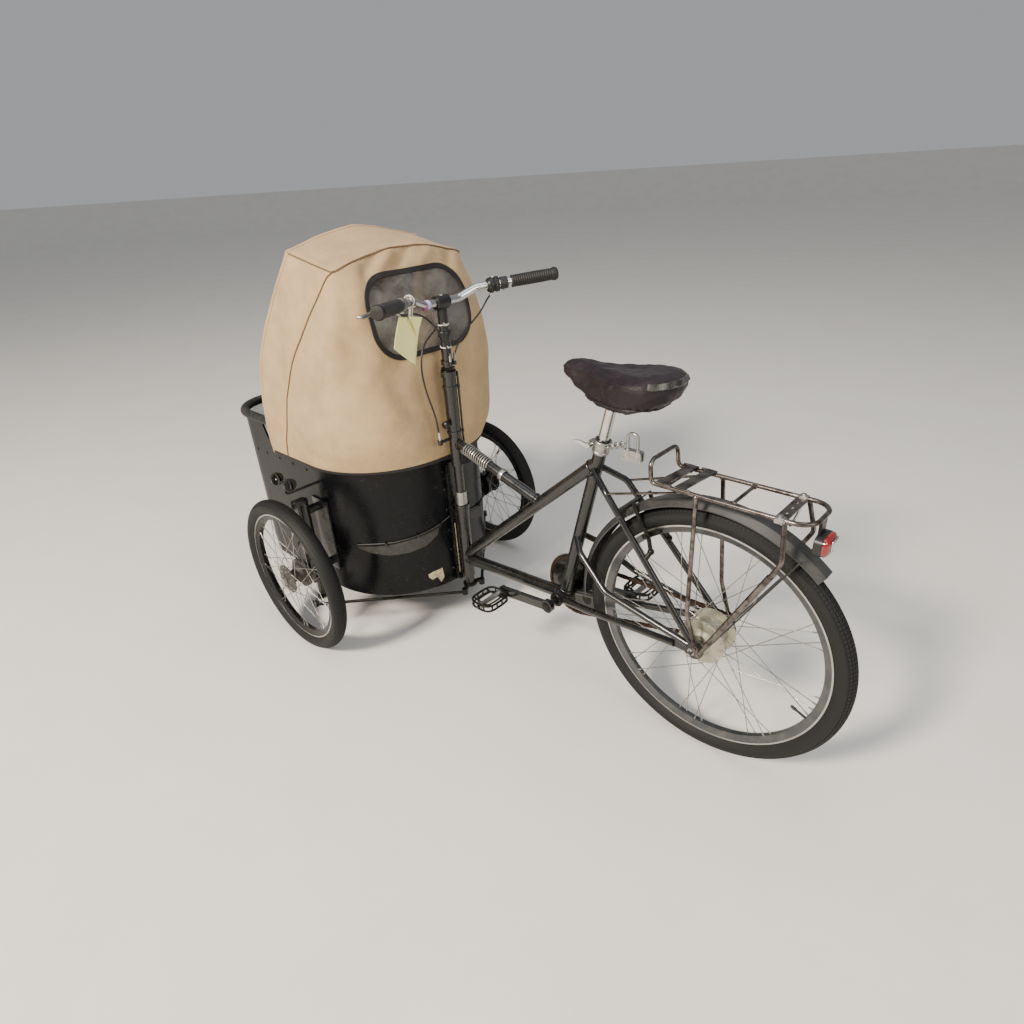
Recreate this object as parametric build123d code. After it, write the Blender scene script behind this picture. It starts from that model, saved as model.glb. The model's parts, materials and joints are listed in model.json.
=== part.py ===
from build123d import *
import math
import os

os.makedirs("parts", exist_ok=True)

# A three-wheeled cargo bike: a round-backed cabin with a canvas hood between two steered front wheels,
# and an ordinary bicycle rear half. Millimetres, +X forward, +Y to the rider's left, +Z up, ground at 0.
# Every x below is measured from the rear axle, and the last step moves the origin to the middle.

# Wheels and tyres
REAR_WHEEL_R = 327.0
REAR_TYRE_WIDTH = 47.0
FRONT_WHEEL_R = 250.0
FRONT_TYRE_WIDTH = 47.0
FRONT_AXLE_X = 1155.0
FRONT_TRACK = 842.0
TYRE_HEIGHT = 43.0
RIM_WIDTH = 25.0
RIM_DEPTH = 18.0
SPOKE_R = 1.0
SPOKES_PER_WHEEL = 36
SPOKE_STAGGER = 2.4

# Fits: a welded or resting seat, a running fit on a radius, and free air round what turns
SEAT_GAP = 0.2
RUNNING_CLEARANCE = 0.05
SIDE_CLEARANCE = 1.0

# Steering column and its head tubes
COLUMN_X = 825.0
COLUMN_R = 14.0
HEAD_TUBE_R = 19.0
LOWER_HEAD_Z = (172.0, 425.0)
UPPER_HEAD_Z = (556.0, 838.0)
HEAD_COLLAR_R = 22.0
HEAD_COLLAR_HEIGHT = 16.0
HOUSING_CLIP_HEIGHT = 8.0
HOUSING_CLIPS_IN = (100.0, 50.0)
HOUSING_ENDS_IN = (24.0, 4.0)
CABLE_CLIP_Z = (856.0, 868.0)
CABLE_STOP_Z = (636.0, 651.0)
CABLE_STOP_Y = 58.0
FOOT_PLATE_R = 22.0
COLUMN_TOP_Z = 1003.0
SLEEVE_R = 17.0
SLEEVE_LENGTH = 42.0

# Main frame
FRAME_TUBE_R = 17.0
DOWN_TUBE_R = 18.0
SEAT_TUBE_R = 16.5
BRACKET_AHEAD_OF_TYRE = 101.0
BOTTOM_BRACKET = (REAR_WHEEL_R + BRACKET_AHEAD_OF_TYRE, 262.0)
BRACKET_SHELL_R = 20.0
BRACKET_SHELL_WIDTH = 70.0
SEAT_TUBE_LENGTH = 470.0
SEAT_TUBE_LEAN_DEG = 14.6
TOP_TUBE_FRONT_Z = 245.0
TOP_TUBE_BELOW_TOP = 30.0
STRUT_FRONT_Z = 628.0
STRUT_REAR_X = 504.0
DOWN_TUBE_FRONT_Z = 232.0
STAY_R = 8.0
CHAINSTAY_R = 9.0
MID_STAY_AT = 214.0
MID_STAY_SPREAD = 10.0
MID_STAY_KNEES = ((344.0, 37.5, 444.0), (246.0, 64.0, 378.0))
SEAT_STAY_BELOW_TOP = 45.0
SEAT_STAY_SPREAD = 14.0
SEAT_STAY_KNEE = (262.0, 44.0, 640.0)
DROPOUT_Y = 66.0
DROPOUT_THICK = 6.0

# Seat
POST_R = 13.5
POST_OUT = 134.0
POST_IN = 90.0
CLAMP_HEIGHT = 34.0
CLAMP_WALL = 4.0
SADDLE_LENGTH = 312.0
SADDLE_WIDTH = 205.0
SADDLE_NOSE_WIDTH = 56.0
SADDLE_HEIGHT = 97.0
SADDLE_SEATED = 13.5
SADDLE_BEHIND_POST = 172.0
LOCK_SIZE = (50.0, 16.0, 26.0)
LOCK_CENTRE = (201.0, 30.0, 744.0)
SHACKLE_R = 3.5
SHACKLE_SPAN = 26.0
SHACKLE_RISE = 38.0
LINK_R = 6.5
LINK_WIRE_R = 1.6
LINK_COUNT = 7

# Cranks and pedals
CRANK_LENGTH = 170.0
CRANK_ANGLE_DEG = -6.7
CRANK_Y = 74.0
CRANK_THICK = 14.0
AXLE_R = 8.5
CHAINRING_R = 88.0
CHAINRING_Y = -50.0
CHAINRING_THICK = 3.0
CHAINRING_WINDOWS = 5
GUARD_DISC_R = 98.0
GUARD_DISC_Y = -56.5
GUARD_DISC_THICK = 2.0
SPROCKET_R = 40.0
CHAIN_WIDTH = 8.0
CHAIN_HEIGHT = 9.0
PEDAL_LENGTH = 92.0
PEDAL_WIDTH = 78.0
PEDAL_HEIGHT = 24.0
PEDAL_SPINDLE_R = 4.5

# Cabin: a half-round back, straight sides and a round-cornered front
CABIN_REAR_X = 866.0
CABIN_HALF_WIDTH = 285.0
CABIN_FRONT_X = 1632.0
CABIN_CORNER_R = 125.0
CABIN_BOTTOM_Z = 145.0
CABIN_BOW_R = 130.0
PANEL_THICK = 6.0
FLOOR_THICK = 12.0
PAN_TOP_Z = 205.0
PANEL_TOP_Z = 566.0
HOOP_LIFT = 84.0
WINDOW_REAR_X = 1530.0
WINDOW_BOTTOM_Z = 330.0
WINDOW_THICK = 4.0
RIM_TUBE_R = 9.0
HOOP_TUBE_R = 14.0
RAMP_X = (1225.0, 1365.0)
DIP_X = (1340.0, 1425.0)
SPINE_WIDTH = 26.0
SPINE_THICK = 10.0
BENCH_BEHIND = 155.0
BENCH_DEPTH = 260.0
BENCH_HALF_WIDTH = 236.0
BENCH_Z = 340.0
BENCH_BACK_Z = 540.0
BENCH_BOARD = 15.0
BENCH_WALL = 12.0

# Hood sections, each a round back, two straight sides and an open front
HOOD_THICK = 4.0
HEM_DROP = 6.0
HOOD_WINDOW_WIDTH = 330.0
HOOD_WINDOW_HEIGHT = 205.0
HOOD_WINDOW_Z = 992.0
HOOD_WINDOW_CORNER_R = 70.0
HOOD_BOW_R = 6.0
HOOD_BOW_BENDS = (30.0, 60.0, 24.0, 50.0)

# Front suspension posts and steering links
KINGPIN_Y = 345.0
KINGPIN_R = 11.0
POST_TUBE_R = 17.0
POST_TUBE_Z = (212.0, 470.0)
POST_PLATE_HALF = 40.0
POST_PLATE_THICK = 5.0
POST_PLATE_OVER = 20.0
LAMP_ABOVE_POST = 82.0
LAMP_OUT = 42.0
LAMP_STALK_DROP = 37.0
LAMP_STALK_R = 4.0
LAMP_BAR_HALF = 32.0
LAMP_R = 19.0
LAMP_THICK = 9.0
CARRIER_R = 13.0
CARRIER_Z = (240.0, 440.0)
YOKE_THICK = 9.0
YOKE_WIDTH = 36.0
STUB_AXLE_R = 7.0
STUB_ROOT_R = 16.0
LEVER_BACK = 15.0
LEVER_OUT = 38.0
STEER_ARM_Z = 133.0
LINK_PLATE_THICK = 6.0
TIE_ROD_R = 5.0
ROD_EYE_R = 9.5
ROD_EYE_HEIGHT = 12.0
ROD_PIN_R = 5.0
DRUM_R = 45.0
BACKPLATE_THICK = 4.0

# Handlebar
BAR_R = 11.1
BAR_Z = 1022.0
BAR_HALF_WIDTH = 306.0
BAR_SWEEP_BACK = 140.0
BAR_RISE = 37.0
GRIP_R = 16.5
GRIP_LENGTH = 128.0
STEM_R = 18.0
STEM_CLAMP_HALF_WIDTH = 22.0
LEVER_IN = 22.0
LEVER_CLAMP_WIDTH = 26.0
LEVER_CLAMP_R = 16.0
SHIFTER_IN = 36.0
SHIFTER_LENGTH = 34.0
SHIFTER_R = 20.0
ADJUSTER_R = 4.5
ADJUSTER_LENGTH = 26.0
CABLE_R = 2.5

# Mudguard, rack, light
MUDGUARD_GAP = 23.0
MUDGUARD_R = REAR_WHEEL_R + MUDGUARD_GAP
MUDGUARD_WIDTH = 56.0
MUDGUARD_THICK = 2.0
MUDGUARD_ANGLES = (-4.0, 132.0)
BRIDGE_R = 6.0
GUARD_WIRE_R = 2.0
BRAKE_ANGLE_DEG = 57.0
BRAKE_PAD_LENGTH = 56.0
BRAKE_PAD_HEIGHT = 11.0
BRAKE_PAD_THICK = 9.0
BRAKE_PAD_GAP = 2.0
BRAKE_ARM_R = 5.0
RACK_HALF_WIDTH = 57.0
RACK_OVER_TYRE = 52.0
RACK_Z = 2 * REAR_WHEEL_R + RACK_OVER_TYRE
RACK_TUBE_R = 5.0
RACK_FRONT_X = 140.0
RACK_REAR_X = -205.0
RACK_HOOP_RISE = 50.0
RACK_LEG_R = 6.5
RACK_SLEEVE_OVER = 200.0
RACK_CROSS_RODS_X = (100.0, -46.0)
RACK_STRAPS_X = (104.0, 60.0)
RACK_TAIL_PLATE_X = -145.0
RACK_STRUT_X = 66.0
RACK_STRUT_R = 3.0
# Legs: rail x, knee x and height above the axle, foot x and height above the axle
RACK_LEGS = ((28.0, 16.0, 103.0, -10.0, 17.0), (-155.0, -168.0, 300.0, -19.0, 4.0))
RACK_PLATE_WIDTH = 24.0
RACK_PLATE_THICK = 3.0
LIGHT_BRACKET_THICK = 6.0
LIGHT_BELOW_RACK = 54.0
LIGHT_Z = RACK_Z - LIGHT_BELOW_RACK
LIGHT_WIDTH = 62.0
LIGHT_HEIGHT = 44.0
LIGHT_CORNER_R = 14.0
LIGHT_DEPTH = 30.0

PARTS = {}


def rod(start, end, radius):
    """Round bar between two points."""
    axis = Vector(*end) - Vector(*start)
    return Solid.make_cylinder(radius, axis.length, Plane(origin=start, z_dir=axis))


def pipe(start, end, radius, bore):
    """Round tube with a through bore."""
    run = (Vector(*end) - Vector(*start)).normalized()
    return rod(start, end, radius) - rod(Vector(*start) - run, Vector(*end) + run, bore)


def bent_rod(points, bends, radius):
    """Round bar along straight runs joined by tangent arcs."""
    path = FilletPolyline(*points, radius=bends)
    return sweep(Plane(origin=path @ 0, z_dir=path % 0) * Circle(radius), path=path)


def block(low, high):
    """Box from its low corner to its high corner."""
    size = Vector(*high) - Vector(*low)
    return Pos(*low) * Box(size.X, size.Y, size.Z, align=(Align.MIN, Align.MIN, Align.MIN))


def mirror_y(shape):
    return mirror(shape, about=Plane.XZ)


def cable(points):
    """Free cable along its points, each bend as large as the two runs beside it allow."""
    spots = [Vector(*point) for point in points]
    runs = [after - before for before, after in zip(spots, spots[1:])]
    bends = []
    for before, after in zip(runs, runs[1:]):
        half_turn = math.radians(before.get_angle(after)) / 2
        bends.append(0.45 * min(before.length, after.length) / math.tan(half_turn))
    path = FilletPolyline(*points, radius=bends)
    tube = sweep(Plane(origin=path @ 0, z_dir=path % 0) * Circle(CABLE_R), path=path)
    print("cable length", round(path.length, 1), "smallest bend", round(min(bends), 1),
          "volume share", round(tube.volume / (math.pi * CABLE_R ** 2 * path.length), 4))
    return tube


def turned(points, centre):
    """Ring about the Y direction through a centre, from (radius, y) points."""
    outline = Polyline(*[(radius, y) for radius, y in points], close=True)
    return Pos(*centre) * revolve(make_face(outline), axis=Axis.Y)


def disc(centre, radius, low_y, high_y):
    """Plain disc about the Y direction."""
    x, z = centre
    return rod((x, low_y, z), (x, high_y, z), radius)


def keep(name, *shapes):
    """Record one node, which may hold several solids that don't touch."""
    solids = [solid for shape in shapes for solid in shape.solids()]
    PARTS[name] = Compound(solids) if len(solids) > 1 else solids[0]


# Points on the seat tube, by distance from the bottom bracket
BB_X, BB_Z = BOTTOM_BRACKET
LEAN = math.radians(SEAT_TUBE_LEAN_DEG)
TOP_TUBE_AT = SEAT_TUBE_LENGTH - TOP_TUBE_BELOW_TOP
SEAT_STAY_AT = SEAT_TUBE_LENGTH - SEAT_STAY_BELOW_TOP
POST_TOP_AT = SEAT_TUBE_LENGTH + POST_OUT


def on_seat_tube(distance):
    return BB_X - distance * math.sin(LEAN), 0.0, BB_Z + distance * math.cos(LEAN)


def from_crank(length, angle_deg, y):
    angle = math.radians(angle_deg)
    return BB_X + length * math.cos(angle), y, BB_Z + length * math.sin(angle)


# Wheels


def tyre(centre, radius, width):
    """Closed casing from bead to tread, with flats for the sidewalls, the shoulders and the tread."""
    half = width / 2
    bead = radius - TYRE_HEIGHT
    section = [
        (bead, -0.45 * half),
        (bead + 0.5 * TYRE_HEIGHT, -half),
        (radius, -0.42 * half),
        (radius, 0.42 * half),
        (bead + 0.5 * TYRE_HEIGHT, half),
        (bead, 0.45 * half),
    ]
    return turned(section, centre)


def rim(centre, radius):
    """Rim ring under the tyre's bead."""
    top = radius - TYRE_HEIGHT - SEAT_GAP
    half = RIM_WIDTH / 2
    section = [(top - RIM_DEPTH, -0.45 * half), (top, -half), (top, half), (top - RIM_DEPTH, 0.45 * half)]
    return turned(section, centre)


def spokes(centre, radius, flanges):
    """Crossed spokes from two hub flanges to the rim, heads in and heads out by turns."""
    cx, cy, cz = centre
    rim_r = radius - TYRE_HEIGHT - RIM_DEPTH - 3 * SEAT_GAP
    count = SPOKES_PER_WHEEL // 2
    step = 2 * math.pi / count
    laid = []
    for side, (flange_y, flange_edge) in enumerate(flanges):
        start_r = flange_edge + SPOKE_R + 2 * SEAT_GAP
        for index in range(count):
            lead = 1 if index % 2 else -1
            hub_angle = index * step + side * step / 2
            rim_angle = hub_angle + lead * 2.6 * step
            head_y = cy + flange_y + lead * SPOKE_STAGGER
            rim_y = cy + math.copysign(3.5, flange_y) + lead * 1.6
            start = (cx + start_r * math.cos(hub_angle), head_y, cz + start_r * math.sin(hub_angle))
            end = (cx + rim_r * math.cos(rim_angle), rim_y, cz + rim_r * math.sin(rim_angle))
            laid.append(rod(start, end, SPOKE_R))
    return laid


# Rear wheel
REAR_CENTRE = (0.0, 0.0, REAR_WHEEL_R)
REAR_FLANGE_R = 56.0
REAR_FLANGE_Y = 29.0
REAR_AXLE_R = 5.0
AXLE_NUT_R = 9.0
AXLE_NUT_HEIGHT = 9.0
AXLE_END_LENGTH = 14.0
HUB_BODY_R = 40.0
SPROCKET_Y = CHAINRING_Y
REAR_FLANGE_HALF = 1.2

keep("rear_tyre", tyre(REAR_CENTRE, REAR_WHEEL_R, REAR_TYRE_WIDTH))
keep("rear_rim", rim(REAR_CENTRE, REAR_WHEEL_R))
rear_flanges = [(REAR_FLANGE_Y, REAR_FLANGE_R), (-REAR_FLANGE_Y, REAR_FLANGE_R)]
keep("rear_spokes", *spokes(REAR_CENTRE, REAR_WHEEL_R, rear_flanges))
rear_bore = REAR_AXLE_R + RUNNING_CLEARANCE
hub_half = REAR_FLANGE_Y + REAR_FLANGE_HALF
hub_section = [
    (rear_bore, -hub_half - 7),
    (24.0, -hub_half - 7),
    (30.0, -hub_half),
    (REAR_FLANGE_R, -hub_half),
    (REAR_FLANGE_R, -hub_half + 2 * REAR_FLANGE_HALF),
    (HUB_BODY_R, -hub_half + 7),
    (HUB_BODY_R, hub_half - 7),
    (REAR_FLANGE_R, hub_half - 2 * REAR_FLANGE_HALF),
    (REAR_FLANGE_R, hub_half),
    (32.0, hub_half + 3),
    (24.0, hub_half + 12),
    (rear_bore, hub_half + 12),
]
sprocket_r = SPROCKET_R - CHAIN_HEIGHT / 2 - SEAT_GAP
sprocket = disc((0.0, REAR_WHEEL_R), sprocket_r, SPROCKET_Y - 1.5, SPROCKET_Y + 1.5)
sprocket_neck = disc((0.0, REAR_WHEEL_R), 22.0, SPROCKET_Y, -hub_half - 6)
cassette = sprocket + sprocket_neck - disc((0.0, REAR_WHEEL_R), rear_bore, -100, 0)
keep("rear_hub", turned(hub_section, REAR_CENTRE) + cassette)

# Front wheels, made on the left and mirrored
WHEEL_Y = FRONT_TRACK / 2
FRONT_FLANGE_R = 45.0
FRONT_FLANGE_Y = 24.0
front_flanges = [(FRONT_FLANGE_Y, FRONT_FLANGE_R), (-23.5, FRONT_FLANGE_R)]
front_centre = (FRONT_AXLE_X, WHEEL_Y, FRONT_WHEEL_R)
stub_bore = STUB_AXLE_R + RUNNING_CLEARANCE
drum_section = [
    (stub_bore, -27.0),
    (DRUM_R, -27.0),
    (DRUM_R, -20.0),
    (30.0, -14.0),
    (18.0, 4.0),
    (18.0, 21.0),
    (FRONT_FLANGE_R, 23.0),
    (FRONT_FLANGE_R, 25.5),
    (20.0, 28.0),
    (12.0, 34.0),
    (stub_bore, 34.0),
]
front_wheel = {
    "tyre": [tyre(front_centre, FRONT_WHEEL_R, FRONT_TYRE_WIDTH)],
    "rim": [rim(front_centre, FRONT_WHEEL_R)],
    "spokes": spokes(front_centre, FRONT_WHEEL_R, front_flanges),
    "hub": [turned(drum_section, front_centre)],
}
for piece, shapes in front_wheel.items():
    keep(f"front_{piece}_left", *shapes)
    keep(f"front_{piece}_right", *[mirror_y(shape) for shape in shapes])

# Knuckle: a yoke round the post tube, its kingpin, the stub axle, the brake backplate and the arm
PLATE_Y = KINGPIN_Y + POST_TUBE_R + SIDE_CLEARANCE
YOKE_TOP_Z = POST_TUBE_Z[1] + SIDE_CLEARANCE
YOKE_FOOT_Z = POST_TUBE_Z[0] - SIDE_CLEARANCE
half_yoke = YOKE_WIDTH / 2
drum_inner_y = WHEEL_Y - 27.0
kingpin = (FRONT_AXLE_X, KINGPIN_Y)
knuckle = block(
    (FRONT_AXLE_X - half_yoke, PLATE_Y, YOKE_FOOT_Z - YOKE_THICK),
    (FRONT_AXLE_X + half_yoke, PLATE_Y + YOKE_THICK, YOKE_TOP_Z + YOKE_THICK),
)
for low_z in (YOKE_FOOT_Z - YOKE_THICK, YOKE_TOP_Z):
    cheek = block(
        (FRONT_AXLE_X - half_yoke, KINGPIN_Y, low_z),
        (FRONT_AXLE_X + half_yoke, PLATE_Y + 1, low_z + YOKE_THICK),
    )
    knuckle += cheek + rod((*kingpin, low_z), (*kingpin, low_z + YOKE_THICK), half_yoke)
knuckle += rod((*kingpin, STEER_ARM_Z + 1), (*kingpin, YOKE_TOP_Z + YOKE_THICK + 4), KINGPIN_R)
stub_length_y = WHEEL_Y + 42.0
stub_root = (FRONT_AXLE_X, PLATE_Y, FRONT_WHEEL_R)
knuckle += rod(stub_root, (FRONT_AXLE_X, drum_inner_y - SIDE_CLEARANCE, FRONT_WHEEL_R), STUB_ROOT_R)
knuckle += rod(stub_root, (FRONT_AXLE_X, stub_length_y, FRONT_WHEEL_R), STUB_AXLE_R)

# The levers of the column's foot and of the knuckles are equal and parallel, so all turn by one angle
ARM_END = (FRONT_AXLE_X - LEVER_BACK, KINGPIN_Y + LEVER_OUT)
INNER_EYE = (COLUMN_X - LEVER_BACK, LEVER_OUT)
lever_length = math.hypot(LEVER_BACK, LEVER_OUT)
lever_angle = math.degrees(math.atan2(LEVER_OUT, -LEVER_BACK))
eye_high = STEER_ARM_Z - SIDE_CLEARANCE
eye_low = eye_high - ROD_EYE_HEIGHT


def lever(root, root_r, angle):
    """Flat lever with a round root, a round end and a pin that reaches down through the rod's eye."""
    bar = Rot(0, 0, angle) * Rectangle(lever_length, 2 * ROD_EYE_R - 3, align=(Align.MIN, Align.CENTER))
    end = Vector(lever_length, 0).rotate(Axis.Z, angle)
    plan = Circle(root_r) + bar + Pos(end.X, end.Y) * Circle(ROD_EYE_R)
    plate = Pos(*root, STEER_ARM_Z) * extrude(plan, LINK_PLATE_THICK)
    tip = Vector(*root) + end
    return plate + rod((tip.X, tip.Y, eye_low), (tip.X, tip.Y, STEER_ARM_Z + 1), ROD_PIN_R)


knuckle += lever(kingpin, half_yoke - 2, lever_angle)
backplate_out = drum_inner_y - SIDE_CLEARANCE
knuckle += disc((FRONT_AXLE_X, FRONT_WHEEL_R), DRUM_R + 2, backplate_out - BACKPLATE_THICK, backplate_out)
lamp_z = POST_TUBE_Z[1] + LAMP_ABOVE_POST
lamp_y = KINGPIN_Y + LAMP_OUT
cabin_side_y = CABIN_HALF_WIDTH + SEAT_GAP
stalk_z = lamp_z - LAMP_STALK_DROP
stalk_points = [
    (FRONT_AXLE_X, cabin_side_y, stalk_z),
    (FRONT_AXLE_X, lamp_y, stalk_z),
    (FRONT_AXLE_X, lamp_y, lamp_z),
]
wheel_lamps = bent_rod(stalk_points, 2.25 * LAMP_STALK_R, LAMP_STALK_R)
bar_ends = [(FRONT_AXLE_X + end * LAMP_BAR_HALF, lamp_y, lamp_z) for end in (-1, 1)]
wheel_lamps += rod(*bar_ends, LAMP_STALK_R)
for lens_x in (FRONT_AXLE_X - LAMP_BAR_HALF - LAMP_THICK, FRONT_AXLE_X + LAMP_BAR_HALF):
    lens_z = lamp_z + LAMP_STALK_R
    wheel_lamps += rod((lens_x, lamp_y, lens_z), (lens_x + LAMP_THICK, lamp_y, lens_z), LAMP_R)
keep("wheel_lamps", wheel_lamps, mirror_y(wheel_lamps))
keep("knuckle_left", knuckle)
keep("knuckle_right", mirror_y(knuckle))

# Steering column, its foot plate and the two tie rods
column_foot_z = STEER_ARM_Z + LINK_PLATE_THICK + SEAT_GAP
column = rod((COLUMN_X, 0, column_foot_z), (COLUMN_X, 0, COLUMN_TOP_Z), COLUMN_R)
clip_low, clip_high = CABLE_CLIP_Z
column += rod((COLUMN_X, 0, clip_low), (COLUMN_X, 0, clip_high), COLUMN_R + CLAMP_WALL)
guide_x = COLUMN_X - COLUMN_R - CLAMP_WALL - 4
guide_y = 8.0
for side in (1, -1):
    column += rod((guide_x, side * guide_y, clip_low), (guide_x, side * guide_y, clip_high), ADJUSTER_R)
keep("steering_column", column)
sleeve_low = LOWER_HEAD_Z[1] + SIDE_CLEARANCE
keep("bearing_sleeve", pipe((COLUMN_X, 0, sleeve_low), (COLUMN_X, 0, sleeve_low + SLEEVE_LENGTH), SLEEVE_R,
                            COLUMN_R + SEAT_GAP))
foot = lever((COLUMN_X, 0), FOOT_PLATE_R, lever_angle) + lever((COLUMN_X, 0), FOOT_PLATE_R, -lever_angle)
keep("steering_foot", foot)

rod_level = (eye_low + eye_high) / 2
shank = Vector(*ARM_END, rod_level) - Vector(*INNER_EYE, rod_level)
shank_in = Vector(*INNER_EYE, rod_level) + shank.normalized() * (ROD_EYE_R - 3)
shank_out = Vector(*ARM_END, rod_level) - shank.normalized() * (ROD_EYE_R - 3)
tie_rod = rod(shank_in, shank_out, TIE_ROD_R)
for eye in (INNER_EYE, ARM_END):
    tie_rod += rod((*eye, eye_low), (*eye, eye_high), ROD_EYE_R)
for eye in (INNER_EYE, ARM_END):
    tie_rod -= rod((*eye, eye_low - 1), (*eye, eye_high + 1), ROD_PIN_R + RUNNING_CLEARANCE)
keep("tie_rod_left", tie_rod)
keep("tie_rod_right", mirror_y(tie_rod))

# Stem, handlebar and controls
clamp_y = STEM_CLAMP_HALF_WIDTH
stem = rod((COLUMN_X, 0, COLUMN_TOP_Z + SEAT_GAP), (COLUMN_X, 0, BAR_Z), COLUMN_R - 2)
stem += rod((COLUMN_X, -clamp_y, BAR_Z), (COLUMN_X, clamp_y, BAR_Z), STEM_R)
stem -= rod((COLUMN_X, -clamp_y - 1, BAR_Z), (COLUMN_X, clamp_y + 1, BAR_Z), BAR_R + SEAT_GAP)
keep("stem", stem)
grip_x = COLUMN_X - BAR_SWEEP_BACK
grip_z = BAR_Z + BAR_RISE
bend_y = 0.36 * BAR_HALF_WIDTH
bar_half = [
    (COLUMN_X, 0, BAR_Z),
    (COLUMN_X, 0.2 * BAR_HALF_WIDTH, BAR_Z),
    (COLUMN_X - 0.12 * BAR_SWEEP_BACK, bend_y, BAR_Z + 0.55 * BAR_RISE),
    (grip_x, BAR_HALF_WIDTH, grip_z),
]
bar_points = [(x, -y, z) for x, y, z in reversed(bar_half[1:])] + bar_half[1:]
keep("handlebar", bent_rod(bar_points, 40.0, BAR_R))
grip_end = Vector(grip_x, BAR_HALF_WIDTH, grip_z)
grip_run = (grip_end - Vector(*bar_half[2])).normalized()


def on_grip(back):
    """Point on the left grip's axis, measured inwards from the bar's end."""
    return grip_end - grip_run * back


def grip_tube(start, end, radius):
    return pipe(on_grip(start), on_grip(end), radius, BAR_R + SEAT_GAP)


grip = grip_tube(-SEAT_GAP, GRIP_LENGTH, GRIP_R) + rod(on_grip(-5), on_grip(-SEAT_GAP), GRIP_R)
keep("grips", grip, mirror_y(grip))
lever_out = Vector(grip_run.Y, -grip_run.X, 0).normalized()
lever_root = on_grip(GRIP_LENGTH + LEVER_IN)
clamp_from = GRIP_LENGTH + LEVER_IN - LEVER_CLAMP_WIDTH / 2
lever_clamp = grip_tube(clamp_from, clamp_from + LEVER_CLAMP_WIDTH, LEVER_CLAMP_R)
lever_pivot = lever_root + lever_out * 34 + Vector(0, 0, -6)
lever_body = rod(lever_root + lever_out * 13, lever_pivot, 8.0)
lever_body -= rod(on_grip(GRIP_LENGTH), on_grip(GRIP_LENGTH + 2 * LEVER_IN), BAR_R + SEAT_GAP)
lever_tip = on_grip(28) + lever_out * 52 + Vector(0, 0, -12)
lever_blade = rod(lever_pivot, lever_tip, 5.0) + Pos(*lever_tip) * Sphere(6.5)
adjuster_run = Vector(0.17, -0.82, -0.55).normalized()
adjuster_end = lever_pivot + adjuster_run * ADJUSTER_LENGTH
adjuster = rod(lever_pivot, adjuster_end, ADJUSTER_R)
brake_lever = lever_clamp + lever_body + lever_blade + adjuster
keep("brake_levers", brake_lever, mirror_y(brake_lever))
shifter_from = GRIP_LENGTH + SHIFTER_IN
shifter_end = on_grip(shifter_from + SHIFTER_LENGTH)
shifter = grip_tube(shifter_from, shifter_from + SHIFTER_LENGTH, SHIFTER_R)
keep("gear_shifter", mirror_y(shifter))

# Cables: from each lever's adjuster to the clip on the column, and from the shifter to the stop on the
# head tube, in a loop that hangs left of the column
cable_from = adjuster_end + adjuster_run * SEAT_GAP
cable_on = cable_from + adjuster_run * 27
guide_top = clip_high + 2 * SEAT_GAP
cable_left_points = [
    (*cable_from,),
    (*cable_on,),
    (806.0, 120.0, 1014.0),
    (805.0, 90.0, 1006.0),
    (803.0, 62.0, 984.0),
    (801.0, 40.0, 955.0),
    (801.0, 22.0, 918.0),
    (guide_x, guide_y + 1, 889.0),
    (guide_x, guide_y, guide_top),
]
cable_right_points = [
    (cable_from.X, -cable_from.Y, cable_from.Z),
    (cable_on.X, -cable_on.Y, cable_on.Z),
    (806.0, -126.0, 979.0),
    (805.0, -88.0, 956.0),
    (804.0, -54.0, 939.0),
    (803.0, -26.0, 910.0),
    (guide_x, -guide_y - 1, 886.0),
    (guide_x, -guide_y, guide_top),
]
loop_from = shifter_end + lever_out * (SHIFTER_R - ADJUSTER_R) - grip_run * SEAT_GAP
cable_loop_points = [
    (loop_from.X, -loop_from.Y, loop_from.Z),
    (817.5, -125.0, 1042.5),
    (833.0, -99.0, 1037.0),
    (848.0, -72.0, 1023.0),
    (858.0, -46.0, 999.0),
    (861.0, -22.0, 966.0),
    (860.0, 4.0, 945.0),
    (851.0, 34.0, 934.0),
    (845.0, 60.0, 918.0),
    (840.0, 77.0, 888.0),
    (837.0, 84.0, 852.0),
    (834.0, 82.0, 815.0),
    (831.0, 76.0, 778.0),
    (829.0, 66.0, 742.0),
    (827.0, 60.0, 706.0),
    (825.5, CABLE_STOP_Y + 0.5, 676.0),
    (COLUMN_X, CABLE_STOP_Y, CABLE_STOP_Z[1] + 1.5 * SEAT_GAP),
]
keep("cable_left", cable(cable_left_points))
keep("cable_right", cable(cable_right_points))
keep("cable_loop", cable(cable_loop_points))

# Head tubes, main tubes and stays


def coped(shape, *hosts):
    """A tube's end cut to sit against the tubes that it is welded to."""
    for start, end, radius in hosts:
        shape = shape - rod(start, end, radius + SEAT_GAP)
    return shape


head_axis = ((COLUMN_X, 0, 0), (COLUMN_X, 0, COLUMN_TOP_Z))
head_host = (*head_axis, HEAD_TUBE_R)
seat_host = (on_seat_tube(-60), on_seat_tube(SEAT_TUBE_LENGTH + 60), SEAT_TUBE_R)
bracket_host = ((BB_X, -BRACKET_SHELL_WIDTH, BB_Z), (BB_X, BRACKET_SHELL_WIDTH, BB_Z), BRACKET_SHELL_R)
top_tube_line = ((COLUMN_X, 0, TOP_TUBE_FRONT_Z), on_seat_tube(TOP_TUBE_AT))
strut_rear_z = TOP_TUBE_FRONT_Z + (COLUMN_X - STRUT_REAR_X) * (top_tube_line[1][2] - TOP_TUBE_FRONT_Z) / (
    COLUMN_X - top_tube_line[1][0])
strut_line = ((COLUMN_X, 0, STRUT_FRONT_Z), (STRUT_REAR_X, 0, strut_rear_z))

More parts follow.
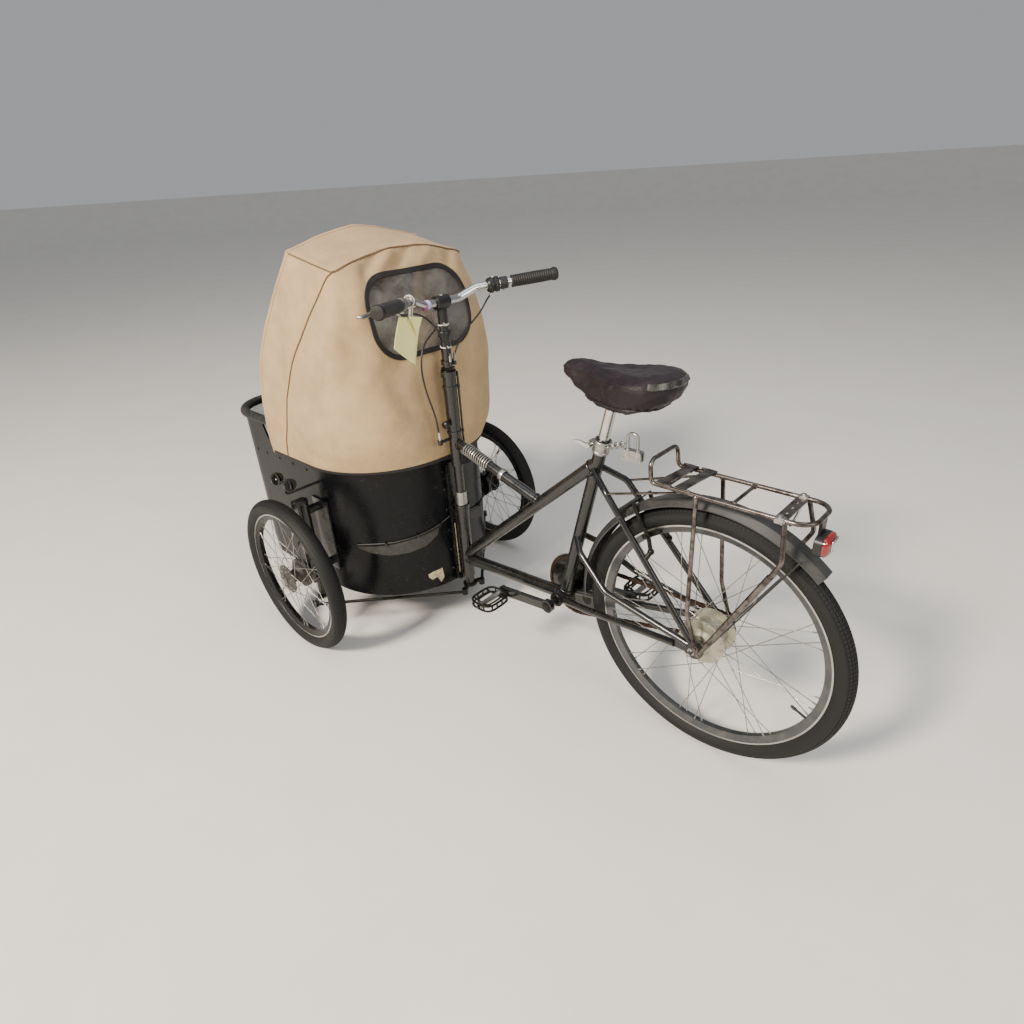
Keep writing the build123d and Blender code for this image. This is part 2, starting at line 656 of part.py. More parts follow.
bearing_bore = COLUMN_R + RUNNING_CLEARANCE
head_tubes = []
for low_z, high_z in (LOWER_HEAD_Z, UPPER_HEAD_Z):
    tube = pipe((COLUMN_X, 0, low_z), (COLUMN_X, 0, high_z), HEAD_TUBE_R, bearing_bore)
    collar_low = high_z - HEAD_COLLAR_HEIGHT
    collar = pipe((COLUMN_X, 0, collar_low), (COLUMN_X, 0, high_z), HEAD_COLLAR_R, bearing_bore)
    head_tubes.append(tube + collar)
stop_low, stop_high = CABLE_STOP_Z
stop_z = (stop_low + stop_high) / 2
cable_stop = rod((COLUMN_X, HEAD_TUBE_R - 2, stop_z), (COLUMN_X, CABLE_STOP_Y, stop_z), ADJUSTER_R)
cable_stop += rod((COLUMN_X, CABLE_STOP_Y, stop_low), (COLUMN_X, CABLE_STOP_Y, stop_high), 7.0)
housing_at = HEAD_COLLAR_R + CABLE_R + SEAT_GAP
housing_low = UPPER_HEAD_Z[0] + HOUSING_ENDS_IN[0]
housing_high = UPPER_HEAD_Z[1] - HOUSING_ENDS_IN[1]
housing_clips = (UPPER_HEAD_Z[0] + HOUSING_CLIPS_IN[0], UPPER_HEAD_Z[1] - HOUSING_CLIPS_IN[1])
for turn_deg in (229.0, 247.0):
    spot_x = COLUMN_X + housing_at * math.cos(math.radians(turn_deg))
    spot_y = housing_at * math.sin(math.radians(turn_deg))
    cable_stop += rod((spot_x, spot_y, housing_low), (spot_x, spot_y, housing_high), CABLE_R)
    for clip_z in housing_clips:
        clip_z_high = clip_z + HOUSING_CLIP_HEIGHT
        cable_stop += rod((spot_x, spot_y, clip_z), (spot_x, spot_y, clip_z_high), 1.6 * CABLE_R)
        cable_stop += rod((COLUMN_X, 0, clip_z), (COLUMN_X, 0, clip_z_high), HEAD_COLLAR_R)
head_tubes[1] = (head_tubes[1] + cable_stop) - rod(*head_axis, bearing_bore)
keep("head_tubes", *head_tubes)
keep("top_tube", coped(rod(*top_tube_line, FRAME_TUBE_R), head_host, seat_host))
strut = coped(rod(*strut_line, FRAME_TUBE_R - 2), head_host, (*top_tube_line, FRAME_TUBE_R))
down_tube_line = ((COLUMN_X, 0, DOWN_TUBE_FRONT_Z), (BB_X, 0, BB_Z))
down_tube = rod(*down_tube_line, DOWN_TUBE_R)
keep("down_tube", coped(down_tube, head_host, bracket_host, seat_host, (*top_tube_line, FRAME_TUBE_R)))
shell = pipe((BB_X, -BRACKET_SHELL_WIDTH / 2, BB_Z), (BB_X, BRACKET_SHELL_WIDTH / 2, BB_Z), BRACKET_SHELL_R,
             AXLE_R + RUNNING_CLEARANCE)
seat_tube = pipe(on_seat_tube(0), on_seat_tube(SEAT_TUBE_LENGTH), SEAT_TUBE_R, POST_R + SEAT_GAP)
seat_tube -= rod((BB_X, -BRACKET_SHELL_WIDTH, BB_Z), (BB_X, BRACKET_SHELL_WIDTH, BB_Z), BRACKET_SHELL_R - 1)
keep("seat_tube", seat_tube + shell)

gusset_plan = Polyline(
    (COLUMN_X - HEAD_TUBE_R - SEAT_GAP, UPPER_HEAD_Z[0] + 4),
    (COLUMN_X - HEAD_TUBE_R - SEAT_GAP, STRUT_FRONT_Z - FRAME_TUBE_R - 2),
    (COLUMN_X - 80, STRUT_FRONT_Z - FRAME_TUBE_R - 22),
    close=True,
)
gusset = Pos(0, 2.5, 0) * extrude(Plane.XZ * make_face(gusset_plan), 5)
keep("strut_tube", strut, coped(gusset, (*strut_line, FRAME_TUBE_R - 2)))

AXLE_Z = REAR_WHEEL_R
dropout_in = DROPOUT_Y - DROPOUT_THICK / 2
dropout_out = DROPOUT_Y + DROPOUT_THICK / 2
dropout_plate = Plane.XZ * (Pos(0, AXLE_Z) * Circle(24.0) + Pos(22, AXLE_Z - 2) * Rectangle(50, 22))
dropout = Pos(0, dropout_out, 0) * extrude(dropout_plate, DROPOUT_THICK)
dropout -= disc((0, AXLE_Z), REAR_AXLE_R + SEAT_GAP, 0, 100)
SEAT_STAY_END = (6.0, AXLE_Z + 14)
# Stays: node, start distance up the seat tube, start half spread, knees (x, y, z), end (x, z)
stay_rows = [
    ("mid_stays", MID_STAY_AT, MID_STAY_SPREAD, MID_STAY_KNEES, (14.0, AXLE_Z + 8)),
    ("seat_stays", SEAT_STAY_AT, SEAT_STAY_SPREAD, (SEAT_STAY_KNEE,), SEAT_STAY_END),
]
chainstay = bent_rod(
    [(BB_X - 6, 26.0, BB_Z), (330.0, 35.5, BB_Z + 10), (48.0, DROPOUT_Y, AXLE_Z - 6)], 200.0, CHAINSTAY_R)
chainstay = coped(chainstay, bracket_host) - dropout
keep("chainstays", chainstay + dropout, mirror_y(chainstay + dropout))
welded = dropout + chainstay
for node, start_at, spread, knees, (end_x, end_z) in stay_rows:
    sx, _, sz = on_seat_tube(start_at)
    stay = bent_rod([(sx, spread, sz), *knees, (end_x, DROPOUT_Y, end_z)], 40.0, STAY_R)
    stay = coped(stay, seat_host) - welded
    welded = welded + stay
    keep(node, stay, mirror_y(stay))
axle_half = dropout_out + AXLE_NUT_HEIGHT + AXLE_END_LENGTH
rear_axle = rod((0, -axle_half, AXLE_Z), (0, axle_half, AXLE_Z), REAR_AXLE_R)
for side in (1, -1):
    nut_from = side * (dropout_out + SEAT_GAP)
    rear_axle += rod((0, nut_from, AXLE_Z), (0, side * (dropout_out + AXLE_NUT_HEIGHT), AXLE_Z), AXLE_NUT_R)
keep("rear_axle", rear_axle)

# Seat post, its clamp, and the padlock that hangs from it on a short chain
post_low = on_seat_tube(SEAT_TUBE_LENGTH - POST_IN)
keep("seat_post", rod(post_low, on_seat_tube(POST_TOP_AT), POST_R))
clamp_foot = on_seat_tube(SEAT_TUBE_LENGTH + SEAT_GAP)
clamp_head = on_seat_tube(SEAT_TUBE_LENGTH + CLAMP_HEIGHT)
seat_clamp = pipe(clamp_foot, clamp_head, SEAT_TUBE_R + CLAMP_WALL, POST_R + SEAT_GAP)
ear_at = Vector(*on_seat_tube(SEAT_TUBE_LENGTH + CLAMP_HEIGHT / 2))
ear = Pos(ear_at.X + SEAT_TUBE_R + CLAMP_WALL + 4, 0, ear_at.Z) * Box(14, 16, CLAMP_HEIGHT - 12)
ear -= Pos(ear_at.X + SEAT_TUBE_R + CLAMP_WALL + 4, 0, ear_at.Z) * Box(30, 3, CLAMP_HEIGHT)
ear += rod((ear_at.X + 25, -14, ear_at.Z), (ear_at.X + 25, 16, ear_at.Z), 4.0)
ear -= rod(clamp_foot, clamp_head, SEAT_TUBE_R)
seat_clamp += ear

lock_x, lock_y, lock_z = LOCK_CENTRE
lock_top = lock_z + LOCK_SIZE[2] / 2
lock = Pos(*LOCK_CENTRE) * fillet(Box(*LOCK_SIZE).edges().filter_by(Axis.Y), 6)
leg_rear, leg_front = lock_x - SHACKLE_SPAN / 2, lock_x + SHACKLE_SPAN / 2
shackle_top = lock_top + SHACKLE_RISE
lock += bent_rod(
    [(leg_rear, lock_y, lock_top - 4), (leg_rear, lock_y, shackle_top), (leg_front, lock_y, shackle_top),
     (leg_front, lock_y, lock_top - 4)], SHACKLE_SPAN / 2 - 1, SHACKLE_R)
hung_from = Vector(leg_front, lock_y, lock_top + 13)
chain_run = (ear_at + Vector(-18, 13, 4) - hung_from).normalized()
link_step = 2 * (LINK_R - LINK_WIRE_R) - 0.3
link_side = chain_run.cross(Vector(0, 0, 1)).normalized()
link_up = chain_run.cross(link_side)
first_link = SHACKLE_R + LINK_R + LINK_WIRE_R + 0.3
links = []
for index in range(LINK_COUNT):
    centre = hung_from + chain_run * (first_link + index * link_step)
    across = link_side if index % 2 else link_up
    links.append(Plane(origin=centre, z_dir=across) * Torus(LINK_R, LINK_WIRE_R))
lug_end = hung_from + chain_run * (2 * first_link - SHACKLE_R + (LINK_COUNT - 1) * link_step)
seat_clamp += rod(lug_end, ear_at, 3.0) - rod(clamp_foot, clamp_head, SEAT_TUBE_R)
keep("seat_clamp", seat_clamp, lock, *links)

# Saddle, as its loose cover shapes it
SADDLE_REAR_X = on_seat_tube(POST_TOP_AT)[0] - SADDLE_BEHIND_POST
SADDLE_BASE_Z = on_seat_tube(POST_TOP_AT)[2] - SADDLE_SEATED


def saddle_section(height, share, rear_in, nose_in):
    """Level outline of the covered saddle: a round tail, two flanks and a round nose."""
    rear = SADDLE_REAR_X + rear_in
    nose = SADDLE_REAR_X + SADDLE_LENGTH - nose_in
    span = nose - rear
    half = share * SADDLE_WIDTH / 2
    nose_half = share * SADDLE_NOSE_WIDTH / 2
    hip_x = rear + 0.2 * span
    flank_x = rear + 0.37 * span
    waist = (rear + 0.53 * span, 0.56 * half)
    edges = [
        ThreePointArc(waist, (flank_x, 0.84 * half), (hip_x, half)),
        ThreePointArc((hip_x, half), (rear, 0), (hip_x, -half)),
        ThreePointArc((hip_x, -half), (flank_x, -0.84 * half), (waist[0], -waist[1])),
        Line((waist[0], -waist[1]), (nose - nose_half, -nose_half)),
        ThreePointArc((nose - nose_half, -nose_half), (nose, 0), (nose - nose_half, nose_half)),
        Line((nose - nose_half, nose_half), waist),
    ]
    return Pos(0, 0, height) * make_face(Curve() + edges)


# columns: share of the height, share of the width, rear and nose drawn in
saddle_rows = [
    (0.0, 0.42, 108.0, 91.0),
    (0.175, 0.62, 54.0, 68.0),
    (0.36, 0.86, 18.0, 44.0),
    (0.57, 0.98, 2.0, 12.0),
    (0.74, 1.0, 0.0, 2.0),
    (0.91, 0.93, 6.0, 8.0),
    (1.0, 0.7, 28.0, 28.0),
]
saddle_levels = [saddle_section(SADDLE_BASE_Z + rise * SADDLE_HEIGHT, *rest) for rise, *rest in saddle_rows]
saddle = loft(saddle_levels, ruled=True)
keep("saddle", saddle - rod(post_low, on_seat_tube(POST_TOP_AT + SEAT_GAP), POST_R + SEAT_GAP))

# Cranks, chainring and pedals
crank_axle = rod((BB_X, -CRANK_Y, BB_Z), (BB_X, CRANK_Y, BB_Z), AXLE_R)
ring_in = CHAINRING_Y + CHAINRING_THICK / 2
ring_out = CHAINRING_Y - CHAINRING_THICK / 2
guard_in = GUARD_DISC_Y + GUARD_DISC_THICK / 2
guard_out = GUARD_DISC_Y - GUARD_DISC_THICK / 2
ring = disc((BB_X, BB_Z), CHAINRING_R - CHAIN_HEIGHT / 2 - SEAT_GAP, ring_out, ring_in)
ring += disc((BB_X, BB_Z), GUARD_DISC_R, guard_out, guard_in)
for index in range(CHAINRING_WINDOWS):
    window_x, _, window_z = from_crank(0.56 * CHAINRING_R, index * 360 / CHAINRING_WINDOWS, 0)
    bolt_x, _, bolt_z = from_crank(0.62 * CHAINRING_R, (index + 0.5) * 360 / CHAINRING_WINDOWS, 0)
    ring -= disc((window_x, window_z), 0.18 * CHAINRING_R, ring_out - 1, ring_in + 1)
    ring += disc((bolt_x, bolt_z), 4.0, guard_in - 1, ring_out + 1)
cranks = crank_axle + ring
for side, angle in ((1, CRANK_ANGLE_DEG), (-1, CRANK_ANGLE_DEG + 180)):
    outer_y = side * (CRANK_Y + CRANK_THICK / 2)
    inner_y = side * (CRANK_Y - CRANK_THICK / 2)
    web = Plane.XZ * (Pos(BB_X, BB_Z) * (Circle(19) + Rot(0, 0, angle) * (
        Rectangle(CRANK_LENGTH, 24, align=(Align.MIN, Align.CENTER)) + Pos(CRANK_LENGTH, 0) * Circle(14))))
    arm = Pos(0, max(outer_y, inner_y), 0) * extrude(web, CRANK_THICK)
    tip = from_crank(CRANK_LENGTH, angle, outer_y)
    spindle_end = from_crank(CRANK_LENGTH, angle, side * (CRANK_Y + CRANK_THICK / 2 + PEDAL_LENGTH + 8))
    cranks += arm + rod(from_crank(CRANK_LENGTH, angle, inner_y), spindle_end, PEDAL_SPINDLE_R)
    mid_y = side * (CRANK_Y + CRANK_THICK / 2 + 6 + PEDAL_LENGTH / 2)
    px, _, pz = tip
    body = Pos(px, mid_y, pz) * Box(PEDAL_WIDTH, PEDAL_LENGTH, PEDAL_HEIGHT)
    window = Pos(px, mid_y, pz) * Box(PEDAL_WIDTH - 14, PEDAL_LENGTH - 16, PEDAL_HEIGHT + 2)
    barrel = rod((px, mid_y - PEDAL_LENGTH / 2 + 2, pz), (px, mid_y + PEDAL_LENGTH / 2 - 2, pz), 11.0)
    pedal = body - window + barrel
    pedal_bore = PEDAL_SPINDLE_R + RUNNING_CLEARANCE
    pedal -= rod((px, mid_y - PEDAL_LENGTH, pz), (px, mid_y + PEDAL_LENGTH, pz), pedal_bore)
    keep("pedal_left" if side == 1 else "pedal_right", pedal)
keep("cranks", cranks)

# Chain: one loop round ring and sprocket
ring_centre = Vector(BB_X, BB_Z)
sprocket_centre = Vector(0, REAR_WHEEL_R)


def chain_outline(offset):
    """Belt outline round the two toothed wheels, grown or shrunk by an offset."""
    big = CHAINRING_R + offset
    small = SPROCKET_R + offset
    span = ring_centre - sprocket_centre
    heading = math.atan2(span.Y, span.X)
    spread = math.acos((small - big) / span.length)
    corners = []
    for sign in (1, -1):
        angle = heading + sign * spread
        normal = Vector(math.cos(angle), math.sin(angle))
        corners.append((ring_centre + normal * big, sprocket_centre + normal * small))
    front = ring_centre + Vector(math.cos(heading), math.sin(heading)) * big
    back = sprocket_centre - Vector(math.cos(heading), math.sin(heading)) * small
    (top_ring, top_small), (low_ring, low_small) = corners
    edges = [
        Line(top_small, top_ring),
        ThreePointArc(top_ring, front, low_ring),
        Line(low_ring, low_small),
        ThreePointArc(low_small, back, top_small),
    ]
    return make_face(Curve() + edges)


chain_face = Plane.XZ * (chain_outline(CHAIN_HEIGHT / 2) - chain_outline(-CHAIN_HEIGHT / 2))
keep("chain", Pos(0, CHAINRING_Y + CHAIN_WIDTH / 2, 0) * extrude(chain_face, CHAIN_WIDTH))

# Cabin shell: a plan outline pulled up, cut to a side outline with a rounded bow
ARC_X = CABIN_REAR_X + CABIN_HALF_WIDTH


def cabin_plan(inset):
    """Plan outline, moved inwards by an inset."""
    half = CABIN_HALF_WIDTH - inset
    corner = CABIN_CORNER_R - inset
    front = CABIN_FRONT_X - inset
    bevel = corner * (1 - math.sqrt(0.5))
    edges = [
        Line((ARC_X, half), (front - corner, half)),
        ThreePointArc((front - corner, half), (front - bevel, half - bevel), (front, half - corner)),
        Line((front, half - corner), (front, corner - half)),
        ThreePointArc((front, corner - half), (front - bevel, bevel - half), (front - corner, -half)),
        Line((front - corner, -half), (ARC_X, -half)),
        ThreePointArc((ARC_X, -half), (ARC_X - half, 0), (ARC_X, half)),
    ]
    return make_face(Curve() + edges)


def cabin_body(inset, top_z, low_z):
    """Solid inside the cabin's outline, with the bow rounded."""
    front = CABIN_FRONT_X - inset
    bow = CABIN_BOW_R - inset
    bevel = bow * (1 - math.sqrt(0.5))
    rear = CABIN_REAR_X - 50
    side = [
        Line((rear, low_z), (front - bow, low_z)),
        ThreePointArc((front - bow, low_z), (front - bevel, low_z + bevel), (front, low_z + bow)),
        Line((front, low_z + bow), (front, top_z)),
        Line((front, top_z), (rear, top_z)),
        Line((rear, top_z), (rear, low_z)),
    ]
    width = 2 * CABIN_HALF_WIDTH + 20
    side_solid = Pos(0, width / 2, 0) * extrude(Plane.XZ * make_face(Curve() + side), width)
    return side_solid & (Pos(0, 0, low_z) * extrude(cabin_plan(inset), top_z - low_z))


HOOP_PANEL_Z = PANEL_TOP_Z + HOOP_LIFT
shell_high = HOOP_PANEL_Z
FLOOR_TOP_Z = CABIN_BOTTOM_Z + FLOOR_THICK
cabin_shell = cabin_body(0, shell_high, CABIN_BOTTOM_Z) - cabin_body(PANEL_THICK, shell_high + 1, FLOOR_TOP_Z)
far = 2 * CABIN_FRONT_X
wide = CABIN_HALF_WIDTH + 50
dip_low, dip_high = DIP_X
dip_mid = ((dip_low + dip_high) / 2 + 12, PANEL_TOP_Z + 0.3 * HOOP_LIFT)
over_edge = [
    Line((0, PANEL_TOP_Z), (dip_low, PANEL_TOP_Z)),
    ThreePointArc((dip_low, PANEL_TOP_Z), dip_mid, (dip_high, HOOP_PANEL_Z)),
    Line((dip_high, HOOP_PANEL_Z), (dip_high, HOOP_PANEL_Z + 100)),
    Line((dip_high, HOOP_PANEL_Z + 100), (0, HOOP_PANEL_Z + 100)),
    Line((0, HOOP_PANEL_Z + 100), (0, PANEL_TOP_Z)),
]
over_cut = Pos(0, wide, 0) * extrude(Plane.XZ * make_face(Curve() + over_edge), 2 * wide)
cabin_shell -= over_cut
pan_zone = block((0, -wide, 0), (far, wide, PAN_TOP_Z))
pan_zone += block((WINDOW_REAR_X, -wide, 0), (far, wide, WINDOW_BOTTOM_Z))
window_corner = (WINDOW_REAR_X + SEAT_GAP, -wide, WINDOW_BOTTOM_Z + SEAT_GAP)
window_zone = block(window_corner, (far, wide, HOOP_PANEL_Z + 1))
side_zone = block((0, SEAT_GAP / 2, PAN_TOP_Z + SEAT_GAP), (WINDOW_REAR_X - SEAT_GAP, wide, HOOP_PANEL_Z + 1))
keep("cabin_pan", cabin_shell & pan_zone)
keep("cabin_panel_left", cabin_shell & side_zone)
keep("cabin_panel_right", cabin_shell & mirror_y(side_zone))
window_shell = cabin_body(0, shell_high, CABIN_BOTTOM_Z)
window_shell -= cabin_body(WINDOW_THICK, shell_high + 1, FLOOR_TOP_Z)
keep("cabin_window", window_shell & window_zone)

spine_back = CABIN_REAR_X - SEAT_GAP - SPINE_THICK
spine_top = PANEL_TOP_Z - HEM_DROP - 4
spine = block((spine_back, -SPINE_WIDTH / 2, CABIN_BOTTOM_Z), (CABIN_REAR_X + 5, SPINE_WIDTH / 2, spine_top))
spine -= rod((ARC_X, 0, 0), (ARC_X, 0, PANEL_TOP_Z + 50), CABIN_HALF_WIDTH + SEAT_GAP)
upper_web = (LOWER_HEAD_Z[1] - 80, LOWER_HEAD_Z[1] - 25)
lower_web = (LOWER_HEAD_Z[0] + 10, LOWER_HEAD_Z[0] + 70)
for low_z, high_z in (upper_web, lower_web):
    web = block((COLUMN_X, -6, low_z), (spine_back + 1, 6, high_z))
    spine += web - rod(*head_axis, HEAD_TUBE_R + SEAT_GAP)
keep("cabin_spine", spine)

mid_wall = PANEL_THICK / 2
rim_r = CABIN_HALF_WIDTH - mid_wall
rim_z = PANEL_TOP_Z + SEAT_GAP + RIM_TUBE_R
rim_path = ThreePointArc((ARC_X, rim_r, rim_z), (ARC_X - rim_r, 0, rim_z), (ARC_X, -rim_r, rim_z))
rear_rim_tube = sweep(Plane(origin=rim_path @ 0, z_dir=rim_path % 0) * Circle(RIM_TUBE_R), path=rim_path)
hoop_z = HOOP_PANEL_Z + SEAT_GAP + HOOP_TUBE_R
low_hoop_z = PANEL_TOP_Z + SEAT_GAP + HOOP_TUBE_R
hoop_front = CABIN_FRONT_X - mid_wall
half_hoop = [
    (ARC_X + SEAT_GAP, rim_r, low_hoop_z),
    (RAMP_X[0], rim_r, low_hoop_z),
    (RAMP_X[1], rim_r, hoop_z),
    (hoop_front, rim_r, hoop_z),
]
hoop_points = half_hoop + [(x, -y, z) for x, y, z in reversed(half_hoop)]
corner_r = CABIN_CORNER_R - mid_wall
hoop_bends = [60.0, 60.0, corner_r, corner_r, 60.0, 60.0]
hoop = bent_rod(hoop_points, hoop_bends, HOOP_TUBE_R)
keep("cabin_rim", rear_rim_tube, hoop)

# Bench across the cabin
bench_rear = CABIN_REAR_X + BENCH_BEHIND
bench_front = bench_rear + BENCH_DEPTH
bench_foot = FLOOR_TOP_Z + SEAT_GAP
bench_y = BENCH_HALF_WIDTH
bench = block((bench_rear, -bench_y, BENCH_Z), (bench_front, bench_y, BENCH_Z + BENCH_BOARD))
bench += block((bench_front - BENCH_WALL, -bench_y, bench_foot), (bench_front, bench_y, BENCH_Z + 1))
bench += block((bench_rear - BENCH_WALL, -bench_y, bench_foot), (bench_rear, bench_y, BENCH_BACK_Z))
keep("cabin_bench", bench & cabin_body(PANEL_THICK + 1, HOOP_PANEL_Z, bench_foot))

# Carriers from the cabin's sides to the post tubes
kingpin_bore = KINGPIN_R + RUNNING_CLEARANCE
post = pipe((*kingpin, POST_TUBE_Z[0]), (*kingpin, POST_TUBE_Z[1]), POST_TUBE_R, kingpin_bore)
carriers = [
    rod((FRONT_AXLE_X, cabin_side_y, z), (FRONT_AXLE_X, KINGPIN_Y - KINGPIN_R - 2, z), CARRIER_R)
    for z in CARRIER_Z
]
foot_plate = block(
    (FRONT_AXLE_X - POST_PLATE_HALF, cabin_side_y, CARRIER_Z[0] - POST_PLATE_OVER),
    (FRONT_AXLE_X + POST_PLATE_HALF, cabin_side_y + POST_PLATE_THICK, CARRIER_Z[1] + POST_PLATE_OVER),
)
post_group = post + carriers[0] + carriers[1] + foot_plate
keep("wheel_posts", post_group, mirror_y(post_group))

# Hood: level sections from the rim to the ridge, each with a flat back between two round corners
# columns: height, back x, half width, corner radius, front x
hood_rows = [
    (PANEL_TOP_Z - HEM_DROP, 854.0, 302.0, 285.0, 1346.0),
    (650.0, 862.0, 302.0, 200.0, 1352.0),
    (770.0, 876.0, 290.0, 150.0, 1357.0),
    (880.0, 890.0, 280.0, 120.0, 1325.0),
    (1000.0, 915.0, 258.0, 80.0, 1250.0),
    (1122.0, 966.0, 222.0, 30.0, 1172.0),
    (1196.0, 1020.0, 70.0, 25.0, 1168.0),
]


def hood_section(row, inset, extra_front):
    height, back, half, corner, front = row
    back += inset
    half -= inset
    corner -= inset
    front += extra_front
    bevel = corner * (1 - math.sqrt(0.5))
    edges = [
        Line((back + corner, half), (front, half)),
        Line((front, half), (front, -half)),
        Line((front, -half), (back + corner, -half)),
        ThreePointArc((back + corner, -half), (back + bevel, bevel - half), (back, corner - half)),
        Line((back, corner - half), (back, half - corner)),
        ThreePointArc((back, half - corner), (back + bevel, half - bevel), (back + corner, half)),
    ]
    return Pos(0, 0, height) * make_face(Curve() + edges)


def lowered(rows, first, last):
    moved = [list(row) for row in rows]
    moved[0][0] += first
    moved[-1][0] += last
    return moved


hood_outer = loft([hood_section(row, 0, 0) for row in hood_rows], ruled=True)
inner_rows = lowered(hood_rows, -1, -HOOD_THICK)
hood_inner = loft([hood_section(row, HOOD_THICK, 30) for row in inner_rows], ruled=True)
hood = hood_outer - hood_inner


def window_prism(inset):
    """Block through the hood's back with the window's rounded outline, moved inwards by an inset."""
    width = HOOD_WINDOW_WIDTH - 2 * inset
    height = HOOD_WINDOW_HEIGHT - 2 * inset
    outline = Pos(0, HOOD_WINDOW_Z) * RectangleRounded(width, height, HOOD_WINDOW_CORNER_R - inset)
    facing = Plane(origin=(COLUMN_X, 0, 0), x_dir=(0, 1, 0), z_dir=(1, 0, 0))
    return extrude(facing * outline, CABIN_HALF_WIDTH - 60)


keep("hood", hood - window_prism(0))
keep("hood_window", hood & window_prism(SEAT_GAP))

# Two bows stand on the hoop and carry the hood
# Each row: half of a bow's points, from the hoop up to near the middle
bow_rows = [
    [(1240.0, rim_r, low_hoop_z), (1236.0, 276.0, 660.0), (1128.0, 260.0, 880.0), (992.0, 194.0, 1096.0),
     (992.0, 60.0, 1126.0)],
    [(1322.0, rim_r, low_hoop_z), (1326.0, 274.0, 700.0), (1296.0, 262.0, 880.0), (1160.0, 194.0, 1108.0),
     (1160.0, 60.0, 1170.0)],
]
hoop_host = bent_rod(hoop_points, hoop_bends, HOOP_TUBE_R + SEAT_GAP)
bows = []
for half_bow in bow_rows:
    bow_points = half_bow + [(x, -y, z) for x, y, z in reversed(half_bow)]
    bows.append(bent_rod(bow_points, [*HOOD_BOW_BENDS, *reversed(HOOD_BOW_BENDS)], HOOD_BOW_R) - hoop_host)
keep("hood_bows", *[solid for bow in bows for solid in bow.solids() if solid.volume > 5000])

# Mudguard and its stays
gap_in = MUDGUARD_R - MUDGUARD_THICK
half_guard = MUDGUARD_WIDTH / 2
guard_section = [
    (gap_in - 14, -half_guard), (MUDGUARD_R - 13, -half_guard), (MUDGUARD_R, -0.55 * half_guard),
    (MUDGUARD_R, 0.55 * half_guard), (MUDGUARD_R - 13, half_guard), (gap_in - 14, half_guard),
    (gap_in - 13, half_guard - MUDGUARD_THICK), (gap_in, 0.5 * half_guard), (gap_in, -0.5 * half_guard),
    (gap_in - 13, -half_guard + MUDGUARD_THICK),
]
guard_face = make_face(Polyline(*guard_section, close=True))
first_deg, last_deg = MUDGUARD_ANGLES
guard = revolve(Rot(0, -first_deg, 0) * guard_face, axis=Axis.Y, revolution_arc=-(last_deg - first_deg))
guard = Pos(*REAR_CENTRE) * guard

# A bridge between the seat stays holds the guard's crown, and a wire each side holds its tail
stay_top = Vector(on_seat_tube(SEAT_STAY_AT)[0], SEAT_STAY_SPREAD, on_seat_tube(SEAT_STAY_AT)[2])
knee = Vector(*SEAT_STAY_KNEE)
stay_foot = Vector(SEAT_STAY_END[0], DROPOUT_Y, SEAT_STAY_END[1])
stay_points = (stay_top, knee, stay_foot)


def on_stay(share):
    """Point on the seat stay's line, from its top at 0 past the knee at 1 to its foot at 2."""
    run = min(int(share), 1)
    return stay_points[run] + (stay_points[run + 1] - stay_points[run]) * (share - run)


bridge_reach = MUDGUARD_R + SEAT_GAP + BRIDGE_R
near, away = 0.0, 1.5
for _ in range(40):
    middle = (near + away) / 2
    spot = on_stay(middle)
    far_out = math.hypot(spot.X, spot.Z - AXLE_Z) > bridge_reach
    near, away = (middle, away) if far_out else (near, middle)
bridge_at = on_stay(near)
bridge = rod((bridge_at.X, -bridge_at.Y, bridge_at.Z), (bridge_at.X, bridge_at.Y, bridge_at.Z), BRIDGE_R)


def off_the_stays(shape, gap):
    """A piece cut to sit against both seat stays."""
    for side in (1, -1):
        mirrored = [(spot.X, side * spot.Y, spot.Z) for spot in stay_points]
        for start, end in zip(mirrored, mirrored[1:]):
            shape = shape - rod(start, end, STAY_R + gap)
    return shape


bridge = off_the_stays(bridge, SEAT_GAP)
wire_angle = math.radians(MUDGUARD_ANGLES[1] - 9)
wire_r = MUDGUARD_R - 8
wire_y = half_guard + SEAT_GAP + GUARD_WIRE_R
wire_foot = (-14.0, DROPOUT_Y - DROPOUT_THICK / 2 - SEAT_GAP - GUARD_WIRE_R, AXLE_Z - 12)
wire_top = (wire_r * math.cos(wire_angle), wire_y, AXLE_Z + wire_r * math.sin(wire_angle))
guard_wire = rod(wire_foot, wire_top, GUARD_WIRE_R)
keep("mudguard", guard, bridge, guard_wire, mirror_y(guard_wire))

# Rim brake: an arm up each seat stay, its block beside the rim, and the cable across over the guard
pad_angle = math.radians(BRAKE_ANGLE_DEG)
pad_reach = REAR_WHEEL_R - TYRE_HEIGHT - RIM_DEPTH / 2
pad_x = pad_reach * math.cos(pad_angle)
pad_z = AXLE_Z + pad_reach * math.sin(pad_angle)
pad_face_y = RIM_WIDTH / 2 + BRAKE_PAD_GAP
arm_y = MUDGUARD_WIDTH / 2 + BRAKE_ARM_R + SIDE_CLEARANCE
pivot_x, pivot_z = pad_x - 12, pad_z - 34
boss_share = 1 + (SEAT_STAY_KNEE[0] - pivot_x - 8) / (SEAT_STAY_KNEE[0] - SEAT_STAY_END[0])
boss_at = on_stay(boss_share)
arm_top = (pad_x + 44, arm_y, pad_z + 76)
brake_arm = bent_rod(
    [(pivot_x, arm_y + 6, pivot_z), (pad_x, arm_y, pad_z), (pad_x + 22, arm_y, pad_z + 30), arm_top],
    18.0, BRAKE_ARM_R)
brake_arm += Pos(pivot_x, arm_y + 6, pivot_z) * Sphere(8.0)
brake_arm += rod((pivot_x, arm_y + 6, pivot_z), (*boss_at,), 6.0)
brake_arm += rod((pad_x, pad_face_y + 4, pad_z), (pad_x, arm_y + 9, pad_z), 3.5)
